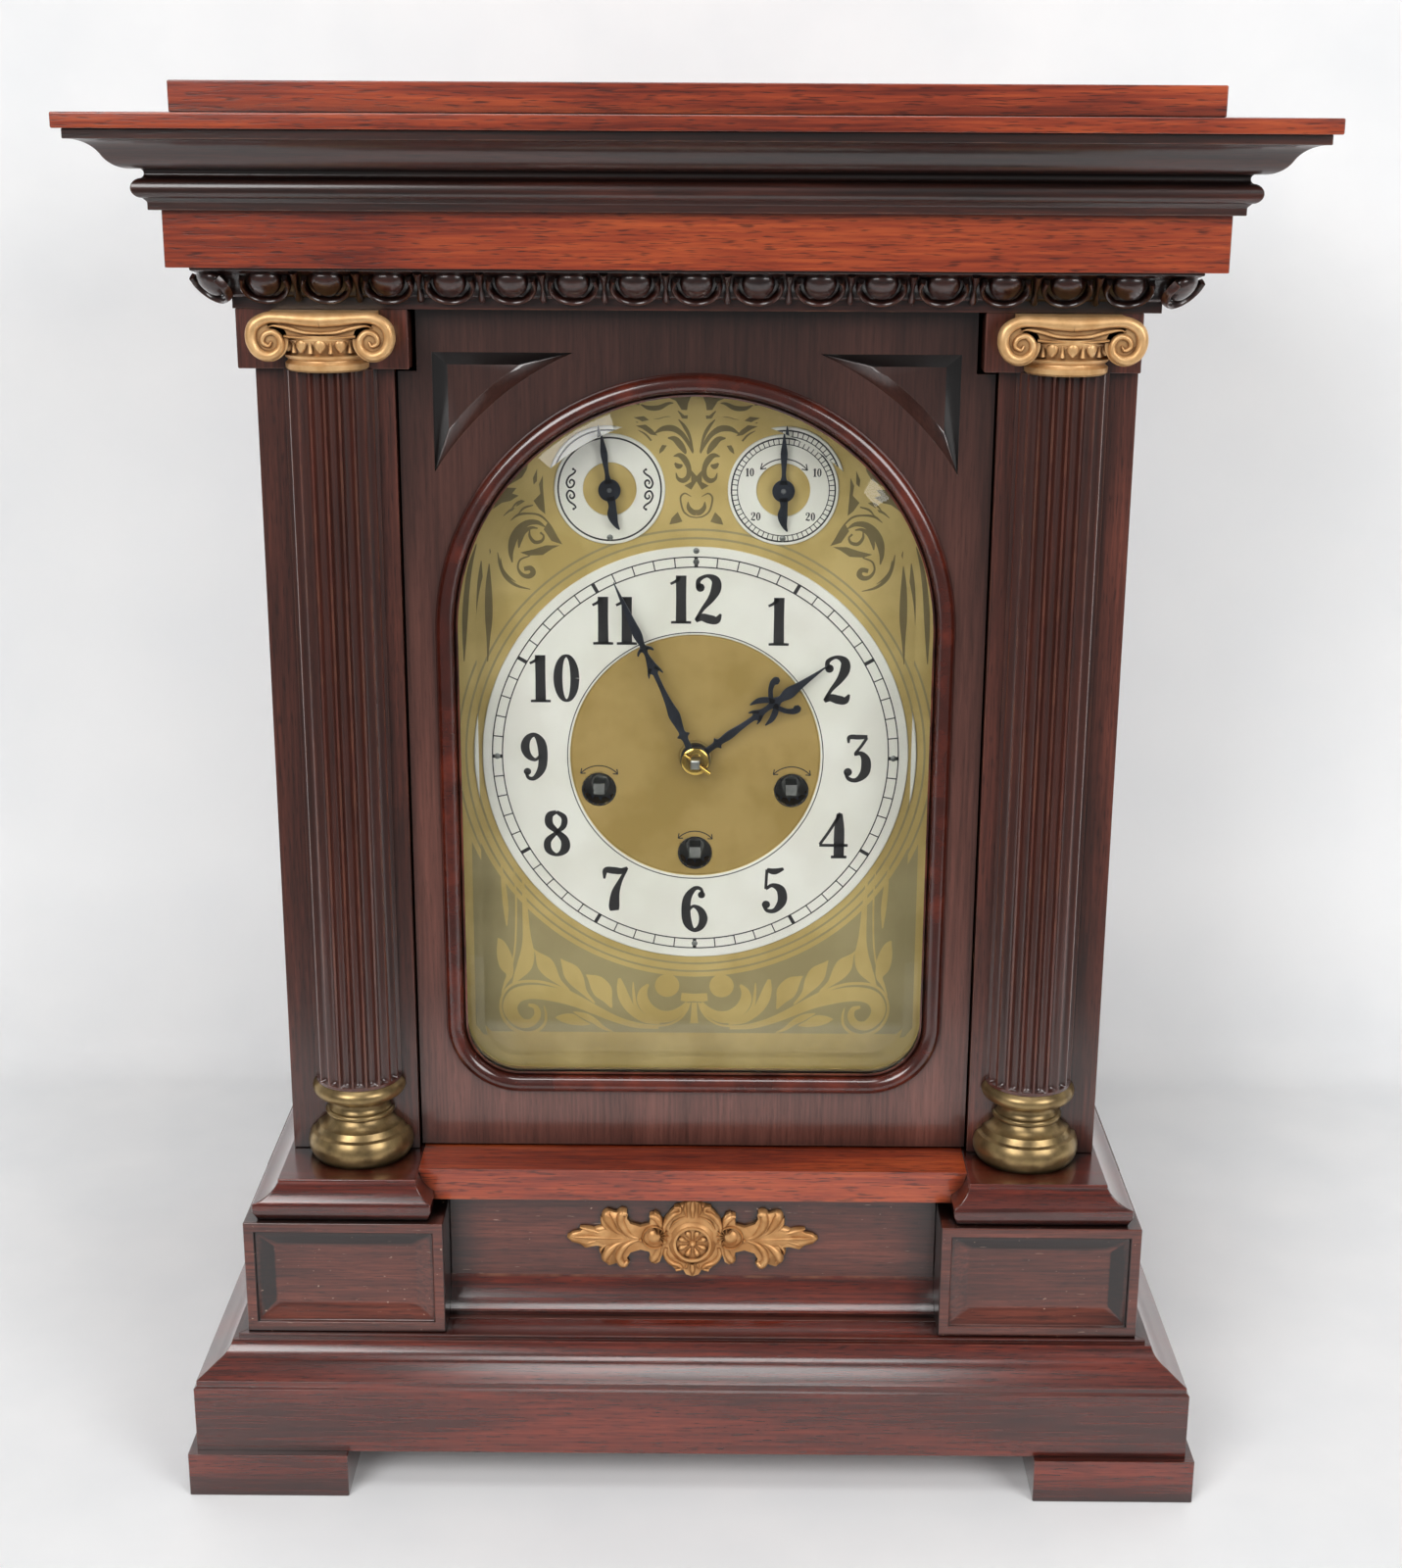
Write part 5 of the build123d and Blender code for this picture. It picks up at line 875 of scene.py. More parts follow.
def dress_node(name: str, material: bpy.types.Material, arris_mm: float = 0.0) -> None:
    """Gives a CAD node its finish and soft arrises.

    Args:
        name: the node.
        material: its finish.
        arris_mm: width of the bevel on its edges, or zero.
    """
    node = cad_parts[name]
    node.data.materials.clear()
    node.data.materials.append(material)
    if arris_mm:
        weld = node.modifiers.new("weld", "WELD")
        weld.merge_threshold = WELD_MM * MM
        bevel = node.modifiers.new("arris", "BEVEL")
        bevel.width = arris_mm * MM
        bevel.segments = ARRIS_STEPS
        bevel.angle_limit = math.radians(BOARD_EDGE_DEG)
        even = node.modifiers.new("shading", "WEIGHTED_NORMAL")
        even.weight = FLAT_FACE_WEIGHT
    log.info("%s dressed with %s", name, material.name)


@dataclass
class MitredMoulding:
    """Moulding round the front and the two sides, as three mitred sticks that stand for a CAD node."""

    node: str
    shares: Outline
    corner: Point
    depth: float
    mitre_mm: float = 0.12
    smooth_deg: float = 28.0
    arris_mm: float = 0.25

    def build(self, material: bpy.types.Material) -> None:
        """Builds the three sticks.

        Args:
            material: the wood.
        """
        low, high = node_span(self.node)
        points = outline(self.shares, self.depth, high[2] - low[2])
        cx, cy = self.corner
        front = Shape()
        front.grid(np.array([[(side * (cx + d), cy - d, low[2] + h) for d, h in points] for side in (-1, 1)]))
        side = Shape()
        side.grid(np.array([[(cx + d, cy - d + self.mitre_mm, low[2] + h) for d, h in points],
                            [(cx + d, high[1], low[2] + h) for d, h in points]]))
        side.mirror()
        for place, shape in (("front", front), ("sides", side)):
            make_piece(f"{self.node}_{place}", shape, material, Body.CASE, (self.node,),
                       self.smooth_deg, self.arris_mm)


@dataclass
class EggAndDart:
    """Carved ovolo under the frieze: eggs in rims with darts between, on three sides."""

    finishes: Finishes
    node: str = "egg_and_dart"
    corner: Point = (129.0, -66.5)
    depth: float = 21.2
    pitch: float = 18.4
    side_eggs: int = 9
    # Half width, half height and rise of an egg, and how much wider its top is than its foot
    egg: Spot = (5.0, 5.2, 3.0)
    egg_taper: float = 0.12
    egg_sink: float = 0.6
    # Reach across and up of the rim round an egg, its open turn, half width and rise
    rim: Point = (7.0, 6.6)
    rim_deg: Span = (155, 385)
    rim_half: float = 0.85
    rim_rise: float = 2.4
    # Dart between two eggs, as (up, half width), and its rise
    dart_line: tuple[Point, ...] = ((5.4, 1.5), (2.0, 1.1), (-1.6, 0.7), (-6.0, 1.3), (-7.0, 0.2))
    dart_rise: float = 2.2
    smooth_deg: float = 50.0
    slope_shares: tuple[Point, Point] = ((0.635, 0.06), (0.95, 0.84))
    shares: Outline = field(default_factory=lambda: [
        [(0, 0)], [(0.60, 0)], [(0.635, 0.06)], [(0.70, 0.46), (0.92, 0.80)], [(1, 0.88)], [(1, 1)], [(0, 1)],
    ])

    def unit(self, shape: Shape, place: Place, dart: bool = True) -> None:
        """Adds one egg with its rim, and the dart to its right.

        Args:
            shape: the shape.
            place: middle of the egg on the slope.
            dart: whether the dart is added.
        """
        wide, tall, proud = self.egg
        rings = []
        for v in np.linspace(-1, 1, 11):
            swell = math.sqrt(max(1 - v * v, 0.0))
            reach = wide * swell * (1 + self.egg_taper * v)
            rings.append([(reach * math.cos(t), tall * v, proud * swell * math.sin(t))
                          for t in np.linspace(0, math.tau, 20, endpoint=False)])
        shape.grid(place.at(np.array(rings)))
        across, up = self.rim
        turns = np.radians(np.linspace(*self.rim_deg, 9))
        rim = tuple((across * math.cos(t), up * math.sin(t), self.rim_half) for t in turns)
        Stroke(rim, 3).draw(shape, place, height=self.rim_rise, section=Section.ROUND)
        if dart:
            line = tuple((self.pitch / 2, up, half) for up, half in self.dart_line)
            Stroke(line, 4).draw(shape, place, height=self.dart_rise, section=Section.ROUND)

    def build(self) -> None:
        """Builds the moulding with its carving."""
        low, high = node_span(self.node)
        height = high[2] - low[2]
        cx, cy = self.corner
        (d0, h0), (d1, h1) = [(d * self.depth, h * height) for d, h in self.slope_shares]
        run = math.hypot(d1 - d0, h1 - h0)
        rise, reach = (h1 - h0) / run, (d1 - d0) / run
        seat_d = (d0 + d1) / 2 - self.egg_sink * rise
        z = low[2] + (h0 + h1) / 2 + self.egg_sink * reach
        wood = self.finishes.cornice
        MitredMoulding(self.node, self.shares, self.corner, self.depth).build(wood)
        front = Shape()
        count = int(cx // self.pitch)
        for k in range(-count, count + 1):
            spot = Place((k * self.pitch, cy - seat_d, z), (1, 0, 0), (0, -reach, rise), (0, -rise, -reach))
            self.unit(front, spot, k < count)
        sides = Shape()
        for k in range(1, self.side_eggs + 1):
            y = cy + k * self.pitch
            spot = Place((cx + seat_d, y, z), (0, 1, 0), (reach, 0, rise), (rise, 0, -reach))
            self.unit(sides, spot, k < self.side_eggs)
        # The corner's egg looks out along the diagonal
        d = math.sqrt(0.5)
        inset = seat_d - self.egg_sink
        spot = Place((cx + inset, cy - inset, z), (d, d, 0), (d * reach, -d * reach, rise),
                     (d * rise, -d * rise, -reach))
        self.unit(sides, spot, False)
        sides.mirror()
        for place, shape in (("front", front), ("sides", sides)):
            make_piece(f"eggs_{place}", shape, wood, Body.CASE, (self.node,), self.smooth_deg)


@dataclass
class FlutedColumns:
    """Two half columns with stopped flutes, on turned brass bases under Ionic capitals."""

    finishes: Finishes
    centre_x: float = 112.0
    radius: float = 14.2
    flutes: int = 10
    flute_radius: float = 1.75
    flute_stop: float = 1.0
    stop_lip: float = 0.3
    end_steps: int = 6
    shaft_rows: int = 8
    points_per_flute: int = 14
    base_shares: Outline = field(default_factory=lambda: [
        [(0, 0)], [(0.92, 0)], [(1, 0.16), (0.93, 0.32)], [(0.86, 0.34)], [(0.80, 0.41)],
        [(0.69, 0.45), (0.60, 0.53)], [(0.66, 0.57), (0.60, 0.61)], [(0.55, 0.68), (0.60, 0.76)],
        [(0.75, 0.79)], [(0.88, 0.87), (0.83, 0.97)], [(0.79, 1)], [(0, 1)],
    ])

    def shaft_row(self, sink: float) -> list[Point]:
        """Gives one row of the shaft.

        Args:
            sink: share of their depth to which the flutes are sunk.

        Returns:
            The row as (angle, radius).
        """
        pitch = math.pi / self.flutes
        row = []
        for i in range(self.flutes * self.points_per_flute + 1):
            turn = i * pitch / self.points_per_flute
            off = (turn % pitch - pitch / 2) * self.radius
            inside = max(1 - (off / self.flute_radius) ** 2, 0.0)
            row.append((turn, self.radius - sink * self.flute_radius * math.sqrt(inside)))
        return row

    def shaft(self, face_y: float, z_span: Span) -> Shape:
        """Builds both fluted shafts.

        Args:
            face_y: face of the pilasters.
            z_span: foot and top of the shaft.

        Returns:
            The shape.
        """
        stop = z_span[0] + self.flute_stop
        ends = [math.sqrt(max(1 - t * t, 0.0)) for t in np.linspace(1, 0, self.end_steps + 1)]
        rows = [(z_span[0], 0.0), (stop - self.stop_lip, 0.0)]
        rows += [(stop + self.flute_radius * i / self.end_steps, share) for i, share in enumerate(ends)]
        rows += [(z, 1.0) for z in np.linspace(stop + 2 * self.flute_radius, z_span[1], self.shaft_rows)]
        shape = Shape()
        shape.grid(np.array([[(self.centre_x + r * math.cos(t), face_y - r * math.sin(t), z)
                              for t, r in self.shaft_row(sink)] for z, sink in rows]))
        shape.mirror()
        return shape

    def build(self) -> None:
        """Builds the shafts and the bases."""
        low, high = node_span("fluted_columns")
        base_low, base_high = node_span("column_bases")
        face_y = high[1]
        make_piece("fluted_shafts", self.shaft(face_y, (low[2], high[2])), self.finishes.fluted,
                   Body.CASE, ("fluted_columns",), 40.0)
        radius = base_high[0] - self.centre_x
        profile = outline(self.base_shares, radius, base_high[2] - base_low[2])
        bases = Shape()
        axis = Place((self.centre_x, face_y, base_low[2]), (1, 0, 0), (0, -1, 0), (0, 0, 1))
        bases.lathe(profile, axis, (0.0, 180.0), 40)
        bases.mirror()
        make_piece("turned_column_bases", bases, self.finishes.spun, Body.CASE,
                   ("column_bases",), 32.0)


@dataclass
class IonicCapitals:
    """Cast brass capitals: a cushion that rolls up into two volutes over a belt of eggs and a neck."""

    finishes: Finishes
    centre_x: float = 112.0
    volute_x: float = 15.7
    volute_drop: float = 8.6
    volute_radius: float = 6.1
    face_drop: float = 2.3
    # Half width of the belt, and its top and foot under the top of the capital
    belt: Spot = (12.6, 7.8, 12.4)
    # Roll between the volutes, as (radius, share of its length)
    roll: tuple[Point, ...] = ((5.0, 0.0), (4.5, 0.35), (4.2, 0.55), (4.7, 0.8))
    roll_end_share: float = 0.92
    # Neck under the belt, as (reach past the belt's half width, height over the foot)
    neck: tuple[Point, ...] = ((-0.9, 0.0), (0.0, 0.7), (0.1, 2.2), (-0.7, 2.9), (-0.8, 3.4), (0.0, 4.0),
                               (0.4, 4.8), (-1.2, 5.4))
    # Right half of the abacus, as (across, up)
    abacus: tuple[Point, ...] = ((0.0, -0.3), (16.0, -0.3), (16.0, -3.4))
    cushion: tuple[Knot, ...] = (
        (0.0, -2.5, 2.2), (6.0, -2.2, 2.0), (11.5, -1.75, 1.7), (16.0, -1.9, 1.75), (19.8, -4.2, 1.85),
        (20.6, -8.2, 1.8), (18.8, -11.8, 1.7), (15.2, -12.9, 1.5), (12.2, -11.0, 1.25), (11.9, -7.9, 1.1),
        (14.0, -5.9, 0.95), (16.6, -6.8, 0.85), (17.2, -9.0, 0.75), (15.4, -10.0, 0.6), (14.5, -8.7, 0.4),
    )
    swag: tuple[Knot, ...] = (
        (0.0, -6.3, 0.6), (5.0, -5.9, 0.65), (9.5, -4.7, 0.7), (13.6, -4.0, 0.4), (15.6, -4.6, 0.15),
    )
    rim: tuple[Knot, ...] = ((0.0, -7.6, 0.4), (5.5, -7.5, 0.4), (10.6, -7.1, 0.4))
    egg: tuple[Knot, ...] = ((0, 2.1, 1.2), (0, 1.0, 1.9), (0, -0.6, 1.6), (0, -1.9, 0.5))
    leaf: tuple[Knot, ...] = ((0, 2.0, 0.8), (0, 0.2, 0.5), (0, -2.1, 0.8))
    egg_pitch_deg: int = 28
    egg_sink: float = 0.4
    smooth_deg: float = 40.0

    def build(self) -> None:
        """Builds both capitals."""
        low, high = node_span("capitals")
        front, top, back = low[1], high[2], high[1]
        shape = Shape()
        face = Place((self.centre_x, front + self.face_drop, top))
        depth = back - front - self.face_drop
        roll = [(0.0, 0.0), *((radius, share * depth) for radius, share in self.roll),
                (self.volute_radius, depth * self.roll_end_share), (self.volute_radius, depth), (0.0, depth)]
        for side in (-1, 1):
            shape.lathe(roll, Place((self.centre_x + side * self.volute_x, back, top - self.volute_drop)),
                        steps=40)
            for line, rise in ((self.cushion, 2.2), (self.swag, 1.5), (self.rim, 1.6)):
                Stroke(tuple((side * x, z, w) for x, z, w in line), 5).draw(shape, face, height=rise,
                                                                           section=Section.ROUND)
        half, belt_top, belt_low = self.belt
        slab = [*self.abacus, (half, -belt_top), (0.0, -belt_top)]
        slab += [(-x, z) for x, z in reversed(slab) if x]
        shape.grid(np.array([[(self.centre_x + x, y, top + z) for x, z in slab]
                             for y in (face.origin[1], back)]))
        foot = low[2] - top
        bowl = [(0.0, foot), *((half + reach, foot + up) for reach, up in self.neck),
                (half - 0.8, -belt_low + 2.2), (half + 0.9, -belt_top - 0.6), (half + 0.9, -belt_top + 0.8),
                (0.0, -belt_top + 0.8)]
        axis = Place((self.centre_x, back, top), (1, 0, 0), (0, -1, 0), (0, 0, 1))
        shape.lathe(bowl, axis, (0.0, 180.0), 44)
        self.eggs(shape, back, top - (belt_top + belt_low) / 2)
        shape.mirror()
        make_piece("ionic_capitals", shape, self.finishes.cast, Body.CASE, ("capitals",),
                   self.smooth_deg)

    def eggs(self, shape: Shape, back: float, middle_z: float) -> None:
        """Adds the belt's eggs with a leaf between each two.

        Args:
            shape: the shape.
            back: depth of the wall behind the capital.
            middle_z: height of the belt's middle.
        """
        radius = self.belt[0] - self.egg_sink
        step = self.egg_pitch_deg // 2
        for number in range(-4, 5):
            turn = math.radians(number * step)
            spot = (self.centre_x + radius * math.sin(turn), back - radius * math.cos(turn), middle_z)
            place = Place(spot, (math.cos(turn), math.sin(turn), 0), (0, 0, 1),
                          (math.sin(turn), -math.cos(turn), 0))
            line, rise = (self.leaf, 1.1) if number % 2 else (self.egg, 1.5)
            Stroke(line, 4).draw(shape, place, height=rise, section=Section.ROUND)


# The door


@dataclass
class GlazedDoor:
    """Half-round bead round the opening and the bevelled plate glass behind it."""

    finishes: Finishes
    half: float = 83.0
    low: float = 125.2
    centre_z: float = 283.0
    corner: float = 25.0
    # Width and rise of the bead, and where its round part lies
    bead: Span = (7.6, 3.2)
    round_middle_share: float = 0.46
    round_radius_share: float = 0.38
    round_foot: float = 0.35
    glass_inset: float = 3.3
    bevel_to: float = 13.3
    bevel_drop: float = 2.6
    corner_steps: int = 14
    arch_steps: int = 64

    def loop(self, inset: float, y: float) -> np.ndarray:
        """Gives the opening's outline at a distance inside its outer edge.

        Args:
            inset: distance inside the bead's outer edge.
            y: depth of the loop.

        Returns:
            Points of the closed loop.
        """
        half = self.half - inset
        corner = self.corner - inset
        level = self.low + inset + corner
        arcs = [(half - corner, level, corner, -90, 0, self.corner_steps),
                (0, self.centre_z, half, 0, 180, self.arch_steps),
                (corner - half, level, corner, 180, 270, self.corner_steps)]
        points = []
        for x, z, radius, first, last, steps in arcs:
            for turn in np.radians(np.linspace(first, last, steps + 1)):
                points.append((x + radius * math.cos(turn), y, z + radius * math.sin(turn)))
        return np.array(points)

    def build(self) -> None:
        """Builds the bead and the glass."""
        face = node_span("door_frame")[0][1]
        wide, proud = self.bead
        profile = [(0.0, 0.5), (0.5, -0.15)]
        for turn in np.radians(np.linspace(180, 0, 13)):
            profile.append((wide * (self.round_middle_share + self.round_radius_share * math.cos(turn)),
                            -self.round_foot - (proud - self.round_foot) * math.sin(turn)))
        profile += [(wide * 0.86, 0.1), (wide * 0.93, -0.5), (wide, -0.3), (wide, 0.0)]
        bead = Shape()
        bead.grid(np.array([self.loop(inset, face + y) for inset, y in profile]), closed=True)
        make_piece("round_bead", bead, self.finishes.bead, Body.DOOR, ("door_bead",), 40.0)
        glass_low, glass_high = node_span("bevelled_glass")
        front, back = glass_low[1] + 0.02, glass_high[1]
        rings = ((self.glass_inset, back), (self.glass_inset, front + self.bevel_drop),
                 (self.bevel_to, front))
        glass = Shape()
        glass.grid(np.array([self.loop(inset, y) for inset, y in rings]), caps=True)
        make_piece("bevelled_pane", glass, self.finishes.glass, Body.DOOR,
                   ("bevelled_glass",), 3.0)


# The dial

@dataclass(frozen=True)
class Figure:
    """A figure of the ring, drawn with strokes and round dots in a box one unit high.

    Strokes are points as (across, up, half width), and dots are (across, up, radius).
    """

    width: float
    strokes: Lines
    dots: tuple[Knot, ...] = ()

    def turned(self) -> Figure:
        """Gives the figure upside down, as a nine is a six."""
        strokes = tuple(tuple((self.width - x, 1 - z, half) for x, z, half in line) for line in self.strokes)
        return Figure(self.width, strokes, tuple((self.width - x, 1 - z, half) for x, z, half in self.dots))


def nought(width: float) -> Figure:
    """Gives the oval figure, thick at its sides, in a box of this width."""
    turns = np.linspace(0, math.tau, 17)
    return Figure(width, (tuple((width / 2 + 0.17 * math.cos(t), 0.5 + 0.46 * math.sin(t),
                                 0.03 + 0.06 * abs(math.cos(t)) ** 1.3) for t in turns),))


FIGURES: dict[str, Figure] = {
    "0": nought(0.54),
    "1": Figure(0.4, (
        ((0.22, 0.02, 0.105), (0.22, 0.55, 0.1), (0.22, 0.97, 0.105)),
        ((0.2, 0.95, 0.035), (0.12, 0.86, 0.03), (0.01, 0.8, 0.025)),
        ((0.02, 0.025, 0.025), (0.22, 0.03, 0.03), (0.42, 0.025, 0.025)),
    )),
    "2": Figure(0.56, (
        ((0.09, 0.72, 0.05), (0.1, 0.88, 0.045), (0.27, 0.965, 0.035), (0.43, 0.88, 0.085),
         (0.44, 0.7, 0.1), (0.34, 0.5, 0.07), (0.18, 0.3, 0.04), (0.05, 0.09, 0.03)),
        ((0.04, 0.06, 0.04), (0.16, 0.13, 0.075), (0.32, 0.09, 0.09), (0.46, 0.08, 0.075),
         (0.54, 0.2, 0.02)),
    ), ((0.13, 0.73, 0.085),)),
    "3": Figure(0.54, (
        ((0.1, 0.82, 0.02), (0.12, 0.94, 0.045), (0.3, 0.945, 0.05), (0.48, 0.95, 0.04)),
        ((0.47, 0.93, 0.03), (0.36, 0.76, 0.03), (0.24, 0.6, 0.03)),
        ((0.22, 0.58, 0.03), (0.36, 0.6, 0.05), (0.46, 0.45, 0.095), (0.44, 0.2, 0.095),
         (0.28, 0.045, 0.05), (0.12, 0.07, 0.04), (0.05, 0.2, 0.03)),
    ), ((0.1, 0.21, 0.085),)),
    "4": Figure(0.6, (
        ((0.44, 0.97, 0.035), (0.24, 0.62, 0.03), (0.03, 0.3, 0.03)),
        ((0.02, 0.28, 0.03), (0.6, 0.28, 0.03)),
        ((0.42, 0.96, 0.06), (0.42, 0.6, 0.105), (0.42, 0.04, 0.105)),
        ((0.26, 0.03, 0.03), (0.58, 0.03, 0.03)),
    )),
    "5": Figure(0.54, (
        ((0.12, 0.93, 0.045), (0.28, 0.9, 0.065), (0.46, 0.96, 0.03)),
        ((0.12, 0.94, 0.03), (0.1, 0.52, 0.03)),
        ((0.1, 0.52, 0.03), (0.24, 0.6, 0.045), (0.41, 0.5, 0.09), (0.44, 0.26, 0.095),
         (0.3, 0.06, 0.055), (0.14, 0.05, 0.04), (0.06, 0.16, 0.03)),
    ), ((0.11, 0.18, 0.085),)),
    "6": Figure(0.56, (
        ((0.45, 0.82, 0.03), (0.4, 0.95, 0.035), (0.27, 0.95, 0.05), (0.13, 0.75, 0.085),
         (0.1, 0.45, 0.095), (0.14, 0.2, 0.09), (0.26, 0.05, 0.045), (0.4, 0.12, 0.07),
         (0.46, 0.3, 0.09), (0.4, 0.48, 0.07), (0.26, 0.57, 0.035), (0.15, 0.48, 0.03)),
    ), ((0.42, 0.82, 0.075),)),
    "7": Figure(0.56, (
        ((0.05, 0.72, 0.02), (0.08, 0.9, 0.06), (0.24, 0.9, 0.075), (0.4, 0.89, 0.065),
         (0.53, 0.96, 0.03)),
        ((0.51, 0.93, 0.03), (0.38, 0.68, 0.045), (0.28, 0.42, 0.085), (0.25, 0.14, 0.11),
         (0.26, 0.03, 0.09)),
    )),
    "8": Figure(0.56, (
        ((0.28, 0.96, 0.035), (0.14, 0.88, 0.075), (0.13, 0.7, 0.08), (0.28, 0.54, 0.055),
         (0.44, 0.36, 0.085), (0.44, 0.16, 0.09), (0.28, 0.04, 0.035), (0.11, 0.14, 0.07),
         (0.1, 0.34, 0.07), (0.28, 0.52, 0.04), (0.42, 0.66, 0.06), (0.43, 0.84, 0.06),
         (0.28, 0.96, 0.035)),
    )),
}
FIGURES["9"] = FIGURES["6"].turned()


@dataclass
class Dial:
    """Arched brass plate with etched scrolls, a silvered ring with figures, and two subdials."""

    finishes: Finishes
    ring: Span = (41.5, 70.5)
    track: Span = (63.9, 67.2)
    figure_circle: float = 53.4
    figure_height: float = 16.4
    figure_gap_share: float = 0.07
    minute_half: float = 0.19
    fifth_minute_half: float = 0.6
    subdial: Span = (8.6, 17.8)
    # Rise of the rings, height of their outer edge under its chamfer, and the chamfer's width
    ring_rise: float = 0.8
    ring_edge: float = 0.55
    ring_chamfer: float = 0.25
    # Chamfer's width and edge height at the hole of a subdial
    subdial_hole: Point = (0.2, 0.6)
    screw_circle: float = 65.6
    lock_screw: float = 69.2
    subdial_screw: float = -15.6
    screw_radius: float = 1.0
    screw_rise: float = 0.35
    # Winding holes as (across, up, radius of the arrow over it)
    winding: tuple[Knot, ...] = ((-32.0, -11.5, 8.2), (32.0, -11.5, 8.2), (0.0, -33.5, 7.6))
    hole_radius: float = 5.4
    arrow_deg: Span = (138, 40)
    ink_mm: float = 0.04
    matt_hole: float = 5.2
    matt_gap: float = 0.3
    lower_ground: Point = (72.0, -98.6)
    ground_ring: float = 78.0
    ground_corner: float = 2.5
    etched_rings: Span = (73.2, 76.0)
    ball: Spot = (9.3, -81.3, 4.2)
    # Upper right quarter of the left subdial's scrolls, and the ball at its end
    curl: tuple[Knot, ...] = (
        (12.5, 1.7, 0.15), (12.8, 2.4, 0.25), (12.1, 3.0, 0.3), (11.3, 2.3, 0.3), (11.7, 1.0, 0.3),
        (13.0, 0.5, 0.3), (13.8, 2.0, 0.3), (13.0, 3.9, 0.3), (11.5, 5.0, 0.3), (10.9, 5.9, 0.25),
        (11.6, 6.3, 0.2),
    )
    curl_ball: Spot = (11.6, 6.4, 0.4)
    # Figures of the right subdial, and their circle and height
    rate_figures: tuple[tuple[int, str], ...] = ((-62, "10"), (62, "10"), (-134, "20"), (134, "20"), (0, "0"))
    rate_circle: float = 12.2
    rate_height: float = 2.7
    rate_track: Span = (3.1, 1.2)
    face: float = field(init=False)
    middle: float = field(init=False)
    ring_face: float = field(init=False)

    def __post_init__(self) -> None:
        """Takes the plate's face and the height of the ring's middle from the frame."""
        plate_low = node_span("dial_plate")[0]
        ring_low, ring_high = node_span("chapter_ring")
        self.face = plate_low[1] if plate_low[1] > ring_low[1] else ring_high[1]
        self.middle = (ring_low[2] + ring_high[2]) / 2
        self.ring_face = self.face - self.ring_rise

    def build(self) -> None:
        """Builds everything on the plate."""
        dress_node("dial_plate", self.finishes.plate)
        ring = Shape()
        profile = self.ring_profile(self.ring, (self.ring_chamfer, self.ring_edge))
        ring.lathe(profile, Place((0.0, self.face, self.middle)), steps=180)
        make_piece("silvered_ring", ring, self.finishes.silver, Body.CASE, ("chapter_ring",))
        self.ring_ink()
        self.screws()
        self.winding_holes()
        self.matting()
        self.subdial_ring(-1, "left", self.curls)
        self.subdial_ring(1, "right", self.rate_scale)
        self.etching()

    def ring_profile(self, span: Span, hole: Point) -> list[Point]:
        """Gives the section of a ring with chamfered edges.

        Args:
            span: its inner and outer radius.
            hole: chamfer's width and edge height at its hole.

        Returns:
            The section as (radius, height).
        """
        (inner, outer), (chamfer, edge) = span, hole
        return [(inner, 0.0), (outer, 0.0), (outer, self.ring_edge),
                (outer - self.ring_chamfer, self.ring_rise), (inner + chamfer, self.ring_rise), (inner, edge)]

    def circle(self, shape: Shape, place: Place, radius: float, width: float, steps: int = 180) -> None:
        """Adds a thin circle of ink.

        Args:
            shape: the ink.
            place: its middle.
            radius: its radius.
            width: width of the line.
            steps: sides of the circle.
        """
        half = width / 2
        shape.lathe([(radius - half, -0.02), (radius + half, -0.02), (radius + half, self.ink_mm),
                     (radius - half, self.ink_mm)], place, steps=steps)

    def tick(self, shape: Shape, place: Place, turn: float, radii: Span, half: float) -> None:
        """Adds a line that points to the middle, at an angle from the top, between two radii."""
        ends = tuple((radius * math.sin(turn), radius * math.cos(turn), half) for radius in radii)
        Stroke(ends, 2).draw(shape, place, height=self.ink_mm)

    def figure(self, shape: Shape, place: Place, text: str, height: float) -> None:
        """Adds a number, centred on a place.

        Args:
            shape: the ink.
            place: middle of the number.
            text: its digits.
            height: its height.
        """
        gap = self.figure_gap_share
        left = -(sum(FIGURES[digit].width for digit in text) + gap * (len(text) - 1)) / 2
        for digit in text:
            figure = FIGURES[digit]
            corner = place.moved(left * height, -height / 2)
            for line in figure.strokes:
                Stroke(line, 6).draw(shape, corner, height, self.ink_mm)
            for x, z, radius in figure.dots:
                dot(shape, corner, (x * height, z * height), radius * height, self.ink_mm)
            left += figure.width + gap

    def ring_ink(self) -> None:
        """Draws the figures and the minute track."""
        place = Place((0.0, self.ring_face, self.middle))
        ink = Shape()
        for hour in range(1, 13):
            turn = math.radians(30 * hour)
            spot = place.moved(self.figure_circle * math.sin(turn), self.figure_circle * math.cos(turn))
            self.figure(ink, spot, str(hour), self.figure_height)
        for radius in self.track:
            self.circle(ink, place, radius, 0.4)
        self.circle(ink, place, self.ring[0] + 0.8, 0.32)
        for minute in range(60):
            half = self.minute_half if minute % 5 else self.fifth_minute_half
            self.tick(ink, place, math.radians(6 * minute), self.track, half)
        make_piece("ring_figures", ink, self.finishes.ink, Body.CASE, (), 30.0)

    def screws(self) -> None:
        """Builds the small screws that hold the ring and the subdials."""
        heads = Shape()
        place = Place((0.0, self.ring_face, self.middle))
        reach = self.screw_circle
        spots = [(0.0, reach), (reach, 0.0), (0.0, -reach), (-reach, 0.0), (0.0, self.lock_screw)]
        spots += [(side * SUBDIAL_X, SUBDIAL_RISE + self.subdial_screw) for side in (-1, 1)]
        for spot in spots:
            dot(heads, place, spot, self.screw_radius, self.screw_rise, Section.ROUND, 16)
        make_piece("ring_screws", heads, self.finishes.screw, Body.CASE)

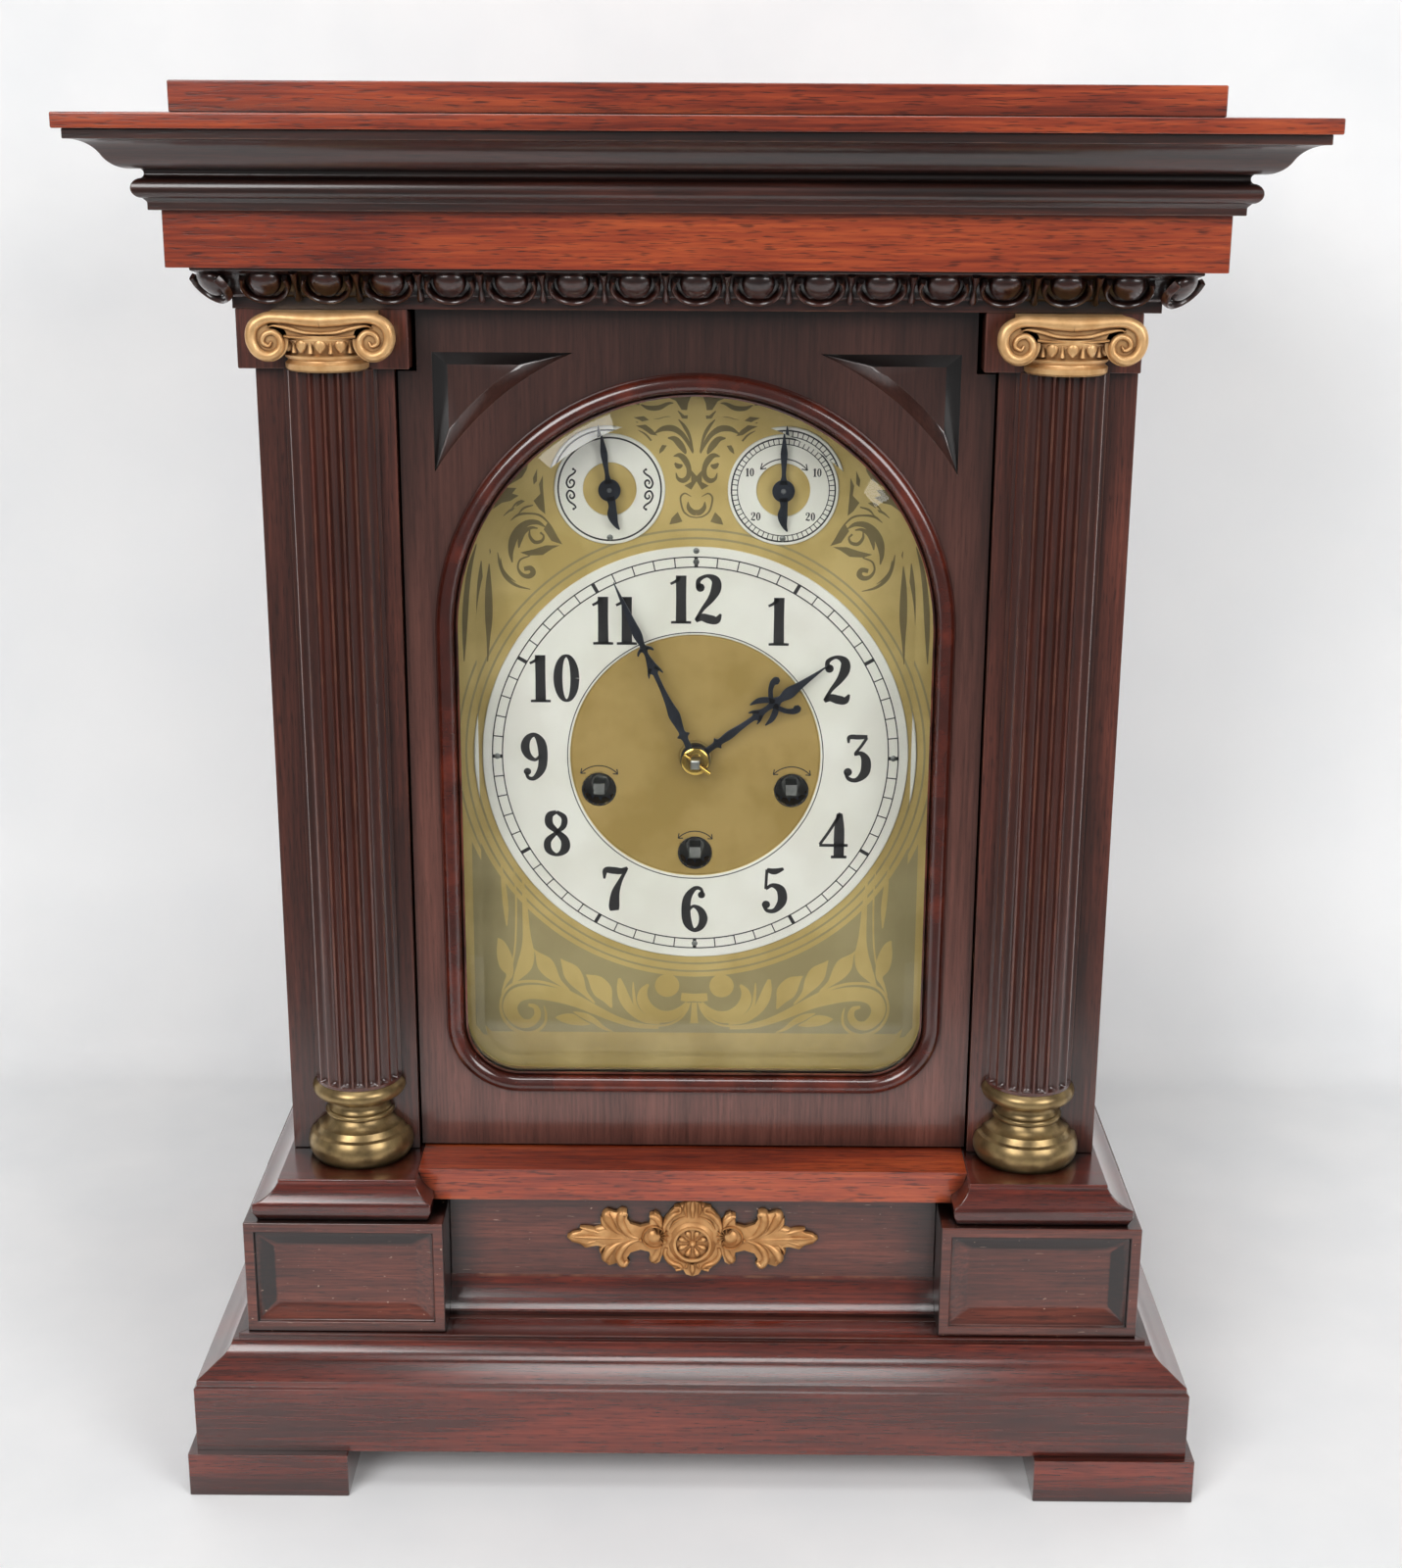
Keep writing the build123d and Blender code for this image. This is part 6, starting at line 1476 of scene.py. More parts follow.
    def winding_holes(self) -> None:
        """Builds the rims of the winding holes with the curved arrows over them."""
        ink = Shape()
        inner, outer = self.hole_radius - 0.1, self.hole_radius + 0.35
        for x, z, arrow in self.winding:
            hole = Place((x, self.face - 0.05, self.middle + z))
            ink.lathe([(inner, -1.4), (outer, -0.02), (outer, 0.12), (inner, 0.12)], hole, steps=40)
            self.arrow(ink, hole, arrow)
        make_piece("winding_hole_rims", ink, self.finishes.ink, Body.CASE)

    def arrow(self, shape: Shape, place: Place, radius: float) -> None:
        """Adds a thin curved arrow with a head at each end.

        Args:
            shape: the ink.
            place: middle of its curve.
            radius: radius of its curve.
        """
        turns = np.radians(np.linspace(*self.arrow_deg, 11))
        Stroke(tuple((radius * math.cos(t), radius * math.sin(t), 0.18) for t in turns), 3).draw(
            shape, place, height=self.ink_mm)
        for deg, way in zip(self.arrow_deg, (1, -1)):
            tip = math.radians(deg)
            back = tip - way * 0.17
            for reach in (radius + 1.05, radius - 1.05):
                barb = ((radius * math.cos(tip), radius * math.sin(tip), 0.16),
                        (reach * math.cos(back), reach * math.sin(back), 0.2))
                Stroke(barb, 2).draw(shape, place, height=self.ink_mm)

    def matting(self) -> None:
        """Builds the matted disc with the winding holes cut out."""
        sectors, rings = 240, 60
        radii = np.linspace(self.matt_hole, self.ring[0] - self.matt_gap, rings + 1)
        turns = np.linspace(0, math.tau, sectors, endpoint=False)
        ids: dict[tuple[int, int], int] = {}
        points, faces = [], []
        for i in range(rings):
            for j in range(sectors):
                radius, turn = (radii[i] + radii[i + 1]) / 2, turns[j] + math.pi / sectors
                x, z = radius * math.cos(turn), radius * math.sin(turn)
                if any(math.hypot(x - hx, z - hz) < self.hole_radius + 0.1 for hx, hz, _ in self.winding):
                    continue
                face = []
                for a, b in ((i, j), (i + 1, j), (i + 1, (j + 1) % sectors), (i, (j + 1) % sectors)):
                    if (a, b) not in ids:
                        ids[(a, b)] = len(points)
                        points.append((radii[a] * math.cos(turns[b]), radii[a] * math.sin(turns[b]),
                                       self.ink_mm))
                    face.append(ids[(a, b)])
                faces.append(tuple(face))
        disc = Shape()
        disc.add(Place((0.0, self.face, self.middle)).at(np.array(points)), faces)
        piece = make_piece("matted_centre", disc, self.finishes.centre, Body.CASE)
        skin = piece.modifiers.new("sheet", "SOLIDIFY")
        skin.thickness = self.ink_mm * MM

    def subdial_ring(self, side: int, name: str, marks: Callable[[Shape, Place], None]) -> None:
        """Builds one subdial.

        Args:
            side: -1 for the left one and 1 for the right one.
            name: the side in words.
            marks: what adds its marks to the ink.
        """
        x, z = side * SUBDIAL_X, self.middle + SUBDIAL_RISE
        ring = Shape()
        ring.lathe(self.ring_profile(self.subdial, self.subdial_hole), Place((x, self.face, z)), steps=96)
        make_piece(f"{name}_subdial", ring, self.finishes.silver, Body.CASE,
                   ("subdial_rings",))
        ink = Shape()
        marks(ink, Place((x, self.ring_face, z)))
        make_piece(f"{name}_subdial_ink", ink, self.finishes.ink, Body.CASE)

    def curls(self, ink: Shape, place: Place) -> None:
        """Adds the left subdial's circle and its four scrolls.

        Args:
            ink: the ink.
            place: middle of the subdial.
        """
        self.circle(ink, place, self.subdial[1] - 1.3, 0.55, 96)
        across, up, radius = self.curl_ball
        for way in (-1, 1):
            for flip in (-1, 1):
                line = tuple((way * x, flip * z, half) for x, z, half in self.curl)
                Stroke(line, 4).draw(ink, place, height=self.ink_mm)
                dot(ink, place, (way * across, flip * up), radius, self.ink_mm)

    def rate_scale(self, ink: Shape, place: Place) -> None:
        """Adds the right subdial's track, figures and arrow.

        Args:
            ink: the ink.
            place: middle of the subdial.
        """
        low, high = (self.subdial[1] - inset for inset in self.rate_track)
        self.circle(ink, place, high, 0.5, 96)
        self.circle(ink, place, low, 0.3, 96)
        for k in range(60):
            self.tick(ink, place, math.tau * k / 60, (low, high), 0.14)
        for deg, text in self.rate_figures:
            turn = math.radians(deg)
            spot = place.moved(self.rate_circle * math.sin(turn), self.rate_circle * math.cos(turn))
            self.figure(ink, spot, text, self.rate_height)
        self.arrow(ink, place, 10.0)

    def etching(self) -> None:
        """Lays the etched grounds on the plate and the bright scrolls that stand in them."""
        place = Place((0.0, self.face, self.middle))
        ground = Shape()
        for spots in ETCHED_ISLANDS:
            self.patch(ground, place, spots)
        # Each line stands a hair higher than the last, so that crossings don't flicker
        for number, points in enumerate(ETCHED_LINES, 1):
            Stroke(points, 4).draw(ground, place, height=(1 + 0.02 * number) * self.ink_mm)
        ground.mirror()
        make_piece("etched_scrolls", ground, self.finishes.etched, Body.CASE)
        ground = Shape()
        across, low = self.lower_ground
        end = math.asin(across / self.ground_ring)
        arc = [(self.ground_ring * math.sin(t), -self.ground_ring * math.cos(t))
               for t in np.linspace(0, end, 24)]
        corner = self.ground_corner
        self.patch(ground, place, ((0.0, low), *arc, (across, low + corner), (across - corner, low)))
        ground.mirror()
        for radius in self.etched_rings:
            self.circle(ground, place, radius, 0.7)
        make_piece("etched_ground", ground, self.finishes.ground, Body.CASE)
        bright = Shape()
        for number, points in enumerate(BRIGHT_LINES):
            Stroke(points, 4).draw(bright, place, height=(2 + 0.1 * number) * self.ink_mm)
        x, z, radius = self.ball
        dot(bright, place, (x, z), radius, 2 * self.ink_mm)
        bright.mirror()
        make_piece("bright_scrolls", bright, self.finishes.plate, Body.CASE)

    def patch(self, shape: Shape, place: Place, spots: tuple[Point, ...]) -> None:
        """Adds a flat patch with the given outline."""
        shape.grid(place.at(np.array([[(x, z, height) for x, z in spots] for height in (0.0, self.ink_mm)])))


# Right half of the etching, from the middle of the ring: outlines of etched islands, etched lines and the
# bright lines left in the lower ground, as (across, up) and (across, up, half width)
ETCHED_ISLANDS: tuple[tuple[Point, ...], ...] = (
    ((24.8, 113.8), (21.4, 115.2), (18, 116.5), (13.2, 117.5), (7.4, 118.3), (1.9, 118.4), (1.5, 116.7),
     (2.7, 113.7), (3, 111.5), (4.7, 111.6), (6.4, 114.4), (10.3, 116.2), (14.6, 116.3), (17, 115),
     (17.8, 113.1), (19.9, 113.5)),
    ((19.4, 109.2), (16.3, 109.6), (14.1, 108), (12.5, 106.1), (14.6, 106.4), (17.4, 108.3)),
    ((12, 100.3), (10.6, 101.3), (9.5, 103), (11, 103.2), (11.8, 101.8)),
    ((43.2, 70.9), (46.7, 72), (49.2, 75.8), (47.8, 78.2), (46.1, 76.1), (44.7, 73.4)),
    ((56.9, 68.2), (54.2, 67.2), (49.6, 67.4), (46.5, 69.5), (44.1, 70.6), (48.5, 70.6), (52.4, 69.3)),
    ((49.2, 93.3), (50.5, 90.4), (50.1, 87.3), (52.3, 85), (50.5, 82.3), (48.6, 80.7), (48.9, 85.2),
     (49.2, 89.3)),
    ((51.5, 97.4), (53.8, 94.5), (57.3, 91.2), (59.2, 87.7), (56.3, 89.3), (54, 90.6), (52.5, 93.1)),
    ((58.9, 87.5), (61.4, 84.8), (63.4, 80.6), (60.4, 82.7), (57.5, 83.3), (55, 84.9), (57.1, 85.6),
     (55.7, 87.3)),
    ((1.8, 95.3), (1.7, 91.4), (3.9, 90.2), (1.7, 88.9), (0, 91.6), (0, 93.3)),
    ((7.9, 79.8), (6, 81.7), (4.5, 78.6), (6.4, 78), (8.7, 77.6)),
)
ETCHED_LINES: Lines = (
    ((73.2, 31.9, 0.15), (72.9, 39.7, 0.7), (72.5, 47.4, 1), (71.8, 55.2, 0.9), (70.6, 62.9, 0.7),
     (68.6, 69.7, 0.15)),
    ((68.2, 31.9, 0.15), (67.8, 39.7, 0.6), (67.5, 46.5, 1.2), (67.4, 53.2, 1.2), (67.3, 59.1, 0.8),
     (67, 64.4, 0.15)),
    ((64.2, 68.2, 0.12), (63.4, 63.9, 0.5), (61.6, 60, 0.6), (58.2, 57.3, 0.45), (53.8, 56.1, 0.12)),
    ((63.3, 66.3, 0.12), (62.7, 62.9, 0.3), (61, 60.4, 0.35), (58.5, 58.5, 0.1)),
    ((59.5, 64.9, 0.2), (59.9, 68.2, 0.8), (59.2, 72.1, 1.3), (57.3, 75.5, 1.3), (54.4, 77.8, 1),
     (51.1, 78, 0.7), (48.6, 76.5, 0.2)),
    ((57.3, 69.7, 0.2), (56.9, 72.1, 0.7), (55.6, 74.9, 0.8), (53.2, 76.3, 0.5), (51.1, 76.1, 0.2)),
    ((53.7, 75.7, 0.15), (53.7, 73.5, 0.45), (52.1, 71.6, 0.6), (49.9, 72, 0.5), (49.2, 73.6, 0.3),
     (50.3, 74.8, 0.35)),
    ((55.7, 62.8, 0.7), (53.6, 63.1, 0.8), (52.8, 61.6, 0.9), (54.2, 60.4, 0.8), (56.3, 60.9, 0.6),
     (57.7, 63.1, 0.35), (56.9, 65.8, 0.3), (53.8, 67.1, 0.2)),
    ((59.8, 78.6, 0.12), (57.2, 80.5, 0.4), (53.4, 80.9, 0.3), (50.1, 80.2, 0.35), (47.4, 77.6, 0.25),
     (45.7, 75.1, 0.1)),
    ((57.3, 80.7, 0.12), (55.4, 82.7, 0.35), (52.5, 83.6, 0.2)),
    ((17.2, 113.3, 0.15), (14.7, 112.2, 0.7), (11.6, 112.3, 0.8), (8.9, 113.6, 0.5), (7.2, 113.8, 0.12)),
    ((18.6, 107.8, 0.12), (16.3, 106.5, 0.3), (14.5, 104.5, 0.3)),
    ((13.7, 106.7, 0.15), (10.8, 108.3, 0.8), (7.6, 108.4, 1), (4.8, 106.7, 0.8), (2.7, 103.8, 0.6),
     (1.2, 100.5, 0.15)),
    ((5.8, 111.3, 0.15), (3.9, 109, 0.55), (2.3, 105.9, 0.5), (1, 100.9, 0.12)),
    ((9.2, 105.4, 0.2), (7, 105.1, 0.9), (5.2, 103.2, 1.1), (3.9, 101.3, 0.7), (3.5, 100.3, 0.2)),
    ((7.4, 99.6, 0.15), (5.4, 99.9, 0.8), (3.7, 98.4, 1), (2.5, 95.8, 0.8), (2.7, 93.1, 0.8),
     (4.3, 91.8, 0.8), (6, 92.5, 0.5), (6.6, 94.3, 0.15)),
    ((4.5, 96.8, 0.3), (5.8, 96.4, 0.9), (7, 97.4, 0.3)),
    ((1.7, 86.7, 0.1), (3.7, 87.7, 0.25), (5, 86.7, 0.3), (5, 84.8, 0.3), (4.1, 81.9, 0.3),
     (2.1, 80.3, 0.25), (0, 79.9, 0.2)),
    ((2.7, 85, 0.15), (2.5, 83.1, 0.7), (1.2, 81.7, 0.9), (0, 81.5, 0.9)),
)
BRIGHT_LINES: Lines = (
    ((56.9, -88.7, 0.5), (54.4, -89.6, 0.9), (53.8, -92.5, 1.2), (55.8, -95.2, 1.4), (59.2, -95.5, 1.8),
     (62.1, -92.9, 2.2), (63.1, -89.3, 2.5), (61.2, -85.6, 2.7), (57.1, -84.1, 2.6), (51.9, -84.2, 2.6),
     (46.1, -85.4, 2.5), (40.3, -87.3, 2.2), (34, -90.4, 1.7), (27.2, -93.7, 1.2), (19.9, -96.2, 0.8),
     (12.2, -96.8, 0.5)),
    ((51.5, -89.1, 0.12), (50.9, -92, 0.4), (51.3, -95.5, 0.5), (54.2, -98.4, 0.55), (58.5, -99.1, 0.55),
     (63.1, -97, 0.55), (65.8, -92.9, 0.5), (66.4, -88.5, 0.45), (65.1, -84.2, 0.45), (62, -81.2, 0.5),
     (57.3, -80.1, 0.5), (51.3, -80.5, 0.5), (44.7, -82.9, 0.5), (38.3, -86.4, 0.5), (31.9, -90.2, 0.45),
     (25.4, -93.5, 0.4), (18, -95.7, 0.35), (10.3, -96, 0.35), (5.4, -93.9, 0.4), (2.7, -90.6, 0.4),
     (1.5, -87.5, 0.3)),
    ((42.8, -83.2, 0.3), (46.5, -80, 1.1), (49.2, -76.5, 2.5), (51.3, -73.2, 2.7), (53.6, -69.9, 0.7),
     (54.8, -68.3, 0.15)),
    ((34.1, -87.9, 0.3), (37.6, -84, 1), (40.1, -79.8, 2.6), (42.2, -76.3, 2.8), (44.7, -73, 0.8),
     (45.5, -71.8, 0.15)),
    ((28.3, -89.6, 0.3), (29.6, -86.7, 1.6), (31.2, -83.6, 3.2), (33.5, -80.3, 2.7), (36, -78.2, 0.8),
     (37, -77.6, 0.15)),
    ((25.6, -78.8, 0.5), (25, -82.3, 1.5), (23.8, -86.4, 1.9), (21.3, -90.6, 1.5), (17, -94.1, 0.9),
     (11.8, -95.3, 0.4)),
    ((66, -84.6, 0.15), (64.5, -80.7, 0.6), (63.1, -77.6, 1.2), (64.1, -74.2, 2.4), (64.9, -70.3, 2.4),
     (65.8, -66.4, 1.4), (66.8, -64.5, 0.2)),
    ((62, -80.9, 0.3), (60, -77.8, 1.6), (57.9, -74.3, 2.6), (56.9, -70.1, 2.4), (56.9, -65.4, 1.6),
     (57.1, -61, 1.2), (57.5, -51.3, 0.8), (58.1, -41.6, 0.2)),
    ((65.1, -81.3, 0.2), (62.5, -75.1, 0.3), (61.2, -68.7, 0.3), (60.6, -61, 0.3), (60.4, -49.4, 0.3),
     (60.8, -39.7, 0.15)),
    ((63.7, -60, 0.2), (63.9, -53.2, 0.9), (64.5, -45.5, 0.8), (65.2, -37.8, 0.15)),
    ((15.7, -80.9, 0.4), (17.4, -83.4, 1.4), (17.6, -86.7, 2), (15.7, -90, 2.1), (12, -92.2, 1.9),
     (7.9, -92, 1.5), (4.5, -89.8, 0.9), (2.5, -87.5, 0.5)),
    ((20.9, -80.2, 0.2), (20.7, -84.6, 0.5), (19.9, -89.1, 0.6), (17, -92.5, 0.6), (12.6, -94.3, 0.6),
     (7.7, -93.9, 0.5), (4.1, -91.4, 0.4), (1.9, -87.7, 0.3)),
    ((47.6, -93.3, 0.15), (45.5, -93.5, 1.3), (42.2, -93.9, 2), (38.9, -95.1, 1.2), (35.8, -95.7, 0.2)),
    ((41.4, -91.2, 0.2), (37.6, -92.7, 1.1), (34.3, -94.5, 1), (31.2, -97, 0.6), (28.1, -98.4, 0.2)),
    ((0, -87.5, 0.9), (0, -91, 1), (0, -95.1, 1.4)),
    ((0, -85.6, 1.3), (2.5, -85.6, 1.5), (4.5, -85.4, 1.4)),
)


# The hands

# Lines of the hands from their axis, as (across, up, half width); scrolls are repeated on the other side
MINUTE_SPEAR: Lines = (
    ((0, 3, 1.6), (0, 6.5, 1), (0, 8.6, 1.2), (0, 9.6, 2.2), (0, 10.6, 1.1), (0, 13, 1.3), (0, 17, 1.9),
     (0, 21, 1.3), (0, 26, 0.85), (0, 31, 0.8), (0, 32.4, 1), (0, 33.4, 2.1), (0, 35.5, 1.5),
     (0, 38.5, 0.8), (0, 40.2, 0.8), (0, 41.4, 1.9), (0, 42.6, 0.9), (0, 46.5, 1.5), (0, 52, 1.1),
     (0, 65.3, 0.12)),
)
MINUTE_SCROLLS: Lines = (
    ((0.6, 34.6, 0.7), (1.8, 33.2, 0.5), (2.5, 31.6, 0.15)),
    ((0.4, 41.2, 0.4), (1.9, 40.9, 0.5), (2.8, 39.8, 0.25)),
)
HOUR_SPEAR: Lines = (
    ((0, 3, 1.4), (0, 6, 1), (0, 8.2, 1.1), (0, 9.2, 2.1), (0, 10.2, 1.1), (0, 14, 1.4), (0, 18, 1),
     (0, 22, 0.8), (0, 24, 1), (0, 25, 2.1), (0, 27.6, 1), (0, 30.4, 1), (0, 32.4, 1.9), (0, 34.6, 1.1),
     (0, 38, 1.9), (0, 42, 1.3), (0, 47, 0.7), (0, 53.6, 0.12)),
)
HOUR_SCROLLS: Lines = (
    ((0.4, 31.4, 0.7), (2.6, 32.6, 0.8), (4.6, 34, 0.8), (5.9, 35.8, 1), (5.9, 37.2, 1.3),
     (5.7, 38.3, 0.6)),
    ((0.4, 32.8, 0.7), (2.3, 31, 1), (3.8, 28.4, 0.9), (4.3, 25.4, 0.2)),
    ((0.5, 26.4, 0.6), (1.7, 25, 0.5), (2.4, 23.4, 0.15)),
)
SMALL_HAND: Lines = (
    ((0, 2, 1.5), (0, 5, 0.7), (0, 9, 0.9), (0, 12, 1.1), (0, 15, 0.7), (0, 18.6, 0.15)),
    ((0, -2, 1.5), (0.2, -5, 1.2), (-0.2, -8, 1.6), (0.4, -11, 0.9), (1.4, -13, 0.2)),
)


@dataclass
class Hands:
    """Blued steel hands with cut scrolls, their brass washer, nose and taper pin."""

    finishes: Finishes
    minute_deg: float = -24.0
    hour_deg: float = 53.5
    sheet: float = 0.9
    thick: float = 0.8
    hub: float = 2.2
    boss: float = 4.9
    small_boss: float = 3.6
    nose_reach: float = 2.4
    nose_half: float = 1.53
    washer_rise: float = 1.0
    pin_lean_deg: float = -38.0

    def pointer(self, name: str, node: str, body: Body, centre: Point, degrees: float, boss: float,
                lines: Lines, both: Lines = ()) -> None:
        """Builds one hand.

        Args:
            name: name of the piece.
            node: CAD node that it stands for.
            body: body that it rides on.
            centre: its axis as (x, z).
            degrees: its angle, clockwise from twelve.
            boss: radius of its round middle.
            lines: strokes on its line, in millimetres.
            both: strokes that are repeated on its other side.
        """
        turn = math.radians(degrees)
        back = node_span(node)[0][1] + self.sheet
        place = Place((centre[0], back, centre[1]), (math.cos(turn), 0, -math.sin(turn)),
                      (math.sin(turn), 0, math.cos(turn)))
        shape = Shape()
        for points in lines:
            Stroke(points, 5).draw(shape, place, height=self.thick)
        for points in both:
            for side in (1, -1):
                mirrored = tuple((side * x, z, w) for x, z, w in points)
                Stroke(mirrored, 5).draw(shape, place, height=self.thick)
        shape.lathe([(0.0, 0.0), (boss, 0.0), (boss, self.thick), (0.0, self.thick)], place, steps=40)
        make_piece(name, shape, self.finishes.blued, body, (node,), 30.0, 0.12)

    def build(self) -> None:
        """Builds the hands and what holds them."""
        ring_low, ring_high = node_span("chapter_ring")
        z = (ring_low[2] + ring_high[2]) / 2
        self.pointer("minute_pointer", "minute_hand", Body.MINUTE, (0.0, z), self.minute_deg, self.boss,
                     MINUTE_SPEAR, MINUTE_SCROLLS)
        self.pointer("hour_pointer", "hour_hand", Body.HOUR, (0.0, z), self.hour_deg, self.boss,
                     HOUR_SPEAR, HOUR_SCROLLS)
        self.nose(z)
        for side, body, node, degrees in ((-1, Body.CHIME_HAND, "chime_hand", -8.0),
                                          (1, Body.REGULATOR_HAND, "regulator_hand", 0.0)):
            self.small_pointer(body, node, degrees, (side * SUBDIAL_X, z + SUBDIAL_RISE))

    def nose(self, z: float) -> None:
        """Builds the washer, the square end of the arbor and the pin through it.

        Args:
            z: height of the arbor.
        """
        low, high = node_span("hand_washer")
        front, back = low[1], high[1]
        place = Place((0.0, back, z))
        rise = self.washer_rise
        ring = Shape()
        ring.lathe([(1.6, 0.0), (4.6, 0.0), (4.6, rise * 0.6), (3.9, rise), (2.6, rise * 0.9),
                    (1.6, rise * 0.5)], place, steps=48)
        make_piece("brass_hand_washer", ring, self.finishes.bright, Body.MINUTE,
                   ("hand_washer",))
        half, tip = self.nose_half, back - front + self.nose_reach
        square = ((-half, -half), (half, -half), (half, half), (-half, half))
        rows = [[(x * share, u * share, height) for x, u in square]
                for share, height in ((1.0, 0.0), (1.0, tip - 0.4), (0.72, tip))]
        end = Shape()
        end.grid(place.at(np.array(rows)))
        make_piece("arbor_nose", end, self.finishes.square, Body.MINUTE, (), 20.0, 0.1)
        lean = math.radians(self.pin_lean_deg)
        axis = Place((0.0, back - rise - 0.75, z), (0, 1, 0), (-math.sin(lean), 0, math.cos(lean)),
                     (math.cos(lean), 0, math.sin(lean)))
        pin = Shape()
        pin.lathe([(0.0, -4.6), (0.42, -4.6), (0.75, 6.0), (0.0, 6.0)], axis, steps=16)
        make_piece("taper_pin", pin, self.finishes.bright, Body.MINUTE)

    def small_pointer(self, body: Body, node: str, degrees: float, centre: Point) -> None:
        """Builds the hand of one subdial with its hub and pin.

        Args:
            body: body that it rides on.
            node: CAD node that it stands for.
            degrees: its angle, clockwise from the top.
            centre: its axis as (x, z).
        """
        self.pointer(f"{node}_pointer", node, body, centre, degrees, self.small_boss, SMALL_HAND)
        room = self.hub - 0.02
        place = Place((centre[0], node_span(node)[0][1] + self.hub, centre[1]))
        hub = Shape()
        hub.lathe([(0.0, 0.0), (3.4, 0.0), (3.2, room * 0.45), (2.2, room * 0.7), (0.0, room * 0.72)],
                  place, steps=32)
        make_piece(f"{node}_hub", hub, self.finishes.blued, body)
        pin = Shape()
        pin.lathe([(0.0, room * 0.5), (0.95, room * 0.5), (0.8, room * 0.98), (0.0, room)], place, steps=20)
        make_piece(f"{node}_pin", pin, self.finishes.steel, body)


# The ornament


@dataclass
class Ornament:
    """Cast brass mount on the plinth: a rosette, with shells, scrolls and a leaf at each side."""

    finishes: Finishes
    node: str = "brass_ornament"
    half_length: float = 42.4
    half_height: float = 14.3
    rosette_z: float = -1.7
    ring: Span = (5.4, 6.7)
    # Places and radii of the right shell and pin
    shell: Spot = (12.8, 0.5, 3.5)
    pin: Spot = (17.4, -0.4, 0.8)
    # Body of the mount, as (share of its outline, rise)
    body: tuple[Span, ...] = ((1.0, 0.0), (1.0, 1.3), (0.985, 1.7))
    # Rays of a shell and petals of the rosette, as (reach, half width)
    ray: tuple[Point, ...] = ((0.6, 0.25), (2.2, 0.4), (3.4, 0.25))
    petal: tuple[Point, ...] = ((1.5, 0.5), (2.6, 0.95), (4.0, 1.4), (5.1, 0.9))
    petals: int = 8
    rays: int = 7

    def build(self) -> None:
        """Builds the mount."""
        low, high = node_span(self.node)
        place = Place((0.0, high[1], (low[2] + high[2]) / 2))
        relief = Shape()
        for points, rise in ORNAMENT_LINES:
            inside = tuple((min(x, self.half_length), max(min(z, self.half_height), -self.half_height), w)
                           for x, z, w in points)
            Stroke(inside, 5).draw(relief, place, height=rise, section=Section.ROUND)
        half = [(x * self.half_length, z * self.half_height) for x, z in MOUNT_SHARES]
        loop = half + [(x, -z) for x, z in reversed(half[:-1])]
        relief.grid(place.at(np.array([[(x * s, z * s, rise) for x, z in loop] for s, rise in self.body])))
        self.shells(relief, place)
        relief.mirror()
        self.rosette(relief, place)
        make_piece("cast_mount", relief, self.finishes.ormolu, Body.CASE, (self.node,), 60.0)

    def shells(self, shape: Shape, place: Place) -> None:
        """Adds the right shell in its socket, and the pin beyond it.

        Args:
            shape: the relief.
            place: middle of the mount.
        """
        x, z, radius = self.shell
        socket = radius + 0.5
        rim = tuple((x + socket * math.cos(t), z + socket * math.sin(t), 0.45)
                    for t in np.radians(np.linspace(-130, 130, 13)))
        Stroke(rim, 3).draw(shape, place, height=2.7, section=Section.ROUND)
        dot(shape, place, (x, z), radius, 2.9, Section.ROUND, 28)
        for k in range(self.rays):
            turn = math.radians(150 - 30 * (k - (self.rays - 1) / 2))
            line = tuple((x - 1.4 + r * math.cos(turn), z + 0.6 + r * math.sin(turn), w) for r, w in self.ray)
            Stroke(line, 3).draw(shape, place, height=3.2, section=Section.ROUND)
        dot(shape, place, self.pin[:2], self.pin[2], 3.1, Section.ROUND, 16)

    def rosette(self, shape: Shape, place: Place) -> None:
        """Adds the round middle with its ring and petals.

        Args:
            shape: the relief.
            place: middle of the mount.
        """
        inner, outer = self.ring
        middle = place.moved(0.0, self.rosette_z)
        shape.lathe([(0.0, 0.0), (outer + 1.6, 0.0), (outer + 1.2, 1.8), (outer, 2.2), (outer - 0.3, 2.9),
                     (inner + 0.2, 2.9), (inner, 1.7), (0.0, 1.5)], middle, steps=60)
        for k in range(self.petals):
            turn = math.tau * (k + 0.5) / self.petals
            line = tuple((r * math.cos(turn), r * math.sin(turn), w) for r, w in self.petal)
            Stroke(line, 4).draw(shape, middle, height=3.0, section=Section.ROUND)
        dot(shape, middle, (0.0, 0.0), 1.6, 3.5, Section.ROUND)


# Upper right edge of the mount's body, as shares of its half length and half height
MOUNT_SHARES: tuple[Point, ...] = (
    (0, 1), (0.05, 0.95), (0.08, 0.80), (0.13, 0.84), (0.18, 0.68), (0.215, 0.48), (0.24, 0.40),
    (0.265, 0.62), (0.30, 0.68), (0.335, 0.54), (0.345, 0.36), (0.42, 0.30), (0.50, 0.38), (0.53, 0.52),
    (0.52, 0.64), (0.55, 0.74), (0.61, 0.66), (0.67, 0.72), (0.715, 0.60), (0.72, 0.42), (0.70, 0.24),
    (0.78, 0.20), (0.86, 0.26), (0.90, 0.16), (0.96, 0.12), (1, 0),
)
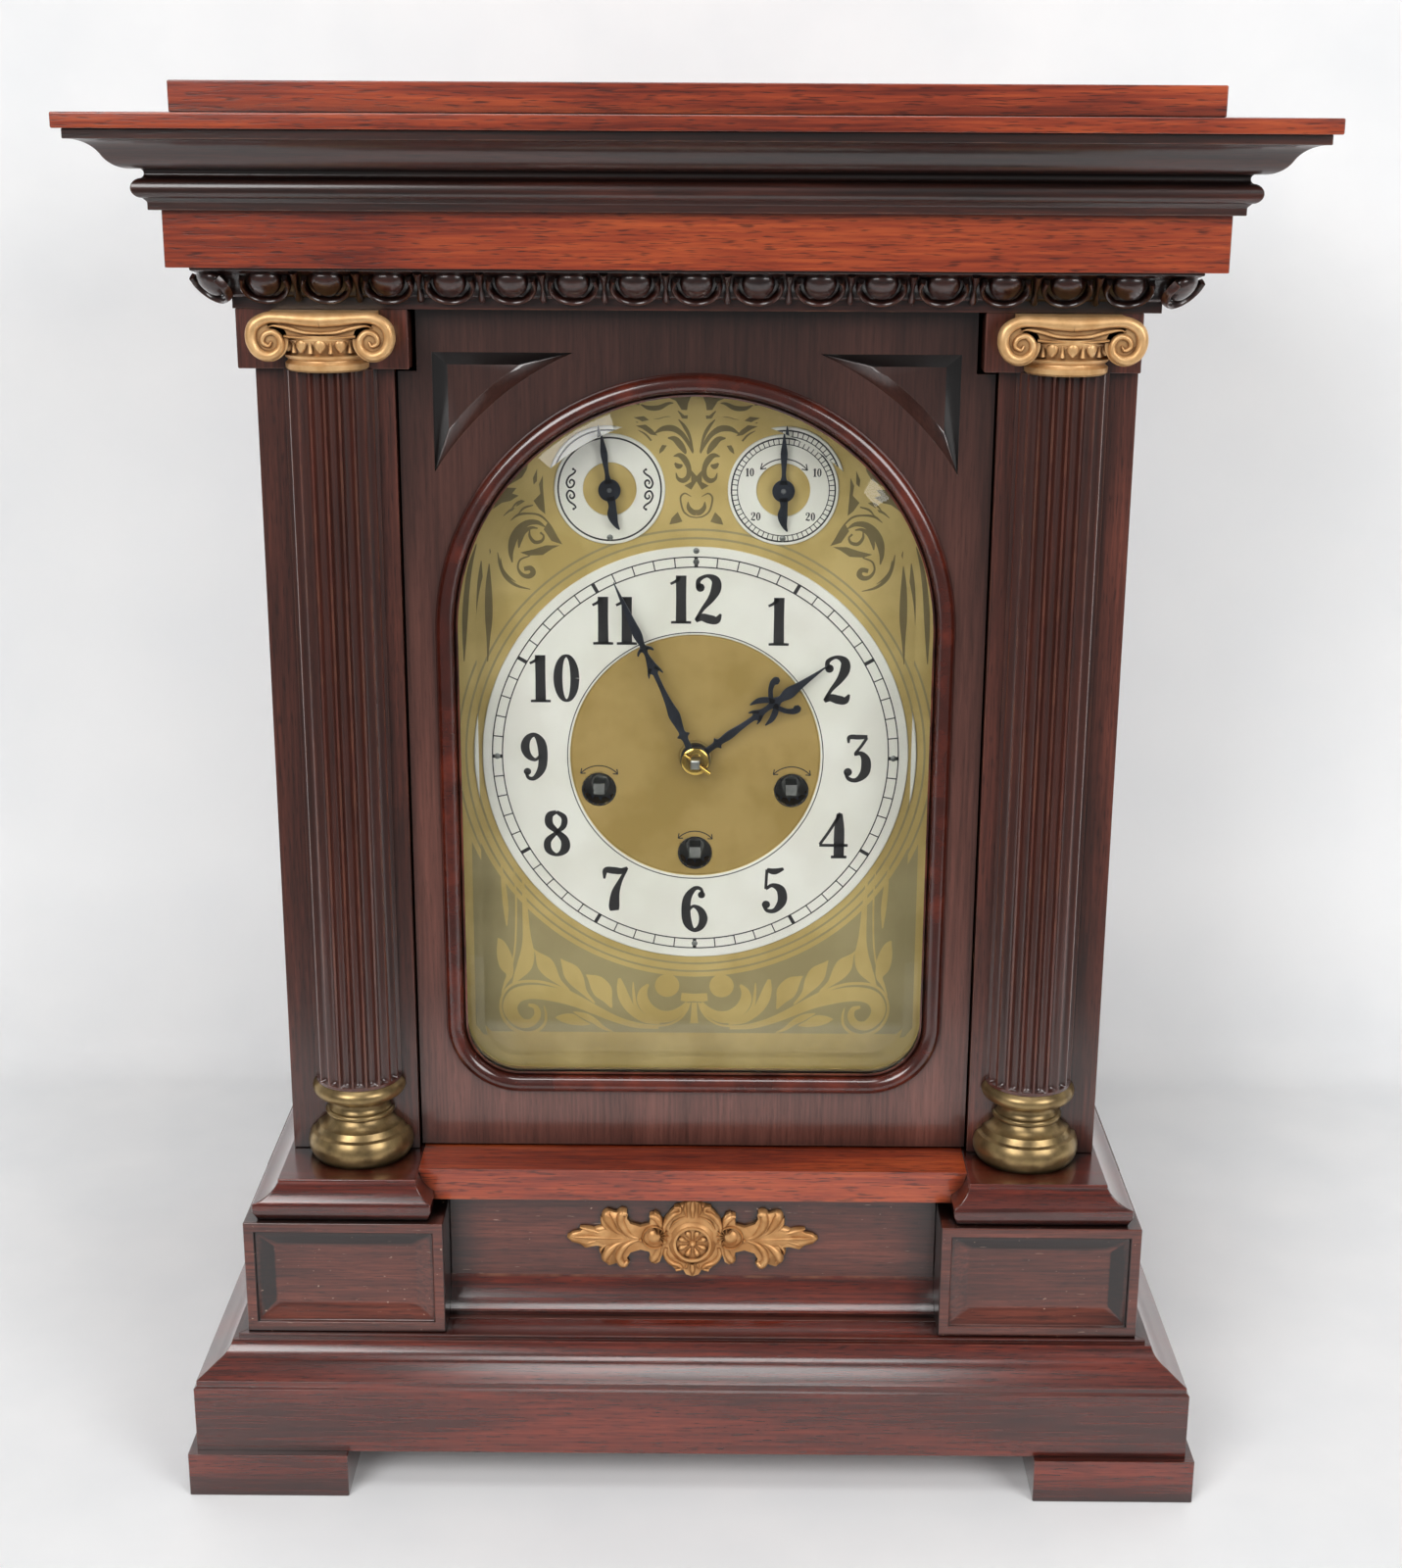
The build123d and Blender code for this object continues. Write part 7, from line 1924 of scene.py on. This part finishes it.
# Right half of the mount: lines as (across, up, half width) and their rise
ORNAMENT_LINES: tuple[tuple[tuple[Knot, ...], float], ...] = (
    # Swell of the cartouche, the arm and the leaf
    (((0, 9.5, 4.5), (3.5, 7.5, 4.5), (7, 3, 3.2), (8, -2, 2.4), (6.6, -7, 3), (3, -9, 3.2),
      (0, -9.5, 3.2)), 2),
    (((7, 0, 4), (13, 0.2, 4.6), (18, -0.4, 3.4), (22, -0.4, 3.2), (26, 0, 4.4),
      (30, 0.2, 4.6), (34, 0.4, 2.8), (38.5, 0.4, 1.8), (42.2, 0.4, 0.3)), 2.2),
    # Finials over and under the rosette
    (((0, 14.1, 0.9), (0, 11.6, 1.2), (0, 8, 0.9)), 3),
    (((2.2, 13.4, 0.5), (2.5, 11, 0.9), (1.9, 8, 0.6)), 2.7),
    (((0, -14.1, 0.5), (0, -12, 1.3), (0, -9.4, 1.1)), 2.8),
    (((2.4, -11.8, 0.3), (2, -10.6, 0.8), (1.6, -9.2, 0.6)), 2.4),
    # C-scrolls of the cartouche's edge
    (((9, 0.8, 0.9), (9.6, 3.4, 1), (8.6, 6.4, 1.2), (6.2, 9, 1.2), (4.2, 9.8, 0.9), (4.4, 11.4, 0.9),
      (6.2, 11.4, 0.5)), 2.8),
    (((7.6, 3.6, 0.4), (6.2, 6.2, 0.6), (3.6, 8, 0.5), (1.6, 8.4, 0.3)), 2.6),
    (((8.8, -3.4, 0.9), (9.2, -6, 1.1), (7.4, -8.8, 1.3), (4.6, -10, 1.1), (3.6, -11.2, 0.9),
      (5.6, -11.8, 0.9)), 2.8),
    (((9.4, -1.4, 1.3), (9.5, 0.6, 0.9)), 2.9),
    # Lobes over and under the shells
    (((10.4, 3.4, 0.9), (11.2, 6, 1.5), (13, 7.9, 1.4), (14.5, 8, 0.9)), 2.5),
    (((11, -3, 1.2), (12, -6, 1.7), (13.2, -8.2, 1.6), (13.3, -9.3, 0.8)), 2.5),
    # Large scrolls of the arm
    (((18.2, -0.2, 0.7), (20.8, 0.8, 1.2), (23, 3.2, 1.7), (24.2, 6.2, 1.8), (23.8, 9, 1.8),
      (22.2, 9, 1.2)), 3),
    (((18.2, -0.6, 0.7), (21.6, -2, 1.2), (24, -4.6, 1.6), (24.8, -7.6, 1.6), (23.4, -9.9, 1.6),
      (21.8, -8.8, 0.9)), 3),
    # Leaves that turn out beside them
    (((21, 0, 0.6), (25, 2, 1.2), (27.6, 5.4, 1.9), (28.8, 8.4, 1.9), (28, 10, 0.8)), 2.7),
    (((23, 0.2, 0.4), (27.6, 2.2, 0.7), (30, 5.2, 0.9), (30.6, 7.6, 0.5)), 2),
    (((21, -0.8, 0.6), (25.4, -2.4, 1.2), (28.4, -5.2, 1.8), (29.4, -7.8, 1.6), (28.2, -9, 0.8)), 2.7),
    (((24, -0.6, 0.4), (28.4, -1.8, 0.7), (30.8, -4.2, 0.8), (31, -6, 0.4)), 2),
    # Ribs of the end leaf
    (((22, -0.2, 0.5), (30, 0.2, 0.9), (37, 0.4, 0.8), (42.2, 0.4, 0.25)), 2.6),
    (((31, 1.6, 0.7), (34.4, 2.8, 1), (38, 3.6, 0.4)), 2.2),
    (((31.6, -0.8, 0.7), (34.8, -1.8, 0.9), (37.4, -2.9, 0.3)), 2.1),
)


# Works and studio


@dataclass
class Works:
    """Movement, hinges and pins: the CAD pieces in their metals."""

    finishes: Finishes

    def build(self) -> None:
        """Dresses each piece."""
        brass = ("time_barrel", "strike_barrel", "chime_barrel", "centre_wheel", "hour_wheel", "minute_wheel",
                 "third_wheel", "escape_wheel", "strike_wheel", "front_plate", "back_plate", "pendulum")
        steel = ("anchor", "chime_drum", "rod_gong", "hammer_1", "hammer_2", "hammer_3", "hammer_4")
        squares = ("time_winding_arbor", "strike_winding_arbor", "chime_winding_arbor")
        small = ("door_pins", "back_hinges", "back_door_leaves", "turn_button")
        for names, material in ((brass, self.finishes.works), (steel, self.finishes.steel),
                                (squares, self.finishes.square), (small, self.finishes.spun)):
            for name in names:
                dress_node(name, material)


@dataclass(frozen=True)
class Lamp:
    """A square soft light that looks at a spot."""

    name: str
    place_mm: Spot
    look_mm: Spot
    size_mm: float
    watts: float

    def hang(self) -> None:
        """Adds the light to the scene."""
        light = bpy.data.lights.new(self.name, "AREA")
        light.size = self.size_mm * MM
        light.energy = self.watts
        lamp = bpy.data.objects.new(self.name, light)
        place = Vector(self.place_mm) * MM
        turn = (Vector(self.look_mm) * MM - place).to_track_quat("-Z", "Y")
        lamp.matrix_world = Matrix.Translation(place) @ turn.to_matrix().to_4x4()
        bpy.context.scene.collection.objects.link(lamp)


@dataclass
class Studio:
    """Pale floor, backdrop, soft lights and the camera at the photograph's place."""

    lens_mm: float = 52.081
    sensor_mm: float = 36.0
    near_mm: float = 10.0
    camera_mm: Spot = (5.3, -773.1, 443.0)
    pitch_deg: float = 16.547
    yaw_deg: float = 0.267
    roll_deg: float = 0.300
    lamps: tuple[Lamp, ...] = (
        Lamp("key", (-800.0, -1500.0, 1150.0), (0.0, 0.0, 250.0), 900.0, 19.5),
        Lamp("fill", (1000.0, -1200.0, 900.0), (0.0, 0.0, 250.0), 800.0, 12.0),
        Lamp("top", (0.0, -600.0, 1700.0), (0.0, 0.0, 200.0), 500.0, 4.6),
    )
    air: str = "#f4f5f6"
    air_strength: float = 0.22
    wall_mm: float = 235.0
    floor_half_mm: float = 3000.0
    floor_front_mm: float = -430.0
    # The floor lies this far under the feet, so that the two don't flicker
    floor_drop_mm: float = 0.05
    wall_high_mm: float = 3000.0
    cove_mm: float = 18.0
    paper_colours: tuple[str, str] = ("#eff0f1", "#f6f6f6")
    mottle_mm: Spot = (60.0, 60.0, 60.0)
    mottle_range: Span = (0.3, 0.7)
    # Glow of the wall, seen by the camera and by mirrors, as greys over its first half metre
    glow: float = 0.12
    glow_high_mm: float = 500.0
    glow_stops: tuple[tuple[float, str], ...] = (
        (0.0, "#000000"), (0.2, "#ffffff"), (0.55, "#ececec"), (0.85, "#707070"), (1.0, "#404040"),
    )

    def build(self) -> None:
        """Builds the stage."""
        self.backdrop()
        for lamp in self.lamps:
            lamp.hang()
        self.surroundings()
        self.camera()

    def paper(self) -> bpy.types.Material:
        """Builds matt white paper: a faint mottle, and a glow that keeps the wall white behind the clock.

        Returns:
            The material.
        """
        material, tree, principled = new_material("white_paper", {"Roughness": 0.9})
        mottle = stretched_noise(tree, self.mottle_mm, 3.0)
        shade = add_node(tree, "ValToRGB", {"stops": mask(self.mottle_range, *self.paper_colours)},
                         {"Fac": mottle})
        tree.links.new(shade.outputs[0], principled.inputs["Base Color"])
        path = add_node(tree, "LightPath")
        mirror = add_node(tree, "Math", PLUS,
                          {0: path.outputs["Is Glossy Ray"], 1: path.outputs["Is Transmission Ray"]})
        seen = add_node(tree, "Math", {"operation": "ADD", "use_clamp": True},
                        {0: path.outputs["Is Camera Ray"], 1: mirror})
        spot = add_node(tree, "SeparateXYZ", None, {0: add_node(tree, "TexCoord").outputs["Object"]})
        rise = add_node(tree, "Math", TIMES, {0: spot.outputs[2], 1: 1 / (self.glow_high_mm * MM)})
        lift = add_node(tree, "ValToRGB", {"stops": self.glow_stops}, {"Fac": rise})
        glow = add_node(tree, "Math", TIMES, {0: seen, 1: lift})
        glow = add_node(tree, "Math", TIMES, {0: glow, 1: self.glow})
        principled.inputs["Emission Color"].default_value = linear(WHITE)
        tree.links.new(glow.outputs[0], principled.inputs["Emission Strength"])
        return material

    def backdrop(self) -> None:
        """Builds the floor that turns up into the wall."""
        line = [(self.floor_front_mm, 0.0), (self.wall_mm - self.cove_mm, 0.0)]
        for turn in np.radians(np.linspace(-80, 0, 9)):
            line.append((self.wall_mm - self.cove_mm + self.cove_mm * math.cos(turn),
                         self.cove_mm + self.cove_mm * math.sin(turn)))
        line.append((self.wall_mm, self.wall_high_mm))
        rows = np.array([[(x, y, z - self.floor_drop_mm) for y, z in line]
                         for x in (-self.floor_half_mm, self.floor_half_mm)])
        shape = Shape()
        shape.grid(rows, around=False, caps=False)
        mesh = bpy.data.meshes.new("backdrop")
        mesh.from_pydata((np.concatenate(shape.points) * MM).tolist(), [], shape.faces)
        mesh.shade_smooth()
        mesh.materials.append(self.paper())
        sheet = bpy.data.objects.new("backdrop", mesh)
        bpy.context.scene.collection.objects.link(sheet)

    def surroundings(self) -> None:
        """Sets the white surroundings."""
        world = bpy.data.worlds.new("studio_air")
        world.use_nodes = True
        back = world.node_tree.nodes["Background"]
        back.inputs["Color"].default_value = linear(self.air)
        back.inputs["Strength"].default_value = self.air_strength
        bpy.context.scene.world = world

    def camera(self) -> None:
        """Sets the camera up as the photograph was taken."""
        data = bpy.data.cameras.new("camera")
        data.lens = self.lens_mm
        data.sensor_width = self.sensor_mm
        data.clip_start = self.near_mm * MM
        view = bpy.data.objects.new("camera", data)
        turn = (Matrix.Rotation(math.radians(self.yaw_deg), 4, "Z")
                @ Matrix.Rotation(math.radians(90 - self.pitch_deg), 4, "X")
                @ Matrix.Rotation(math.radians(self.roll_deg), 4, "Z"))
        view.matrix_world = Matrix.Translation([value * MM for value in self.camera_mm]) @ turn
        bpy.context.scene.collection.objects.link(view)
        bpy.context.scene.camera = view


# Outline of the cornice: one pair is a straight run, two are an arc
CORNICE_SHARES: Outline = [
    [(0, 0)], [(0.148, 0)], [(0.148, 0.10)], [(0.20, 0.15)], [(0.324, 0.28), (0.20, 0.395)],
    [(0.165, 0.45), (0.25, 0.51)], [(0.45, 0.54), (0.60, 0.66)], [(0.75, 0.815), (1, 0.876)],
    [(1, 1)], [(0, 1)],
]
CORNICE_CORNER: Point = (156.0, -93.5)
CORNICE_REACH = 21.6


def main() -> None:
    """Builds the clock piece by piece, then the stage."""
    logging.basicConfig(level=logging.INFO, format="%(message)s")
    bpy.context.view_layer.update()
    bpy.context.scene.view_settings.view_transform = "Standard"
    finishes = Finishes()
    CaseWood(finishes).build()
    MitredMoulding("cornice", CORNICE_SHARES, CORNICE_CORNER, CORNICE_REACH).build(finishes.cornice)
    EggAndDart(finishes).build()
    FlutedColumns(finishes).build()
    IonicCapitals(finishes).build()
    GlazedDoor(finishes).build()
    Dial(finishes).build()
    Hands(finishes).build()
    Ornament(finishes).build()
    Works(finishes).build()
    Studio().build()


if __name__ == "__main__":
    main()
